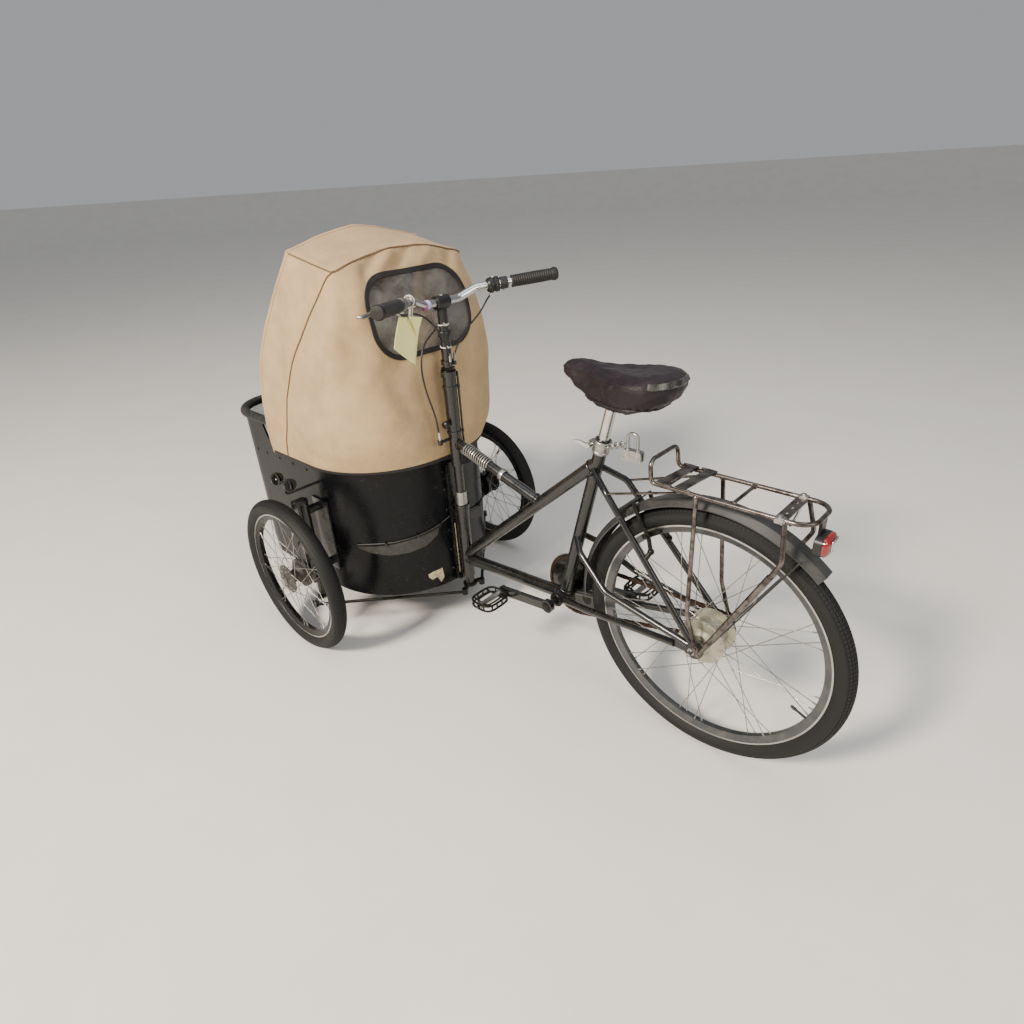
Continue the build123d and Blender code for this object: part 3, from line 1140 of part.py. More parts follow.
pad_plan = Rot(0, 0, BRAKE_ANGLE_DEG + 90) * RectangleRounded(BRAKE_PAD_LENGTH, BRAKE_PAD_HEIGHT, 3)
brake_pad = Pos(pad_x, pad_face_y + BRAKE_PAD_THICK, pad_z) * extrude(Plane.XZ * pad_plan, BRAKE_PAD_THICK)
brake_side = off_the_stays(brake_arm + brake_pad, SEAT_GAP)
cross_cable = rod((arm_top[0], -arm_y, arm_top[2] - 4), (arm_top[0], arm_y, arm_top[2] - 4), 1.5)
keep("rim_brake", brake_side + mirror_y(brake_side) + cross_cable)

# Rack: two rails in one loop, a hoop in front, cross rods, legs to the dropouts, struts to the seat stays
rail_z = RACK_Z
rail_y = RACK_HALF_WIDTH
loop_front = RACK_FRONT_X - 40
rack_loop = [
    (loop_front, rail_y, rail_z),
    (RACK_REAR_X, rail_y, rail_z),
    (RACK_REAR_X, -rail_y, rail_z),
    (loop_front, -rail_y, rail_z),
]
half_front_hoop = [
    (loop_front, rail_y, rail_z),
    (RACK_FRONT_X - 5, rail_y, rail_z),
    (RACK_FRONT_X, rail_y, rail_z + RACK_HOOP_RISE),
]
front_hoop = half_front_hoop + [(x, -y, z) for x, y, z in reversed(half_front_hoop)]
rack = bent_rod(rack_loop, 38.0, RACK_TUBE_R) + bent_rod(front_hoop, [12.0, 20.0, 20.0, 12.0], RACK_TUBE_R)
for cross_x in RACK_CROSS_RODS_X:
    rack += rod((cross_x, -rail_y, rail_z), (cross_x, rail_y, rail_z), RACK_TUBE_R - 1)
leg_y = rail_y + 2
foot_y = DROPOUT_Y + STAY_R + RACK_TUBE_R + 2
for top_x, knee_x, knee_rise, foot_x, foot_rise in RACK_LEGS:
    knee_at = Vector(knee_x, foot_y, AXLE_Z + knee_rise)
    foot_at = Vector(foot_x, foot_y, AXLE_Z + foot_rise)
    leg = bent_rod([(top_x, leg_y, rail_z), (*knee_at,), (*foot_at,)], 30.0, RACK_TUBE_R)
    lower_run = foot_at - knee_at
    if knee_rise > RACK_SLEEVE_OVER:
        leg += rod(knee_at + lower_run * 0.12, knee_at + lower_run * 0.9, RACK_LEG_R)
    leg += rod((foot_x, dropout_out + SEAT_GAP, foot_at.Z), (*foot_at,), 4.0)
    rack += leg + mirror_y(leg)
strut_rear = (RACK_STRUT_X, rail_y - 4, rail_z - 6)
rack_strut = off_the_stays(rod((knee.X - 4, knee.Y + 3, knee.Z), strut_rear, RACK_STRUT_R), SEAT_GAP)
strut_pieces = rack_strut.solids().sort_by(SortBy.VOLUME)
rack_strut = strut_pieces[-1]
rack += rack_strut + mirror_y(rack_strut)
keep("rack", rack)

# Plates of the rack: two sprung straps across the rails and a plate between them at the rear
strap_half = rail_y + RACK_TUBE_R
strap_z = rail_z + RACK_TUBE_R + SEAT_GAP
plates = []
for strap_x in RACK_STRAPS_X:
    strap = Rot(0, 0, -6) * Box(RACK_PLATE_WIDTH, 2 * strap_half, RACK_PLATE_THICK)
    plates.append(Pos(strap_x, 0, strap_z + RACK_PLATE_THICK / 2) * strap)
tail_half = rail_y - RACK_TUBE_R - SEAT_GAP
tail_plate = Pos(RACK_TAIL_PLATE_X, 0, rail_z) * Box(RACK_PLATE_WIDTH, 2 * tail_half, RACK_PLATE_THICK)
for slot_y in (-0.5 * tail_half, 0, 0.5 * tail_half):
    tail_plate -= Pos(RACK_TAIL_PLATE_X, slot_y, rail_z) * Cylinder(4.0, 3 * RACK_PLATE_THICK)
keep("rack_plates", *plates, tail_plate)

# Rear light under the rack's tail
light_x = RACK_REAR_X + LIGHT_BRACKET_THICK / 2
light_facing = Plane(origin=(light_x, 0, LIGHT_Z), x_dir=(0, 1, 0), z_dir=(-1, 0, 0))
lamp = extrude(light_facing * RectangleRounded(LIGHT_WIDTH, LIGHT_HEIGHT, LIGHT_CORNER_R), LIGHT_DEPTH)
bracket_top = rail_z - RACK_TUBE_R - SEAT_GAP
lamp += block((light_x - LIGHT_BRACKET_THICK, -14, LIGHT_Z), (light_x, 14, bracket_top))
keep("rear_light", lamp)

# The origin goes to the ground, midway between the rear tyre's back and the hoop's front
MIDDLE_X = (hoop_front + HOOP_TUBE_R - REAR_WHEEL_R) / 2
for node, shape in PARTS.items():
    export_step(Pos(-MIDDLE_X, 0, 0) * shape, f"parts/{node}.step")
print("middle x", MIDDLE_X)
print("arm end", ARM_END, "inner eye", INNER_EYE)
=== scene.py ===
import json
import logging
import math
from dataclasses import dataclass
from enum import Enum
from typing import Iterable, Sequence

import bpy
from mathutils import Matrix, Vector, noise
from mathutils.bvhtree import BVHTree

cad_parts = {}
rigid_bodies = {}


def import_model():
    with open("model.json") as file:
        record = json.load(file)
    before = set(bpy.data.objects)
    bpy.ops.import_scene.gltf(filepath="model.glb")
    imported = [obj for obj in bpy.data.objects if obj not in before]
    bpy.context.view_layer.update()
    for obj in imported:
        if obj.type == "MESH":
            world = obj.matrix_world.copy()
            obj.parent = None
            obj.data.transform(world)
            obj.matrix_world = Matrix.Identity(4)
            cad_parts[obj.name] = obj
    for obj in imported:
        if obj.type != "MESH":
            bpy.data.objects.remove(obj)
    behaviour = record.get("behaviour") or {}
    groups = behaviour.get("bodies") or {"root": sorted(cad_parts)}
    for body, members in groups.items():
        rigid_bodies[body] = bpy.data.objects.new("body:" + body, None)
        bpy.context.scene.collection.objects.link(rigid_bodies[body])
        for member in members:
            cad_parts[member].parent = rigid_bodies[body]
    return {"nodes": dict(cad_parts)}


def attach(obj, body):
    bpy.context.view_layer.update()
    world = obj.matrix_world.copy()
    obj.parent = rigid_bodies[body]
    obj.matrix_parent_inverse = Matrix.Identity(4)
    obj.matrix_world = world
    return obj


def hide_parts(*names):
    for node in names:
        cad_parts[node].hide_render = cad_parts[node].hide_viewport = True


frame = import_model()

LOG = logging.getLogger("cargo_trike")
AXLE_X = -0.658  # where the rear axle stands: places are measured forward from it
TURN = 2.0 * math.pi
Spot = tuple[float, float, float]
Piece = bpy.types.Object
Tree = bpy.types.NodeTree
Socket = bpy.types.NodeSocket


class Side(Enum):
    """A side of the tricycle, as its sign along Y."""

    LEFT = 1
    RIGHT = -1


SIDES = tuple((side.value, side.name.lower()) for side in Side)


# Workshop: the small moves that every piece is made with


def at(x: float, y: float, z: float) -> Vector:
    """Give the place of a point measured in metres from the foot of the rear axle."""
    return Vector((x + AXLE_X, y, z))


def linear(code: str) -> tuple[float, float, float, float]:
    """Turn an sRGB hex colour into linear light.

    Args:
        code: colour as "#RRGGBB".

    Returns:
        Red, green, blue and an alpha of one.
    """
    shares = [int(code[i:i + 2], 16) / 255 for i in (1, 3, 5)]
    light = [s / 12.92 if s <= 0.04045 else ((s + 0.055) / 1.055) ** 2.4 for s in shares]
    return light[0], light[1], light[2], 1.0


def add_node(tree: Tree, kind: str, inputs: dict | None = None, **settings: object) -> bpy.types.Node:
    """Add one shader node, set it and link it.

    Args:
        tree: node tree that takes the node.
        kind: Blender's name of the node's type.
        inputs: value or linked socket for each input, by its name or number.
        settings: attributes of the node.

    Returns:
        The new node.
    """
    made = tree.nodes.new(kind)
    for key, value in settings.items():
        setattr(made, key, value)
    for key, value in (inputs or {}).items():
        socket = made.inputs[key]
        if isinstance(value, Socket):
            tree.links.new(value, socket)
        else:
            socket.default_value = value
    return made


def clear_selection() -> None:
    """Leave nothing selected, the imported nodes among them."""
    for other in list(bpy.context.selected_objects):
        other.select_set(False)


def take(piece: Piece) -> None:
    """Select one piece alone and make it active.

    Args:
        piece: the piece to select.
    """
    clear_selection()
    piece.select_set(True)
    bpy.context.view_layer.objects.active = piece


def settle(name: str, smooth_deg: float = 35.0) -> Piece:
    """Name the active piece, put its place into its mesh and smooth its shallow edges.

    Args:
        name: name of the piece.
        smooth_deg: edges shallower than this are shaded smooth.

    Returns:
        The piece.
    """
    piece = bpy.context.object
    piece.name = name
    piece.data.name = name
    bpy.ops.object.transform_apply(location=True, rotation=True, scale=True)
    bpy.ops.object.shade_smooth_by_angle(angle=math.radians(smooth_deg))
    return piece


def apply_modifier(piece: Piece, kind: str, **settings: object) -> None:
    """Add a modifier with its settings and apply it at once.

    Args:
        piece: the piece it works on.
        kind: Blender's name for the modifier.
        settings: its settings, by name.
    """
    take(piece)
    change = piece.modifiers.new(kind.lower(), kind)
    for key, value in settings.items():
        setattr(change, key, value)
    bpy.ops.object.modifier_apply(modifier=change.name)


def ease_edges(piece: Piece, width: float, segments: int = 2) -> Piece:
    """Round the sharp edges of a piece, as a file or a mould leaves them.

    Args:
        piece: the piece.
        width: width of the rounding.
        segments: faces across it.

    Returns:
        The piece.
    """
    apply_modifier(piece, "BEVEL", width=width, segments=segments, limit_method="ANGLE", angle_limit=math.radians(35))
    bpy.ops.object.shade_smooth_by_angle(angle=math.radians(40))
    return piece


def choose_faces(piece: Piece, wanted: Iterable[int]) -> None:
    """Go into edit mode with only the wanted faces of a piece selected.

    Args:
        piece: the piece.
        wanted: numbers of the wanted faces.
    """
    take(piece)
    bpy.ops.object.mode_set(mode="EDIT")
    bpy.ops.mesh.select_mode(type="FACE")
    bpy.ops.mesh.select_all(action="DESELECT")
    bpy.ops.object.mode_set(mode="OBJECT")
    for index in wanted:
        piece.data.polygons[index].select = True
    bpy.ops.object.mode_set(mode="EDIT")


def begin_line(start: Vector) -> None:
    """Start a mesh of one loose point, in edit mode.

    Args:
        start: where the point stands.
    """
    clear_selection()
    bpy.ops.mesh.primitive_plane_add(size=0.01, location=start)
    bpy.ops.object.mode_set(mode="EDIT")
    bpy.ops.mesh.select_mode(type="VERT")
    bpy.ops.mesh.select_all(action="SELECT")
    bpy.ops.mesh.merge(type="CENTER")


def close_up() -> None:
    """Merge the doubles of the mesh in edit mode, face it outwards and go back to object mode."""
    bpy.ops.mesh.select_all(action="SELECT")
    bpy.ops.mesh.remove_doubles(threshold=2e-5)
    bpy.ops.mesh.normals_make_consistent(inside=False)
    bpy.ops.object.mode_set(mode="OBJECT")


def turned(name: str, profile: Sequence[tuple[float, float]], centre: Vector,
           axis: Spot = (0, 1, 0), steps: int = 64) -> Piece:
    """Spin a profile about an axis, as on a lathe.

    Args:
        name: name of the piece.
        profile: points as (radius, place along the axis), in metres.
        centre: point on the axis that the places are measured from.
        axis: direction of the axis.
        steps: faces round the piece.

    Returns:
        The turned piece.
    """
    along = Vector(axis).normalized()
    out = Vector((1, 0, 0)) if abs(along.x) < 0.9 else Vector((0, 0, 1))
    out = (out - along * out.dot(along)).normalized()
    spots = [centre + out * radius + along * place for radius, place in profile]
    begin_line(spots[0])
    for here, there in zip(spots, spots[1:]):
        bpy.ops.mesh.extrude_region_move(TRANSFORM_OT_translate={"value": (there - here)[:]})
    bpy.ops.mesh.select_all(action="SELECT")
    bpy.ops.mesh.spin(steps=steps, angle=TURN, center=centre[:], axis=along[:])
    close_up()
    return settle(name)


def bar(name: str, start: Vector, end: Vector, radius: float, end_radius: float | None = None,
        sides: int = 24, edge: float = 0.0006) -> Piece:
    """Make a round bar or taper between two points, with eased ends.

    Args:
        name: name of the piece.
        start: middle of its first end.
        end: middle of its other end.
        radius: radius at the first end.
        end_radius: radius at the other end, the same if left out.
        sides: faces round it.
        edge: width of its eased edges.

    Returns:
        The bar.
    """
    clear_selection()
    run = end - start
    bpy.ops.mesh.primitive_cone_add(
        vertices=sides, radius1=radius, radius2=radius if end_radius is None else end_radius, depth=run.length,
        location=(start + end) / 2, rotation=run.to_track_quat("Z", "Y").to_euler())
    return ease_edges(settle(name), edge)


def block(name: str, centre: Vector, size: Spot, turn: Spot = (0, 0, 0), edge: float = 0.001) -> Piece:
    """Make a box at its size and place, with eased edges.

    Args:
        name: name of the piece.
        centre: middle of the box.
        size: whole length along each of its own axes.
        turn: Euler angles in degrees.
        edge: width of the eased edges.

    Returns:
        The box.
    """
    clear_selection()
    bpy.ops.mesh.primitive_cube_add(size=1, location=centre, rotation=[math.radians(a) for a in turn])
    bpy.context.object.scale = size
    return ease_edges(settle(name), edge)


def plate(name: str, outline: Sequence[Vector], thick: Vector, edge: float = 0.0005) -> Piece:
    """Make a flat plate from its outline, drawn point by point, filled and pulled out.

    Args:
        name: name of the piece.
        outline: corners in order, not closed.
        thick: direction and length of the pull.
        edge: width of the eased edges.

    Returns:
        The plate.
    """
    begin_line(outline[0])
    for here, there in zip(outline, outline[1:]):
        bpy.ops.mesh.extrude_region_move(TRANSFORM_OT_translate={"value": (there - here)[:]})
    bpy.ops.mesh.select_all(action="SELECT")
    bpy.ops.mesh.edge_face_add()
    bpy.ops.mesh.extrude_region_move(TRANSFORM_OT_translate={"value": thick[:]})
    close_up()
    return ease_edges(settle(name), edge)


def face_outwards(piece: Piece) -> None:
    """Turn every face of a piece outwards.

    Args:
        piece: the piece.
    """
    take(piece)
    bpy.ops.object.mode_set(mode="EDIT")
    bpy.ops.mesh.select_all(action="SELECT")
    bpy.ops.mesh.normals_make_consistent(inside=False)
    bpy.ops.object.mode_set(mode="OBJECT")


def sewn(name: str, spots: Sequence[Vector], faces: Sequence[tuple[int, ...]],
         flat: Sequence[tuple[float, float]] | None = None) -> Piece:
    """Make soft goods from corners and faces.

    Args:
        name: name of the piece.
        spots: corners.
        faces: corners of each face, by number.
        flat: place of each corner on the flat cloth, in metres, for the UV map.

    Returns:
        The piece.
    """
    mesh = bpy.data.meshes.new(name)
    mesh.from_pydata([spot[:] for spot in spots], [], faces)
    if flat is not None:
        layer = mesh.uv_layers.new(name="cloth")
        for loop in mesh.loops:
            layer.data[loop.index].uv = flat[loop.vertex_index]
    made = bpy.data.objects.new(name, mesh)
    bpy.context.collection.objects.link(made)
    return made


def skin_of(piece: Piece) -> BVHTree:
    """Give the surface of a piece as a tree that rays can meet."""
    mesh = piece.data
    return BVHTree.FromPolygons([v.co[:] for v in mesh.vertices], [p.vertices[:] for p in mesh.polygons])


def signed(value: float, power: float) -> float:
    """Raise a number's size to a power and keep its sign."""
    return math.copysign(abs(value) ** power, value)


def route(name: str, points: Sequence[Vector], radius: float) -> Piece:
    """Lay a round cable on a smooth curve whose control points are given.

    Args:
        name: name of the piece.
        points: control points.
        radius: half the cable's diameter.

    Returns:
        A curve object.
    """
    line = bpy.data.curves.new(name, "CURVE")
    line.dimensions = "3D"
    line.bevel_depth = radius
    line.bevel_resolution = 3
    line.resolution_u = 8
    line.use_fill_caps = True
    spline = line.splines.new("NURBS")
    spline.points.add(len(points) - 1)
    for knot, spot in zip(spline.points, points):
        knot.co = (*spot, 1.0)
    spline.order_u = 3
    spline.use_endpoint_u = True
    cable = bpy.data.objects.new(name, line)
    bpy.context.collection.objects.link(cable)
    return cable


def tube(name: str, points: Sequence[Vector], radius: float) -> Piece:
    """Bend a round tube or wire along a smooth curve, as a mesh.

    Args:
        name: name of the piece.
        points: points of its middle line.
        radius: radius of the tube.

    Returns:
        The tube.
    """
    made = route(name, points, radius)
    take(made)
    bpy.ops.object.convert(target="MESH")
    return settle(name)


def joined(name: str, pieces: Sequence[Piece]) -> Piece:
    """Join pieces of one finish into one object.

    Args:
        name: name of the joined piece.
        pieces: pieces to join.

    Returns:
        The joined piece.
    """
    take(pieces[0])
    for other in pieces[1:]:
        other.select_set(True)
    bpy.ops.object.join()
    whole = bpy.context.object
    whole.name = name
    whole.data.name = name
    return whole


def copied(piece: Piece, name: str, move: Matrix) -> Piece:
    """Copy a piece with its own mesh and move the copy.

    Args:
        piece: the piece to copy.
        name: name of the copy.
        move: how the copy is moved.

    Returns:
        The copy.
    """
    twin = piece.copy()
    twin.data = piece.data.copy()
    twin.name = name
    twin.data.name = name
    twin.data.transform(move)
    bpy.context.collection.objects.link(twin)
    return twin


def repeated(name: str, piece: Piece, moves: Iterable[Matrix]) -> Piece:
    """Copy one modelled piece to each place, drop the first and join the copies.

    Args:
        name: name of the joined copies.
        piece: the modelled piece.
        moves: one move for each copy.

    Returns:
        The joined copies.
    """
    twins = [copied(piece, f"{name}_{index}", move) for index, move in enumerate(moves)]
    bpy.data.objects.remove(piece, do_unlink=True)
    return joined(name, twins)


def ring_moves(centre: Vector, axis: Spot, count: int, first_deg: float = 0.0) -> list[Matrix]:
    """List the turns that set copies evenly round an axis.

    Args:
        centre: a point on the axis.
        axis: way of the axis.
        count: how many copies.
        first_deg: angle of the first.

    Returns:
        One move for each copy.
    """
    there = Matrix.Translation(centre)
    back = Matrix.Translation(-centre)
    return [there @ Matrix.Rotation(TURN * i / count + math.radians(first_deg), 4, Vector(axis)) @ back
            for i in range(count)]


def wrap_round(piece: Piece, centre: Vector, radius: float) -> None:
    """Give a wheel part a UV map in metres: along the tread, and across it.

    Args:
        piece: part turned about an axis along Y.
        centre: middle of the wheel.
        radius: radius at which the length along the tread is right.
    """
    mesh = piece.data
    layer = mesh.uv_layers.new(name="wrap")
    for face in mesh.polygons:
        middle = face.center - centre
        lead = math.atan2(middle.z, middle.x)
        for loop in face.loop_indices:
            spot = mesh.vertices[mesh.loops[loop].vertex_index].co - centre
            angle = math.atan2(spot.z, spot.x)
            angle += TURN * round((lead - angle) / TURN)
            layer.data[loop].uv = (angle * radius, spot.y)


# Finishes: what each surface is, and how it was made and worn


@dataclass(frozen=True)
class Finish:
    """A coated, moulded or bare surface with the dirt and wear that it has taken.

    Attributes:
        name: what the surface is.
        slot: the record's material slot that it belongs to; not used.
        base: main colour.
        second: colour of the soft patches in it.
        roughness: mean roughness.
        metallic: one for bare metal.
        patch_mm: size of the soft patches.
        patch_share: how much the patches show.
        grain_mm: size of the fine grain.
        grain_depth_mm: height of the fine grain.
        rough_spread: how far the roughness wanders.
        dust: how much dust lies on it, most on what faces up.
        dust_colour: colour of the dust.
        scratches: how much it is scratched.
        scratch_colour: colour of the scratches.
        chips: share of the surface that is chipped or rusted.
        chip_mm: size of the chips.
        chip_colour: what shows in the chips.
        coat: weight of a clear coat.
        sheen: weight of the fibres' sheen.
        specular: share of the usual gloss.
    """

    name: str
    slot: str
    base: str
    second: str
    roughness: float = 0.45
    metallic: float = 0.0
    patch_mm: float = 60.0
    patch_share: float = 0.5
    grain_mm: float = 0.9
    grain_depth_mm: float = 0.03
    rough_spread: float = 0.2
    dust: float = 0.0
    dust_colour: str = "#6F675B"
    scratches: float = 0.0
    scratch_colour: str = "#77736C"
    chips: float = 0.0
    chip_mm: float = 9.0
    chip_colour: str = "#5B3B28"
    coat: float = 0.0
    sheen: float = 0.0
    specular: float = 0.5

    def material(self) -> bpy.types.Material:
        """Build the node material once and give it back on each later call.

        Returns:
            The material.
        """
        known = bpy.data.materials.get(self.name)
        if known is not None:
            return known
        made = bpy.data.materials.new(self.name)
        made.use_nodes = True
        tree = made.node_tree
        tree.nodes.clear()
        place = self.place(tree)
        colour, rough = self.ground(tree, place)
        colour, rough = self.scratched(tree, place, colour, rough)
        colour, rough = self.chipped(tree, place, colour, rough)
        colour, rough = self.dusted(tree, place, colour, rough)
        shader = self.shader(tree, place, colour, rough)
        add_node(tree, "ShaderNodeOutputMaterial", {"Surface": shader})
        return made

    def place(self, tree: Tree) -> Socket:
        """Give the coordinates that the patterns follow, in metres."""
        return add_node(tree, "ShaderNodeTexCoord").outputs["Object"]

    def ground(self, tree: Tree, place: Socket) -> tuple:
        """Lay the base colour with its soft patches, and a roughness that wanders.

        Args:
            tree: node tree of the material.
            place: coordinates to draw at.

        Returns:
            Colour and roughness.
        """
        patches = add_node(
            tree, "ShaderNodeTexNoise", {"Vector": place, "Scale": 1000 / self.patch_mm, "Detail": 5.0,
            "Roughness": 0.6})
        share = add_node(
            tree, "ShaderNodeMapRange", {"Value": patches.outputs["Fac"], "From Min": 0.4, "From Max": 0.66,
            "To Min": 0.0, "To Max": self.patch_share})
        colour = add_node(
            tree, "ShaderNodeMix", {0: share.outputs[0], 6: linear(self.base), 7: linear(self.second)},
            data_type="RGBA")
        rough = add_node(
            tree, "ShaderNodeMapRange", {"Value": patches.outputs["Fac"], "From Min": 0.3, "From Max": 0.7,
            "To Min": max(0.02, self.roughness - self.rough_spread / 2),
            "To Max": self.roughness + self.rough_spread / 2})
        return colour.outputs[2], rough.outputs[0]

    def scratched(self, tree: Tree, place: Socket, colour: Socket, rough: Socket) -> tuple:
        """Draw fine scratches that run two ways.

        Args:
            tree: node tree of the material.
            place: coordinates to draw at.
            colour: colour so far.
            rough: roughness so far.

        Returns:
            Colour and roughness with this added.
        """
        if self.scratches <= 0:
            return colour, rough
        for turn, stretch in (((0.3, 0.2, 0.5), (6.0, 90.0, 160.0)), ((1.2, -0.4, 1.9), (160.0, 8.0, 120.0))):
            laid = add_node(tree, "ShaderNodeMapping", {"Vector": place, "Rotation": turn, "Scale": stretch})
            lines = add_node(tree, "ShaderNodeTexNoise", {"Vector": laid.outputs[0], "Scale": 1.0, "Detail": 3.0})
            mask = add_node(
                tree, "ShaderNodeMapRange", {"Value": lines.outputs["Fac"], "From Min": 0.66, "From Max": 0.74,
                "To Min": 0.0, "To Max": self.scratches})
            colour = add_node(tree, "ShaderNodeMix", {0: mask.outputs[0], 6: colour, 7: linear(self.scratch_colour)},
                              data_type="RGBA").outputs[2]
            rough = add_node(tree, "ShaderNodeMath", {0: rough, 1: mask.outputs[0]}, operation="ADD").outputs[0]
        return colour, rough

    def chipped(self, tree: Tree, place: Socket, colour: Socket, rough: Socket) -> tuple:
        """Break the coat in small ragged spots.

        Args:
            tree: node tree of the material.
            place: coordinates to draw at.
            colour: colour so far.
            rough: roughness so far.

        Returns:
            Colour and roughness with this added.
        """
        if self.chips <= 0:
            return colour, rough
        spots = add_node(
            tree, "ShaderNodeTexNoise", {"Vector": place, "Scale": 1000 / self.chip_mm, "Detail": 8.0,
            "Roughness": 0.68})
        edge = 0.72 - 0.24 * self.chips
        mask = add_node(
            tree, "ShaderNodeMapRange", {"Value": spots.outputs["Fac"], "From Min": edge, "From Max": edge + 0.05,
            "To Min": 0.0, "To Max": 0.9})
        colour = add_node(
            tree, "ShaderNodeMix", {0: mask.outputs[0], 6: colour, 7: linear(self.chip_colour)},
            data_type="RGBA").outputs[2]
        rough = add_node(tree, "ShaderNodeMix", {0: mask.outputs[0], 2: rough, 3: 0.85}).outputs[0]
        return colour, rough

    def dusted(self, tree: Tree, place: Socket, colour: Socket, rough: Socket) -> tuple:
        """Let road dust lie on it, thickest on faces that look up.

        Args:
            tree: node tree of the material.
            place: coordinates to draw at.
            colour: colour so far.
            rough: roughness so far.

        Returns:
            Colour and roughness with this added.
        """
        if self.dust <= 0:
            return colour, rough
        lie = add_node(tree, "ShaderNodeNewGeometry").outputs["Normal"]
        up = add_node(tree, "ShaderNodeSeparateXYZ", {0: lie}).outputs["Z"]
        upward = add_node(
            tree, "ShaderNodeMapRange", {"Value": up, "From Min": -0.6, "From Max": 1.0, "To Min": 0.15,
            "To Max": 1.0})
        cloud = add_node(tree, "ShaderNodeTexNoise", {"Vector": place, "Scale": 38.0, "Detail": 8.0, "Roughness": 0.7})
        thin = add_node(
            tree, "ShaderNodeMapRange", {"Value": cloud.outputs["Fac"], "From Min": 0.46, "From Max": 0.78,
            "To Min": 0.0, "To Max": self.dust})
        mask = add_node(tree, "ShaderNodeMath", {0: upward.outputs[0], 1: thin.outputs[0]}, operation="MULTIPLY",
                        use_clamp=True).outputs[0]
        colour = add_node(
            tree, "ShaderNodeMix", {0: mask, 6: colour, 7: linear(self.dust_colour)}, data_type="RGBA").outputs[2]
        rough = add_node(tree, "ShaderNodeMix", {0: mask, 2: rough, 3: 0.9}).outputs[0]
        return colour, rough

    def relief(self, tree: Tree, place: Socket) -> Socket:
        """Raise the fine grain of the surface.

        Args:
            tree: node tree of the material.
            place: coordinates to draw at.

        Returns:
            Height of the surface.
        """
        grain = add_node(tree, "ShaderNodeTexNoise", {"Vector": place, "Scale": 1000 / self.grain_mm, "Detail": 4.0})
        return add_node(
            tree, "ShaderNodeBump", {"Height": grain.outputs["Fac"], "Strength": 1.0,
            "Distance": self.grain_depth_mm / 1000}).outputs[0]

    def shader(self, tree: Tree, place: Socket, colour: Socket, rough: Socket) -> Socket:
        """Set the surface's light: how it shines, and its constants.

        Args:
            tree: node tree of the material.
            place: coordinates to draw at.
            colour: colour so far.
            rough: roughness so far.

        Returns:
            The shader's output.
        """
        return add_node(
            tree, "ShaderNodeBsdfPrincipled", {"Base Color": colour, "Roughness": rough, "Metallic": self.metallic,
            "Normal": self.relief(tree, place), "Coat Weight": self.coat, "Sheen Weight": self.sheen,
            "Specular IOR Level": self.specular}).outputs[0]


@dataclass(frozen=True)
class Woven(Finish):
    """A plain weave seen through its UV map in metres: warp and weft, slubs, and patches of grime.

    Attributes:
        thread_mm: spacing of the threads as drawn.
        weave_depth_mm: height of the threads.
        slub: how much thicker threads show as streaks.
        grime: colour of the settled dirt.
    """

    thread_mm: float = 1.6
    weave_depth_mm: float = 0.25
    slub: float = 0.35
    grime: str = "#8A7355"

    def place(self, tree: Tree) -> Socket:
        """Follow the cloth's own UV map, so that the weave turns with it."""
        return add_node(tree, "ShaderNodeTexCoord").outputs["UV"]

    def ground(self, tree: Tree, place: Socket) -> tuple:
        """Mottle the cloth, streak it along its threads and lay patches of grime on it.

        Args:
            tree: node tree of the material.
            place: coordinates to draw at.

        Returns:
            Colour and roughness.
        """
        colour, rough = super().ground(tree, place)
        for stretch in ((30.0, 520.0, 1.0), (520.0, 30.0, 1.0)):
            laid = add_node(tree, "ShaderNodeMapping", {"Vector": place, "Scale": stretch})
            streak = add_node(tree, "ShaderNodeTexNoise", {"Vector": laid.outputs[0], "Scale": 1.0, "Detail": 2.0})
            mask = add_node(
                tree, "ShaderNodeMapRange", {"Value": streak.outputs["Fac"], "From Min": 0.45, "From Max": 0.75,
                "To Min": 0.0, "To Max": self.slub})
            colour = add_node(tree, "ShaderNodeMix", {0: mask.outputs[0], 6: colour, 7: linear(self.second)},
                              data_type="RGBA").outputs[2]
        body = add_node(tree, "ShaderNodeTexCoord").outputs["Object"]
        stain = add_node(tree, "ShaderNodeTexNoise", {"Vector": body, "Scale": 7.0, "Detail": 6.0, "Roughness": 0.62})
        spread = add_node(
            tree, "ShaderNodeMapRange", {"Value": stain.outputs["Fac"], "From Min": 0.47, "From Max": 0.7,
            "To Min": 0.0, "To Max": 0.45})
        colour = add_node(
            tree, "ShaderNodeMix", {0: spread.outputs[0], 6: colour, 7: linear(self.grime)},
            data_type="RGBA").outputs[2]
        return colour, rough

    def relief(self, tree: Tree, place: Socket) -> Socket:
        """Raise warp and weft, and the soft unevenness of worn cloth.

        Args:
            tree: node tree of the material.
            place: coordinates to draw at.

        Returns:
            Height of the surface.
        """
        scale = 1000 / self.thread_mm
        height = None
        for direction in ("X", "Y"):
            threads = add_node(
                tree, "ShaderNodeTexWave", {"Vector": place, "Scale": scale / TURN, "Distortion": 0.6, "Detail": 1.0,
                "Detail Scale": 2.0}, bands_direction=direction).outputs["Fac"]
            height = threads if height is None else add_node(
                tree, "ShaderNodeMath", {0: height, 1: threads}, operation="MULTIPLY").outputs[0]
        weave = add_node(
            tree, "ShaderNodeBump", {"Height": height, "Distance": self.weave_depth_mm / 1000,
            "Strength": 0.8}).outputs[0]
        soft = add_node(tree, "ShaderNodeTexNoise", {"Vector": place, "Scale": 46.0, "Detail": 5.0, "Roughness": 0.6})
        return add_node(
            tree, "ShaderNodeBump", {"Height": soft.outputs["Fac"], "Distance": 0.0022, "Strength": 0.7,
            "Normal": weave}).outputs[0]


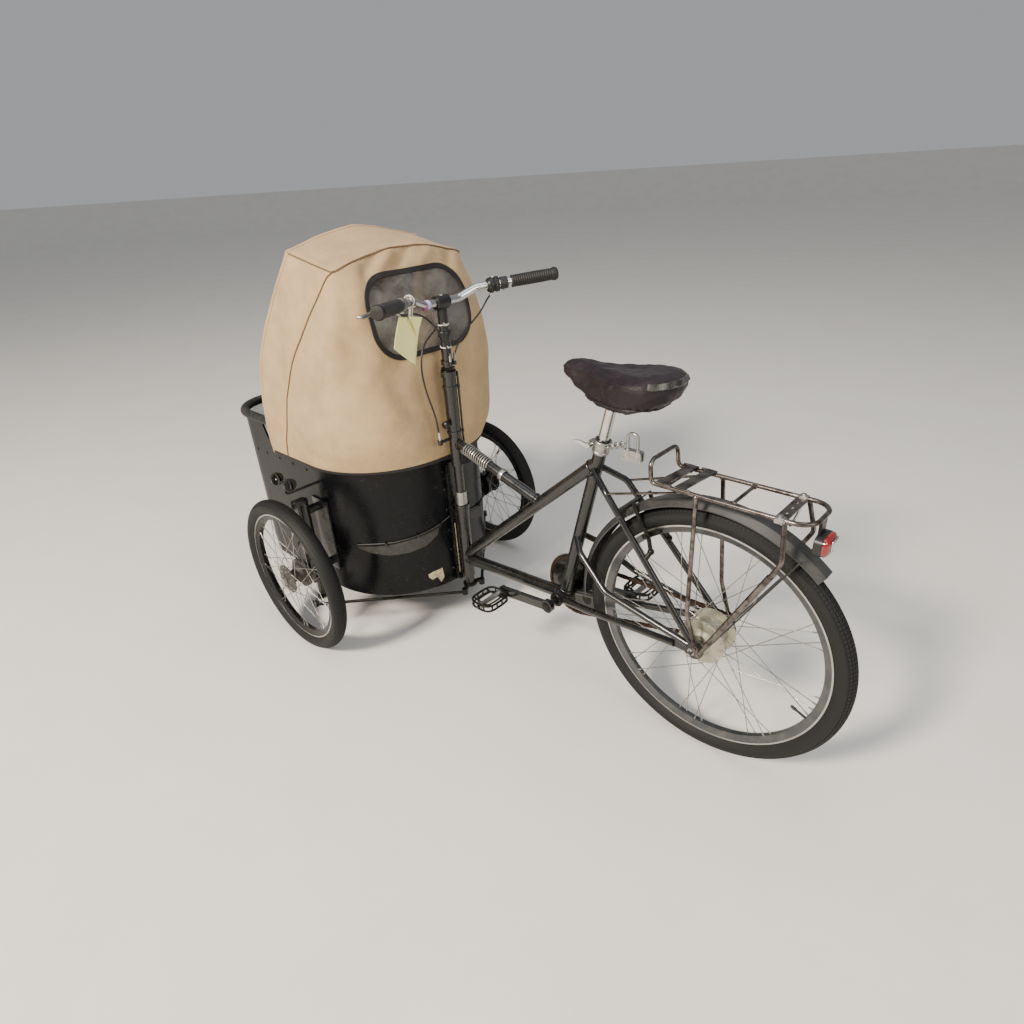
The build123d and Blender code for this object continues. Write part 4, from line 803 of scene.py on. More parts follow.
@dataclass(frozen=True)
class Film(Finish):
    """A clear flexible sheet that has gone slightly cloudy and wrinkled.

    Attributes:
        wrinkle_mm: spacing of the wrinkles.
        wrinkle_depth_mm: their height.
        clear: share of the light that passes.
    """

    wrinkle_mm: float = 45.0
    wrinkle_depth_mm: float = 5.0
    clear: float = 0.92

    def relief(self, tree: Tree, place: Socket) -> Socket:
        """Buckle the sheet in long soft wrinkles.

        Args:
            tree: node tree of the material.
            place: coordinates to draw at.

        Returns:
            Height of the surface.
        """
        laid = add_node(
            tree, "ShaderNodeMapping", {"Vector": place, "Rotation": (0.4, 0.0, 0.0), "Scale": (1.0, 1.0, 2.6)})
        waves = add_node(
            tree, "ShaderNodeTexNoise", {"Vector": laid.outputs[0], "Scale": 1000 / self.wrinkle_mm, "Detail": 2.0,
            "Distortion": 1.2})
        return add_node(
            tree, "ShaderNodeBump", {"Height": waves.outputs["Fac"], "Strength": 1.0,
            "Distance": self.wrinkle_depth_mm / 1000}).outputs[0]

    def shader(self, tree: Tree, place: Socket, colour: Socket, rough: Socket) -> Socket:
        """Let light through, and keep the sheet's shine.

        Args:
            tree: node tree of the material.
            place: coordinates to draw at.
            colour: colour so far.
            rough: roughness so far.

        Returns:
            The shader's output.
        """
        return add_node(tree, "ShaderNodeBsdfPrincipled", {
            "Base Color": colour, "Roughness": rough, "Normal": self.relief(tree, place),
            "Transmission Weight": self.clear, "IOR": 1.35, "Coat Weight": 0.8, "Coat Roughness": 0.08}).outputs[0]


@dataclass(frozen=True)
class Tread(Finish):
    """Vulcanised tyre rubber, seen through the UV map that wraps the wheel: rings on its walls and dust in its grain.

    Attributes:
        ring_mm: spacing of the fine rings on the sidewalls.
        ring_depth_mm: their depth.
    """

    ring_mm: float = 2.6
    ring_depth_mm: float = 0.35

    def place(self, tree: Tree) -> Socket:
        """Follow the UV map that wraps the wheel."""
        return add_node(tree, "ShaderNodeTexCoord").outputs["UV"]

    def relief(self, tree: Tree, place: Socket) -> Socket:
        """Cut the rings of the mould round the walls, over the rubber's grain.

        Args:
            tree: node tree of the material.
            place: coordinates to draw at.

        Returns:
            Height of the surface.
        """
        grain = super().relief(tree, place)
        rings = add_node(
            tree, "ShaderNodeTexWave", {"Vector": place, "Scale": 1000 / self.ring_mm / TURN, "Distortion": 0.1,
            "Detail": 0.0}, bands_direction="Y")
        return add_node(
            tree, "ShaderNodeBump", {"Height": rings.outputs["Fac"], "Strength": 0.6,
            "Distance": self.ring_depth_mm / 1000, "Normal": grain}).outputs[0]


@dataclass(frozen=True)
class Ribbed(Finish):
    """Bare metal or plastic with fine rings left by turning or brushing along one direction.

    Attributes:
        stretch: how the brushed lines run, as scales along X, Y and Z.
        line_depth_mm: depth of the lines.
    """

    stretch: Spot = (900.0, 40.0, 900.0)
    line_depth_mm: float = 0.05

    def relief(self, tree: Tree, place: Socket) -> Socket:
        """Draw the fine parallel lines.

        Args:
            tree: node tree of the material.
            place: coordinates to draw at.

        Returns:
            Height of the surface.
        """
        laid = add_node(tree, "ShaderNodeMapping", {"Vector": place, "Scale": self.stretch})
        lines = add_node(tree, "ShaderNodeTexNoise", {"Vector": laid.outputs[0], "Scale": 1.0, "Detail": 3.0})
        return add_node(
            tree, "ShaderNodeBump", {"Height": lines.outputs["Fac"], "Strength": 1.0,
            "Distance": self.line_depth_mm / 1000}).outputs[0]


# Enamelled steel tube: baked gloss enamel, now dull with road dust, finely scratched, a few rust chips
ENAMEL = Finish("worn_black_enamel", "black_paint", "#0B0C0D", "#161616", roughness=0.26, patch_mm=45, dust=0.12,
                dust_colour="#5F5A52", scratches=0.14, chips=0.02, chip_mm=6, coat=0.3, grain_depth_mm=0.02)
# Black laminated sheet, rolled smooth: near a mirror where clean, with scuffs, hairlines and grey dust low down
PANEL = Finish("scuffed_gloss_sheet", "panel", "#06070A", "#0B0C10", roughness=0.3, patch_mm=170, rough_spread=0.14,
               dust=0.04, scratches=0.16, scratch_colour="#55565A", grain_mm=3, grain_depth_mm=0.01, specular=0.2)
# The rim tubes carry a foam and rubber sleeve: matt, soft, greyed on top by weather
SLEEVE = Finish("weathered_rubber_sleeve", "rubber_sleeve", "#101011", "#1D1D1C", roughness=0.6, patch_mm=30, dust=0.3,
                grain_mm=1.4, grain_depth_mm=0.09)
# Cotton canvas, dyed tan and proofed: matt weave with slubs, paler where the sun bleached it, grime low down
CANVAS = Woven("tan_proofed_canvas", "canvas", "#BB9F77", "#A88D68", roughness=0.9, patch_mm=70, patch_share=0.55,
               dust=0.55, dust_colour="#9C9182", sheen=0.05, grime="#8C7454", specular=0.2)
# The hood's inside is proofed and paler, with the same weave
LINING = Woven("pale_proofed_lining", "canvas", "#B59A78", "#A68B69", roughness=0.9, patch_mm=120, grime="#8A7355")
# Folded cotton tape sewn round raw edges: dark brown-black, tight weave, slightly shiny from wear
TAPE = Woven("black_binding_tape", "canvas", "#110E0D", "#1C1816", roughness=0.6, patch_mm=25, thread_mm=1.2,
             slub=0.2, grime="#2B241F")
# Felled seam: the canvas folded double and sewn flat; its dark brown is painted shade along the fold and stitching
SEAM_PAINTED_SHADE = Woven("felled_canvas_seam", "canvas", "#6F5A42", "#584633", roughness=0.88, patch_mm=18, patch_share=0.6,
             thread_mm=1.4, grime="#4E3F2F", specular=0.2)
# Clear vinyl film with long soft wrinkles; its grey tint is a painted reflection and its dark brown patches are painted
# shade of the canvas seen through it
VINYL_PAINTED_REFLECTION = Film("clear_vinyl_film", "clear_sheet", "#A5A39D", "#4E4035", roughness=0.14, patch_mm=130, patch_share=1.0,
             rough_spread=0.14, clear=0.74)
# Clear polycarbonate front panel: stiff and flat, finely scratched
POLYCARBONATE = Film("clear_polycarbonate", "clear_sheet", "#C9CCCC", "#B5B9B8", roughness=0.08, wrinkle_mm=400,
                     wrinkle_depth_mm=0.6, clear=0.85, scratches=0.2, scratch_colour="#D5D5D2")
# Tyre rubber: carbon black, greyed by dust held between the knobs
TYRE = Tread("dusty_tyre_rubber", "tyre", "#0D0E0F", "#191A1A", roughness=0.66, patch_mm=70, patch_share=0.7,
             dust=0.07, grain_mm=1.2, grain_depth_mm=0.1, specular=0.35)
# Rear rim: extruded alloy, dull grey from oxide, with the brake track rubbed brighter
RIM_ALLOY = Ribbed("oxidised_rim_alloy", "alloy", "#5A5C5E", "#7B7A76", roughness=0.36, metallic=0.95, patch_mm=30,
                   dust=0.12, stretch=(60.0, 1400.0, 60.0))
# Front rims: the same extrusion anodised black, its lip machined bright
RIM_BLACK = Finish("black_anodised_rim", "alloy", "#0F0F10", "#1B1A1A", roughness=0.3, metallic=0.5, patch_mm=25,
                   dust=0.1, scratches=0.2)
BRIGHT_LIP = Ribbed("machined_rim_lip", "alloy", "#B9B9B6", "#93928E", roughness=0.3, metallic=1.0, dust=0.1,
                    stretch=(70.0, 1500.0, 70.0))
# Stainless spoke wire, cold drawn: bright hairlines, dulled in spots
SPOKE = Finish("drawn_spoke_wire", "spoke", "#A9A8A4", "#7C7973", roughness=0.34, metallic=1.0, patch_mm=22,
               patch_share=0.8, dust=0.15)
# Hub shells: die-cast alloy, turned on the outside, grey with oil and dust in the steps
HUB_ALLOY = Ribbed("cast_hub_alloy", "alloy", "#B8B4A2", "#8F8A7C", roughness=0.42, metallic=0.8, patch_mm=18,
                   patch_share=0.5, dust=0.08, stretch=(300.0, 1200.0, 300.0))
# Drum and backplate: sand-cast and painted grey, matt with brake dust
DRUM_GREY = Finish("cast_drum_grey", "alloy", "#4F4E4A", "#32302C", roughness=0.5, metallic=0.7, patch_mm=15,
                   dust=0.2, grain_mm=1.6, grain_depth_mm=0.12)
# Bright bar alloy: drawn and polished tube, a near mirror with faint lines along it
BAR_ALLOY = Finish("polished_bar_alloy", "alloy", "#C9C9C8", "#A7A6A3", roughness=0.16, metallic=1.0, patch_mm=40,
                   scratches=0.15, rough_spread=0.12)
# Lever blades: cast alloy, tumbled to a soft satin
LEVER_ALLOY = Finish("satin_lever_alloy", "alloy", "#8C8B89", "#6B6966", roughness=0.36, metallic=0.9, patch_mm=25,
                     dust=0.15)
# Zinc-plated bolts, nuts and sleeves: dull blue-grey, spotted with rust
ZINC = Finish("zinc_plated_steel", "steel", "#A5A5A1", "#7B776F", roughness=0.34, metallic=0.95, patch_mm=9, dust=0.08,
              chips=0.25, chip_mm=5, chip_colour="#6B4428")
# Dark steel fittings: black oxide with oil and dust on it
DARK_STEEL = Finish("oiled_dark_steel", "steel", "#1F1F1E", "#2F2C28", roughness=0.38, metallic=0.8, patch_mm=12,
                    dust=0.18, chips=0.15, chip_mm=6)
# Rack tube: chrome plate over steel, pitted and browned by rust, bright only on top
RUSTY_CHROME = Finish("rusty_chrome_tube", "rusty_chrome", "#77706A", "#2E2825", roughness=0.26, metallic=0.95,
                      patch_mm=24, patch_share=0.95, dust=0.06, chips=0.34, chip_mm=6, chip_colour="#2E2019")
# Injection-moulded black plastic: fine spark-eroded grain, greyed by handling
PLASTIC = Finish("moulded_black_plastic", "black_plastic", "#0D0D0E", "#171717", roughness=0.38, patch_mm=30, dust=0.12,
                 grain_mm=0.8, grain_depth_mm=0.05)
# Grips: soft rubber, matt where clean and polished on the crests
GRIP = Finish("soft_grip_rubber", "black_plastic", "#0E0E0E", "#181717", roughness=0.5, patch_mm=14, dust=0.1,
              grain_mm=1.1, grain_depth_mm=0.1)
# Mudguard: extruded plastic strip, faded by the sun to a chalky grey
GUARD = Finish("faded_mudguard_plastic", "mudguard", "#2A2B2C", "#3D3D3C", roughness=0.42, patch_mm=60, dust=0.2,
               scratches=0.3, scratch_colour="#706E6B")
# Saddle cover: thin coated polyester, dark aubergine with a soft sheen, dusty in its folds
COVER = Woven("aubergine_cover_cloth", "saddle_cover", "#130B12", "#1E141B", roughness=0.5, patch_mm=28,
              patch_share=0.6, thread_mm=1.2, weave_depth_mm=0.08, slub=0.12, grime="#231C1F", sheen=0.03, specular=0.3)
# The saddle's own skin where the cover has slipped: smooth grey-black vinyl
SADDLE_VINYL = Finish("saddle_vinyl", "saddle_cover", "#1D1D1F", "#6A6965", roughness=0.22, patch_mm=20, dust=0.3,
                      grain_mm=1.5, grain_depth_mm=0.1)
# Rear lens: red transparent acrylic with moulded prisms, glossy
LENS = Finish("red_acrylic_lens", "red_lens", "#7E0709", "#4F0406", roughness=0.1, patch_mm=14, coat=0.8,
              grain_mm=3.0, grain_depth_mm=0.35)
# Reflector and lamp glass: clear acrylic over a bright dish
CLEAR_LENS = Finish("clear_acrylic_reflector", "red_lens", "#B9BBBA", "#8B8C8B", roughness=0.15, metallic=0.6,
                    patch_mm=8, coat=0.5, grain_mm=3.5, grain_depth_mm=0.4)
# Roller chain: pressed steel plates, black with old oil and brown with rust
CHAIN = Finish("oily_rusty_chain", "chain", "#3C3026", "#594636", roughness=0.5, metallic=0.75, patch_mm=9,
               patch_share=0.8, dust=0.2, chips=0.5, chip_mm=4, chip_colour="#6A3F22")
# Bench: birch plywood under clear varnish, worn pale on the seat
PLYWOOD = Ribbed("varnished_birch_ply", "wood", "#9A7A54", "#7C5F40", roughness=0.42, patch_mm=90, dust=0.3,
                 stretch=(14.0, 260.0, 260.0), line_depth_mm=0.12)
# Folded card tag: uncoated pale yellow paper
CARD = Finish("pale_yellow_card", "black_plastic", "#EFE9A0", "#E6DE92", roughness=0.8, patch_mm=25, patch_share=0.4,
              grain_mm=1.5, grain_depth_mm=0.05)
# Braided cotton string, undyed
STRING = Finish("white_cotton_string", "black_plastic", "#D8D5CC", "#B9B4A8", roughness=0.85, patch_mm=4,
                grain_mm=0.9, grain_depth_mm=0.2)
# A grey matt band under each clipped line: painted reflection of the bright floor in the glossy panel
PAINTED_REFLECTION = Finish("scuffed_bare_band", "panel", "#1F1F1E", "#33322F", roughness=0.55, patch_mm=12, patch_share=0.9,
              dust=0.25)
# Bare cream filler and paper backing, where the black surface has been chipped or torn away
PALE_EDGE = Finish("chipped_cream_edge", "black_paint", "#B9AE8C", "#6F6752", roughness=0.6, patch_mm=9,
                   patch_share=0.9, chips=0.3, chip_mm=5, chip_colour="#2A2824")
# Two turns of coloured plastic tape round the bar
PINK_TAPE = Finish("magenta_tape", "black_plastic", "#B03A93", "#8A2C74", roughness=0.4, patch_mm=5)
BLUE_TAPE = Finish("pale_blue_tape", "black_plastic", "#A9B9DA", "#8798C4", roughness=0.4, patch_mm=5)
# Cable housing: extruded black plastic over a steel wind, softly shiny
CABLE = Finish("cable_housing", "black_plastic", "#131314", "#1E1D1D", roughness=0.4, patch_mm=12, dust=0.2,
               grain_mm=1.0, grain_depth_mm=0.03)
# Brushed concrete floor, very pale
FLOOR = Finish("pale_studio_floor", "black_paint", "#E2DFD9", "#DAD6CF", roughness=0.8, patch_mm=400, patch_share=0.5,
               grain_mm=6, grain_depth_mm=0.15)


def dress(piece: Piece, finish: Finish) -> None:
    """Put one finish all over a piece.

    Args:
        piece: the piece.
        finish: its finish.
    """
    skin = finish.material()
    if piece.material_slots:
        for held in piece.material_slots:
            held.material = skin
    else:
        piece.data.materials.append(skin)


def mount(piece: Piece, body: str, finish: Finish, *stands_for: str) -> Piece:
    """Dress a new piece, put it on its body and hide the CAD nodes that it stands for.

    Args:
        piece: the new piece.
        body: body that it rides on.
        finish: what its surface is.
        stands_for: CAD nodes that it replaces.

    Returns:
        The piece.
    """
    dress(piece, finish)
    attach(piece, body)
    if stands_for:
        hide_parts(*stands_for)
    return piece


def dress_nodes(finishes: dict[str, Finish]) -> None:
    """Give carried-over CAD nodes their finishes, by node name.

    Args:
        finishes: finish of each node, by name.
    """
    for node, finish in finishes.items():
        if node in frame["nodes"]:
            dress(frame["nodes"][node], finish)


# Studio


@dataclass
class Studio:
    """Pale floor, soft light and a camera that stands where the photograph was taken.

    Attributes:
        lens_px: focal length in pixels of a picture 1024 wide.
        stand: the camera's place, measured from the rear axle.
        heading_deg: where it looks, turned from straight ahead.
        tilt_deg: how far it looks down.
        roll_deg: how far it leans.
        picture_px: side of the final picture in pixels.
        sensor_mm: width of the camera's sensor.
        floor_m: radius of the floor.
    """

    lens_px: float = 650.6
    stand: Spot = (-0.5298, 1.1698, 1.312)
    heading_deg: float = -45.647
    tilt_deg: float = -27.464
    roll_deg: float = -3.679
    picture_px: int = 1024
    sensor_mm: float = 36.0
    floor_m: float = 26.0

    def camera(self) -> None:
        """Stand the camera and make it the scene's own."""
        heading, tilt, roll = (math.radians(a) for a in (self.heading_deg, self.tilt_deg, self.roll_deg))
        look = Vector((math.cos(tilt) * math.cos(heading), math.cos(tilt) * math.sin(heading), math.sin(tilt)))
        level = look.cross(Vector((0, 0, 1))).normalized()
        upright = level.cross(look)
        right = level * math.cos(roll) + upright * math.sin(roll)
        up = upright * math.cos(roll) - level * math.sin(roll)
        turn = Matrix((right, up, -look)).transposed().to_4x4()
        data = bpy.data.cameras.new("studio_camera")
        data.sensor_width = self.sensor_mm
        data.lens = self.lens_px / self.picture_px * self.sensor_mm
        data.clip_end = 200
        camera = bpy.data.objects.new("studio_camera", data)
        camera.matrix_world = Matrix.Translation(at(*self.stand)) @ turn
        bpy.context.collection.objects.link(camera)
        bpy.context.scene.camera = camera

    def lamp(self, name: str, place: Spot, goal: Spot, size: float, power: float, tint: str) -> None:
        """Hang one soft square light that faces a goal.

        Args:
            name: name of the light.
            place: where it hangs.
            goal: point that it faces.
            size: length of its side.
            power: its power in watts.
            tint: its colour.
        """
        data = bpy.data.lights.new(name, "AREA")
        data.shape = "SQUARE"
        data.size = size
        data.energy = power
        data.color = linear(tint)[:3]
        lamp = bpy.data.objects.new(name, data)
        lamp.location = place
        lamp.rotation_euler = (Vector(goal) - Vector(place)).to_track_quat("-Z", "Y").to_euler()
        bpy.context.collection.objects.link(lamp)

    def light(self) -> None:
        """Hang the key light at the rider's left and fills overhead and behind, and light the air evenly."""
        self.lamp("key_light", (0.2, 5.0, 4.3), (0.0, 0.0, 0.5), 1.1, 760, "#FFF4E4")
        self.lamp("top_fill", (-0.8, -0.2, 5.2), (0.0, 0.0, 0.4), 4.0, 90, "#F2F6FF")
        self.lamp("back_fill", (-4.6, 0.6, 2.4), (0.0, 0.0, 0.5), 2.2, 90, "#FFF8F0")
        world = bpy.data.worlds.new("studio_air")
        world.use_nodes = True
        world.node_tree.nodes["Background"].inputs["Color"].default_value = linear("#DDE0E4")
        world.node_tree.nodes["Background"].inputs["Strength"].default_value = 0.5
        bpy.context.scene.world = world

    def floor(self) -> None:
        """Lay the floor, with its rim turned up softly so that no hard edge shows."""
        clear_selection()
        bpy.ops.mesh.primitive_circle_add(vertices=96, radius=self.floor_m, fill_type="NGON", location=(0, 0, 0))
        bpy.ops.object.mode_set(mode="EDIT")
        bpy.ops.mesh.select_all(action="SELECT")
        bpy.ops.mesh.inset(thickness=3.0)
        bpy.ops.object.mode_set(mode="OBJECT")
        floor = settle("studio_floor")
        for corner in floor.data.vertices:
            if corner.co.length > self.floor_m - 0.5:
                corner.co.z = 1.2
        dress(floor, FLOOR)

    def build(self) -> None:
        """Set up the whole studio."""
        self.camera()
        self.light()
        self.floor()


# Hood


@dataclass(frozen=True)
class HoodLevel:
    """One level section of the hood: a flat back between two round corners, and straight sides.

    Attributes:
        share: how far up the hood it is, from 0 at the hem to 1 at the rear arch.
        z: height above the ground.
        back: where the flat back stands.
        half: half the width.
        corner: radius of the round corners.
        front: where the sides end.
    """

    share: float
    z: float
    back: float
    half: float
    corner: float
    front: float


@dataclass(frozen=True)
class Fold:
    """A soft crease or swelling in the cloth, laid along a line.

    Attributes:
        start: (length round the hood from its middle, height) where it begins.
        end: the same where it ends.
        width: half its width.
        rise: how far it stands out, or in where negative.
    """

    start: tuple[float, float]
    end: tuple[float, float]
    width: float
    rise: float


def strip(name: str, spots: Sequence[Vector], outs: Sequence[Vector], width: float, thick: float,
          closed: bool = False) -> Piece:
    """Sew a flat tape along a line on the cloth.

    Args:
        name: name of the piece.
        spots: middle of the tape at each step.
        outs: the way out of the cloth at each step.
        width: width of the tape.
        thick: thickness of the tape.
        closed: the tape's end meets its start.

    Returns:
        The tape, with a UV map in metres.
    """
    section = ((-0.5, 0.0), (-0.42, 0.5), (0.42, 0.5), (0.5, 0.0), (0.42, -0.5), (-0.42, -0.5))
    corners, faces, along, last = [], [], [0.0], len(spots) - 1
    for i, (spot, out) in enumerate(zip(spots, outs)):
        ahead = spots[(i + 1) % len(spots)] if closed or i < last else spot
        behind = spots[i - 1] if closed or i > 0 else spot
        run = (ahead - behind).normalized()
        side = run.cross(out).normalized()
        face_out = side.cross(run).normalized()
        corners += [spot + side * (a * width) + face_out * (b * thick) for a, b in section]
        if i:
            along.append(along[-1] + (spot - spots[i - 1]).length)
    count = len(section)
    steps = len(spots) if closed else last
    for i in range(steps):
        j = (i + 1) % len(spots)
        for k in range(count):
            n = (k + 1) % count
            faces.append((i * count + k, i * count + n, j * count + n, j * count + k))
    if not closed:
        faces.append(tuple(range(count)))
        faces.append(tuple(last * count + k for k in reversed(range(count))))
    flat = [(along[k // count], section[k % count][0] * width) for k in range(len(corners))]
    made = sewn(name, corners, faces, flat)
    face_outwards(made)
    bpy.ops.object.shade_smooth_by_angle(angle=math.radians(50))
    return made


@dataclass
class Hood:
    """The tan canvas hood: one curved sheet, bound at its hem, window and front, with a film window.

    Attributes:
        levels: level sections from the hem to the rear arch.
        arch_rise: how much higher the middle of the rear arch is than its ends.
        ridge_rise: how much higher the middle of the front bow is than its ends.
        cloth: thickness of the canvas.
        cell: size of the mesh's cells.
        half_girth: length of the cloth from the middle of the back to the front edge.
        wall_height: height of the cloth's walls.
        window_half: half the window's width.
        window_z: lowest and highest edge of the window.
        window_corner: radius of the window's corners.
        binding_width: width of the tape round the window.
        hem_width: width of the tape along the hem.
        flat_size: width and height of the cloth before it is cut and sewn; not used.
        flat_area: area of the cloth that is left; not used.
        film_size: width and height of the window's film; not used.
        film_area: area of the film; not used.
        folds: creases and swellings of the worn cloth.
    """

    levels: tuple[HoodLevel, ...] = (
        HoodLevel(0.0, 0.574, 0.8545, 0.3015, 0.285, 1.346), HoodLevel(0.16, 0.65, 0.8625, 0.3015, 0.2, 1.352),
        HoodLevel(0.375, 0.77, 0.8765, 0.2895, 0.15, 1.357), HoodLevel(0.572, 0.88, 0.8905, 0.2795, 0.12, 1.32),
        HoodLevel(0.787, 1.0, 0.9155, 0.2575, 0.08, 1.245), HoodLevel(1.0, 1.119, 0.9665, 0.2215, 0.022, 1.165))
    arch_rise: float = 0.042
    ridge_rise: float = 0.044
    cloth: float = 0.0012
    cell: float = 0.0065
    half_girth: float = 0.68
    wall_height: float = 0.6
    window_half: float = 0.168
    window_z: tuple[float, float] = (0.888, 1.097)
    window_corner: float = 0.078
    binding_width: float = 0.015
    hem_width: float = 0.011
    flat_size: tuple[float, float] = (1.4, 0.88)
    flat_area: float = 0.78
    film_size: tuple[float, float] = (0.345, 0.218)
    film_area: float = 0.0718
    folds: tuple[Fold, ...] = tuple(
        Fold(start, end, width, rise) for start, end, width, rise in (((0.2, 1.1), (0.262, 0.86), 0.03, -0.01),
        ((0.262, 0.86), (0.27, 0.72), 0.04, -0.005), ((0.235, 1.11), (0.325, 0.84), 0.02, 0.006),
        ((0.16, 1.135), (0.205, 0.98), 0.018, 0.007), ((0.08, 1.15), (0.15, 1.1), 0.011, -0.006),
        ((0.03, 1.155), (0.105, 1.105), 0.01, 0.0055), ((-0.03, 1.155), (0.05, 1.1), 0.011, -0.0055),
        ((-0.1, 1.145), (-0.03, 1.1), 0.012, 0.005), ((-0.17, 1.13), (-0.14, 1.09), 0.013, -0.005),
        ((-0.205, 1.1), (-0.225, 0.9), 0.022, -0.007), ((-0.235, 0.98), (-0.29, 0.74), 0.03, 0.006),
        ((-0.25, 0.8), (-0.2, 0.64), 0.026, -0.007), ((0.49, 0.66), (0.29, 0.75), 0.016, 0.0045),
        ((0.52, 0.6), (0.33, 0.62), 0.013, -0.005), ((0.5, 0.585), (0.25, 0.585), 0.01, 0.004),
        ((0.1, 0.86), (-0.06, 0.8), 0.03, 0.006), ((-0.02, 0.84), (-0.09, 0.66), 0.028, -0.007),
        ((0.14, 0.8), (0.06, 0.6), 0.04, 0.005), ((0.17, 0.88), (0.1, 0.7), 0.022, -0.005),
        ((0.44, 1.05), (0.52, 0.7), 0.03, 0.0055), ((0.56, 0.98), (0.62, 0.62), 0.022, -0.005),
        ((-0.44, 1.05), (-0.52, 0.7), 0.03, 0.005), ((-0.56, 0.98), (-0.62, 0.62), 0.022, -0.005),
        ((-0.52, 0.6), (-0.33, 0.62), 0.013, -0.005)))

    def level(self, share: float) -> HoodLevel:
        """Blend the level sections smoothly at a share of the height.

        Args:
            share: share of the height, from nought at the hem to one.

        Returns:
            The level there.
        """
        rows = self.levels
        low = max(i for i in range(len(rows) - 1) if rows[i].share <= share or i == 0)
        here, there = rows[low], rows[low + 1]
        step = there.share - here.share
        t = (share - here.share) / step
        values = []
        for key in ("z", "back", "half", "corner", "front"):
            a, b = getattr(here, key), getattr(there, key)
            before, after = rows[max(low - 1, 0)], rows[min(low + 2, len(rows) - 1)]
            slope_a = (b - getattr(before, key)) / (there.share - before.share) * step
            slope_b = (getattr(after, key) - a) / (after.share - here.share) * step
            values.append((2 * t**3 - 3 * t**2 + 1) * a + (t**3 - 2 * t**2 + t) * slope_a
                          + (3 * t**2 - 2 * t**3) * b + (t**3 - t**2) * slope_b)
        return HoodLevel(share, *values)

    def on_level(self, row: HoodLevel, share: float) -> tuple[float, float, float]:
        """Give x, y and the length round from the middle, at a share of a level's half outline.

        Args:
            row: the level section.
            share: share of its length, from the middle of the back to the front edge.

        Returns:
            X, y and the length.
        """
        flat = row.half - row.corner
        arc = row.corner * math.pi / 2
        side = row.front - row.back - row.corner
        length = share * (flat + arc + side)
        if length <= flat:
            return row.back, length, length
        if length <= flat + arc:
            turn = (length - flat) / row.corner
            return row.back + row.corner * (1 - math.cos(turn)), flat + row.corner * math.sin(turn), length
        return row.back + row.corner + length - flat - arc, row.half, length

    def crest(self, x: float, y: float, at_corner: bool) -> float:
        """Give how much the wall's top rises above the arch's ends.

        Args:
            x: place along the tricycle.
            y: place across it.
            at_corner: the place is at the arch's corner or past it.

        Returns:
            The rise.
        """
        top = self.levels[-1]
        if at_corner:
            return self.arch_rise * max(0.0, (x - top.back) / (top.front - top.back))
        return self.arch_rise * (1 - (abs(y) / top.half) ** 2)

    def swell(self, length: float, z: float) -> float:
        """Add up the folds at one place of the cloth.

        Args:
            length: length round from the middle of the back.
            z: height.

        Returns:
            How far the cloth stands out there.
        """
        total = 0.0
        for fold in self.folds:
            ax, az = fold.start
            bx, bz = fold.end
            dx, dz = bx - ax, bz - az
            reach = dx * dx + dz * dz
            t = ((length - ax) * dx + (z - az) * dz) / reach
            held = min(1.0, max(0.0, t))
            off = math.hypot(length - ax - held * dx, z - az - held * dz)
            taper = math.exp(-0.5 * (abs(t - 0.5) / 0.42) ** 4)
            total += fold.rise * taper * math.exp(-0.5 * (off / fold.width) ** 2)
        return total

    def calm(self, length: float, z: float) -> float:
        """Give how free the cloth is: held at the hem, and partly low in the middle of the back.

        Args:
            length: length round from the middle of the back.
            z: height.

        Returns:
            Nought where it is held, one where it is free.
        """
        low = self.levels[0].z
        hem = min(1.0, max(0.0, (z - low) / 0.07))
        middle = 1 - 0.75 * math.exp(-((length / 0.09) ** 2)) * (1 - min(1.0, max(0.0, (z - low - 0.1) / 0.12)))
        return hem * middle

    def corner_at(self, around: int) -> int:
        """Give the number of cells from the middle of the rear arch to its corner.

        Args:
            around: cells from the middle of the back to the front edge.

        Returns:
            The number of cells.
        """
        top = self.levels[-1]
        flat, arc = top.half - top.corner, top.corner * math.pi / 2
        return round((flat + arc / 2) / (flat + arc + top.front - top.back - top.corner) * around)

    def rounded(self, mesh: bpy.types.Mesh, spots: list[Vector]) -> None:
        """Let the cloth turn softly over the arch and the roof's edges, which no frame draws sharp.

        Args:
            mesh: the cloth's mesh.
            spots: its corners.
        """
        beside: list[set[int]] = [set() for _ in spots]
        for edge in mesh.edges:
            a, b = edge.vertices
            beside[a].add(b)
            beside[b].add(a)
        high = self.levels[-1].z - 0.075
        soft = [i for i, spot in enumerate(spots) if spot.z > high and len(beside[i]) > 3]
        places = [spot.copy() for spot in spots]
        for _ in range(14):
            moved = {i: sum((places[j] for j in beside[i]), Vector()) / len(beside[i]) for i in soft}
            for i, spot in moved.items():
                share = min(1.0, (spots[i].z - high) / 0.03)
                places[i] = places[i].lerp(spot, 0.6 * share)
        for corner, place in zip(mesh.vertices, places):
            corner.co = place
        mesh.update()

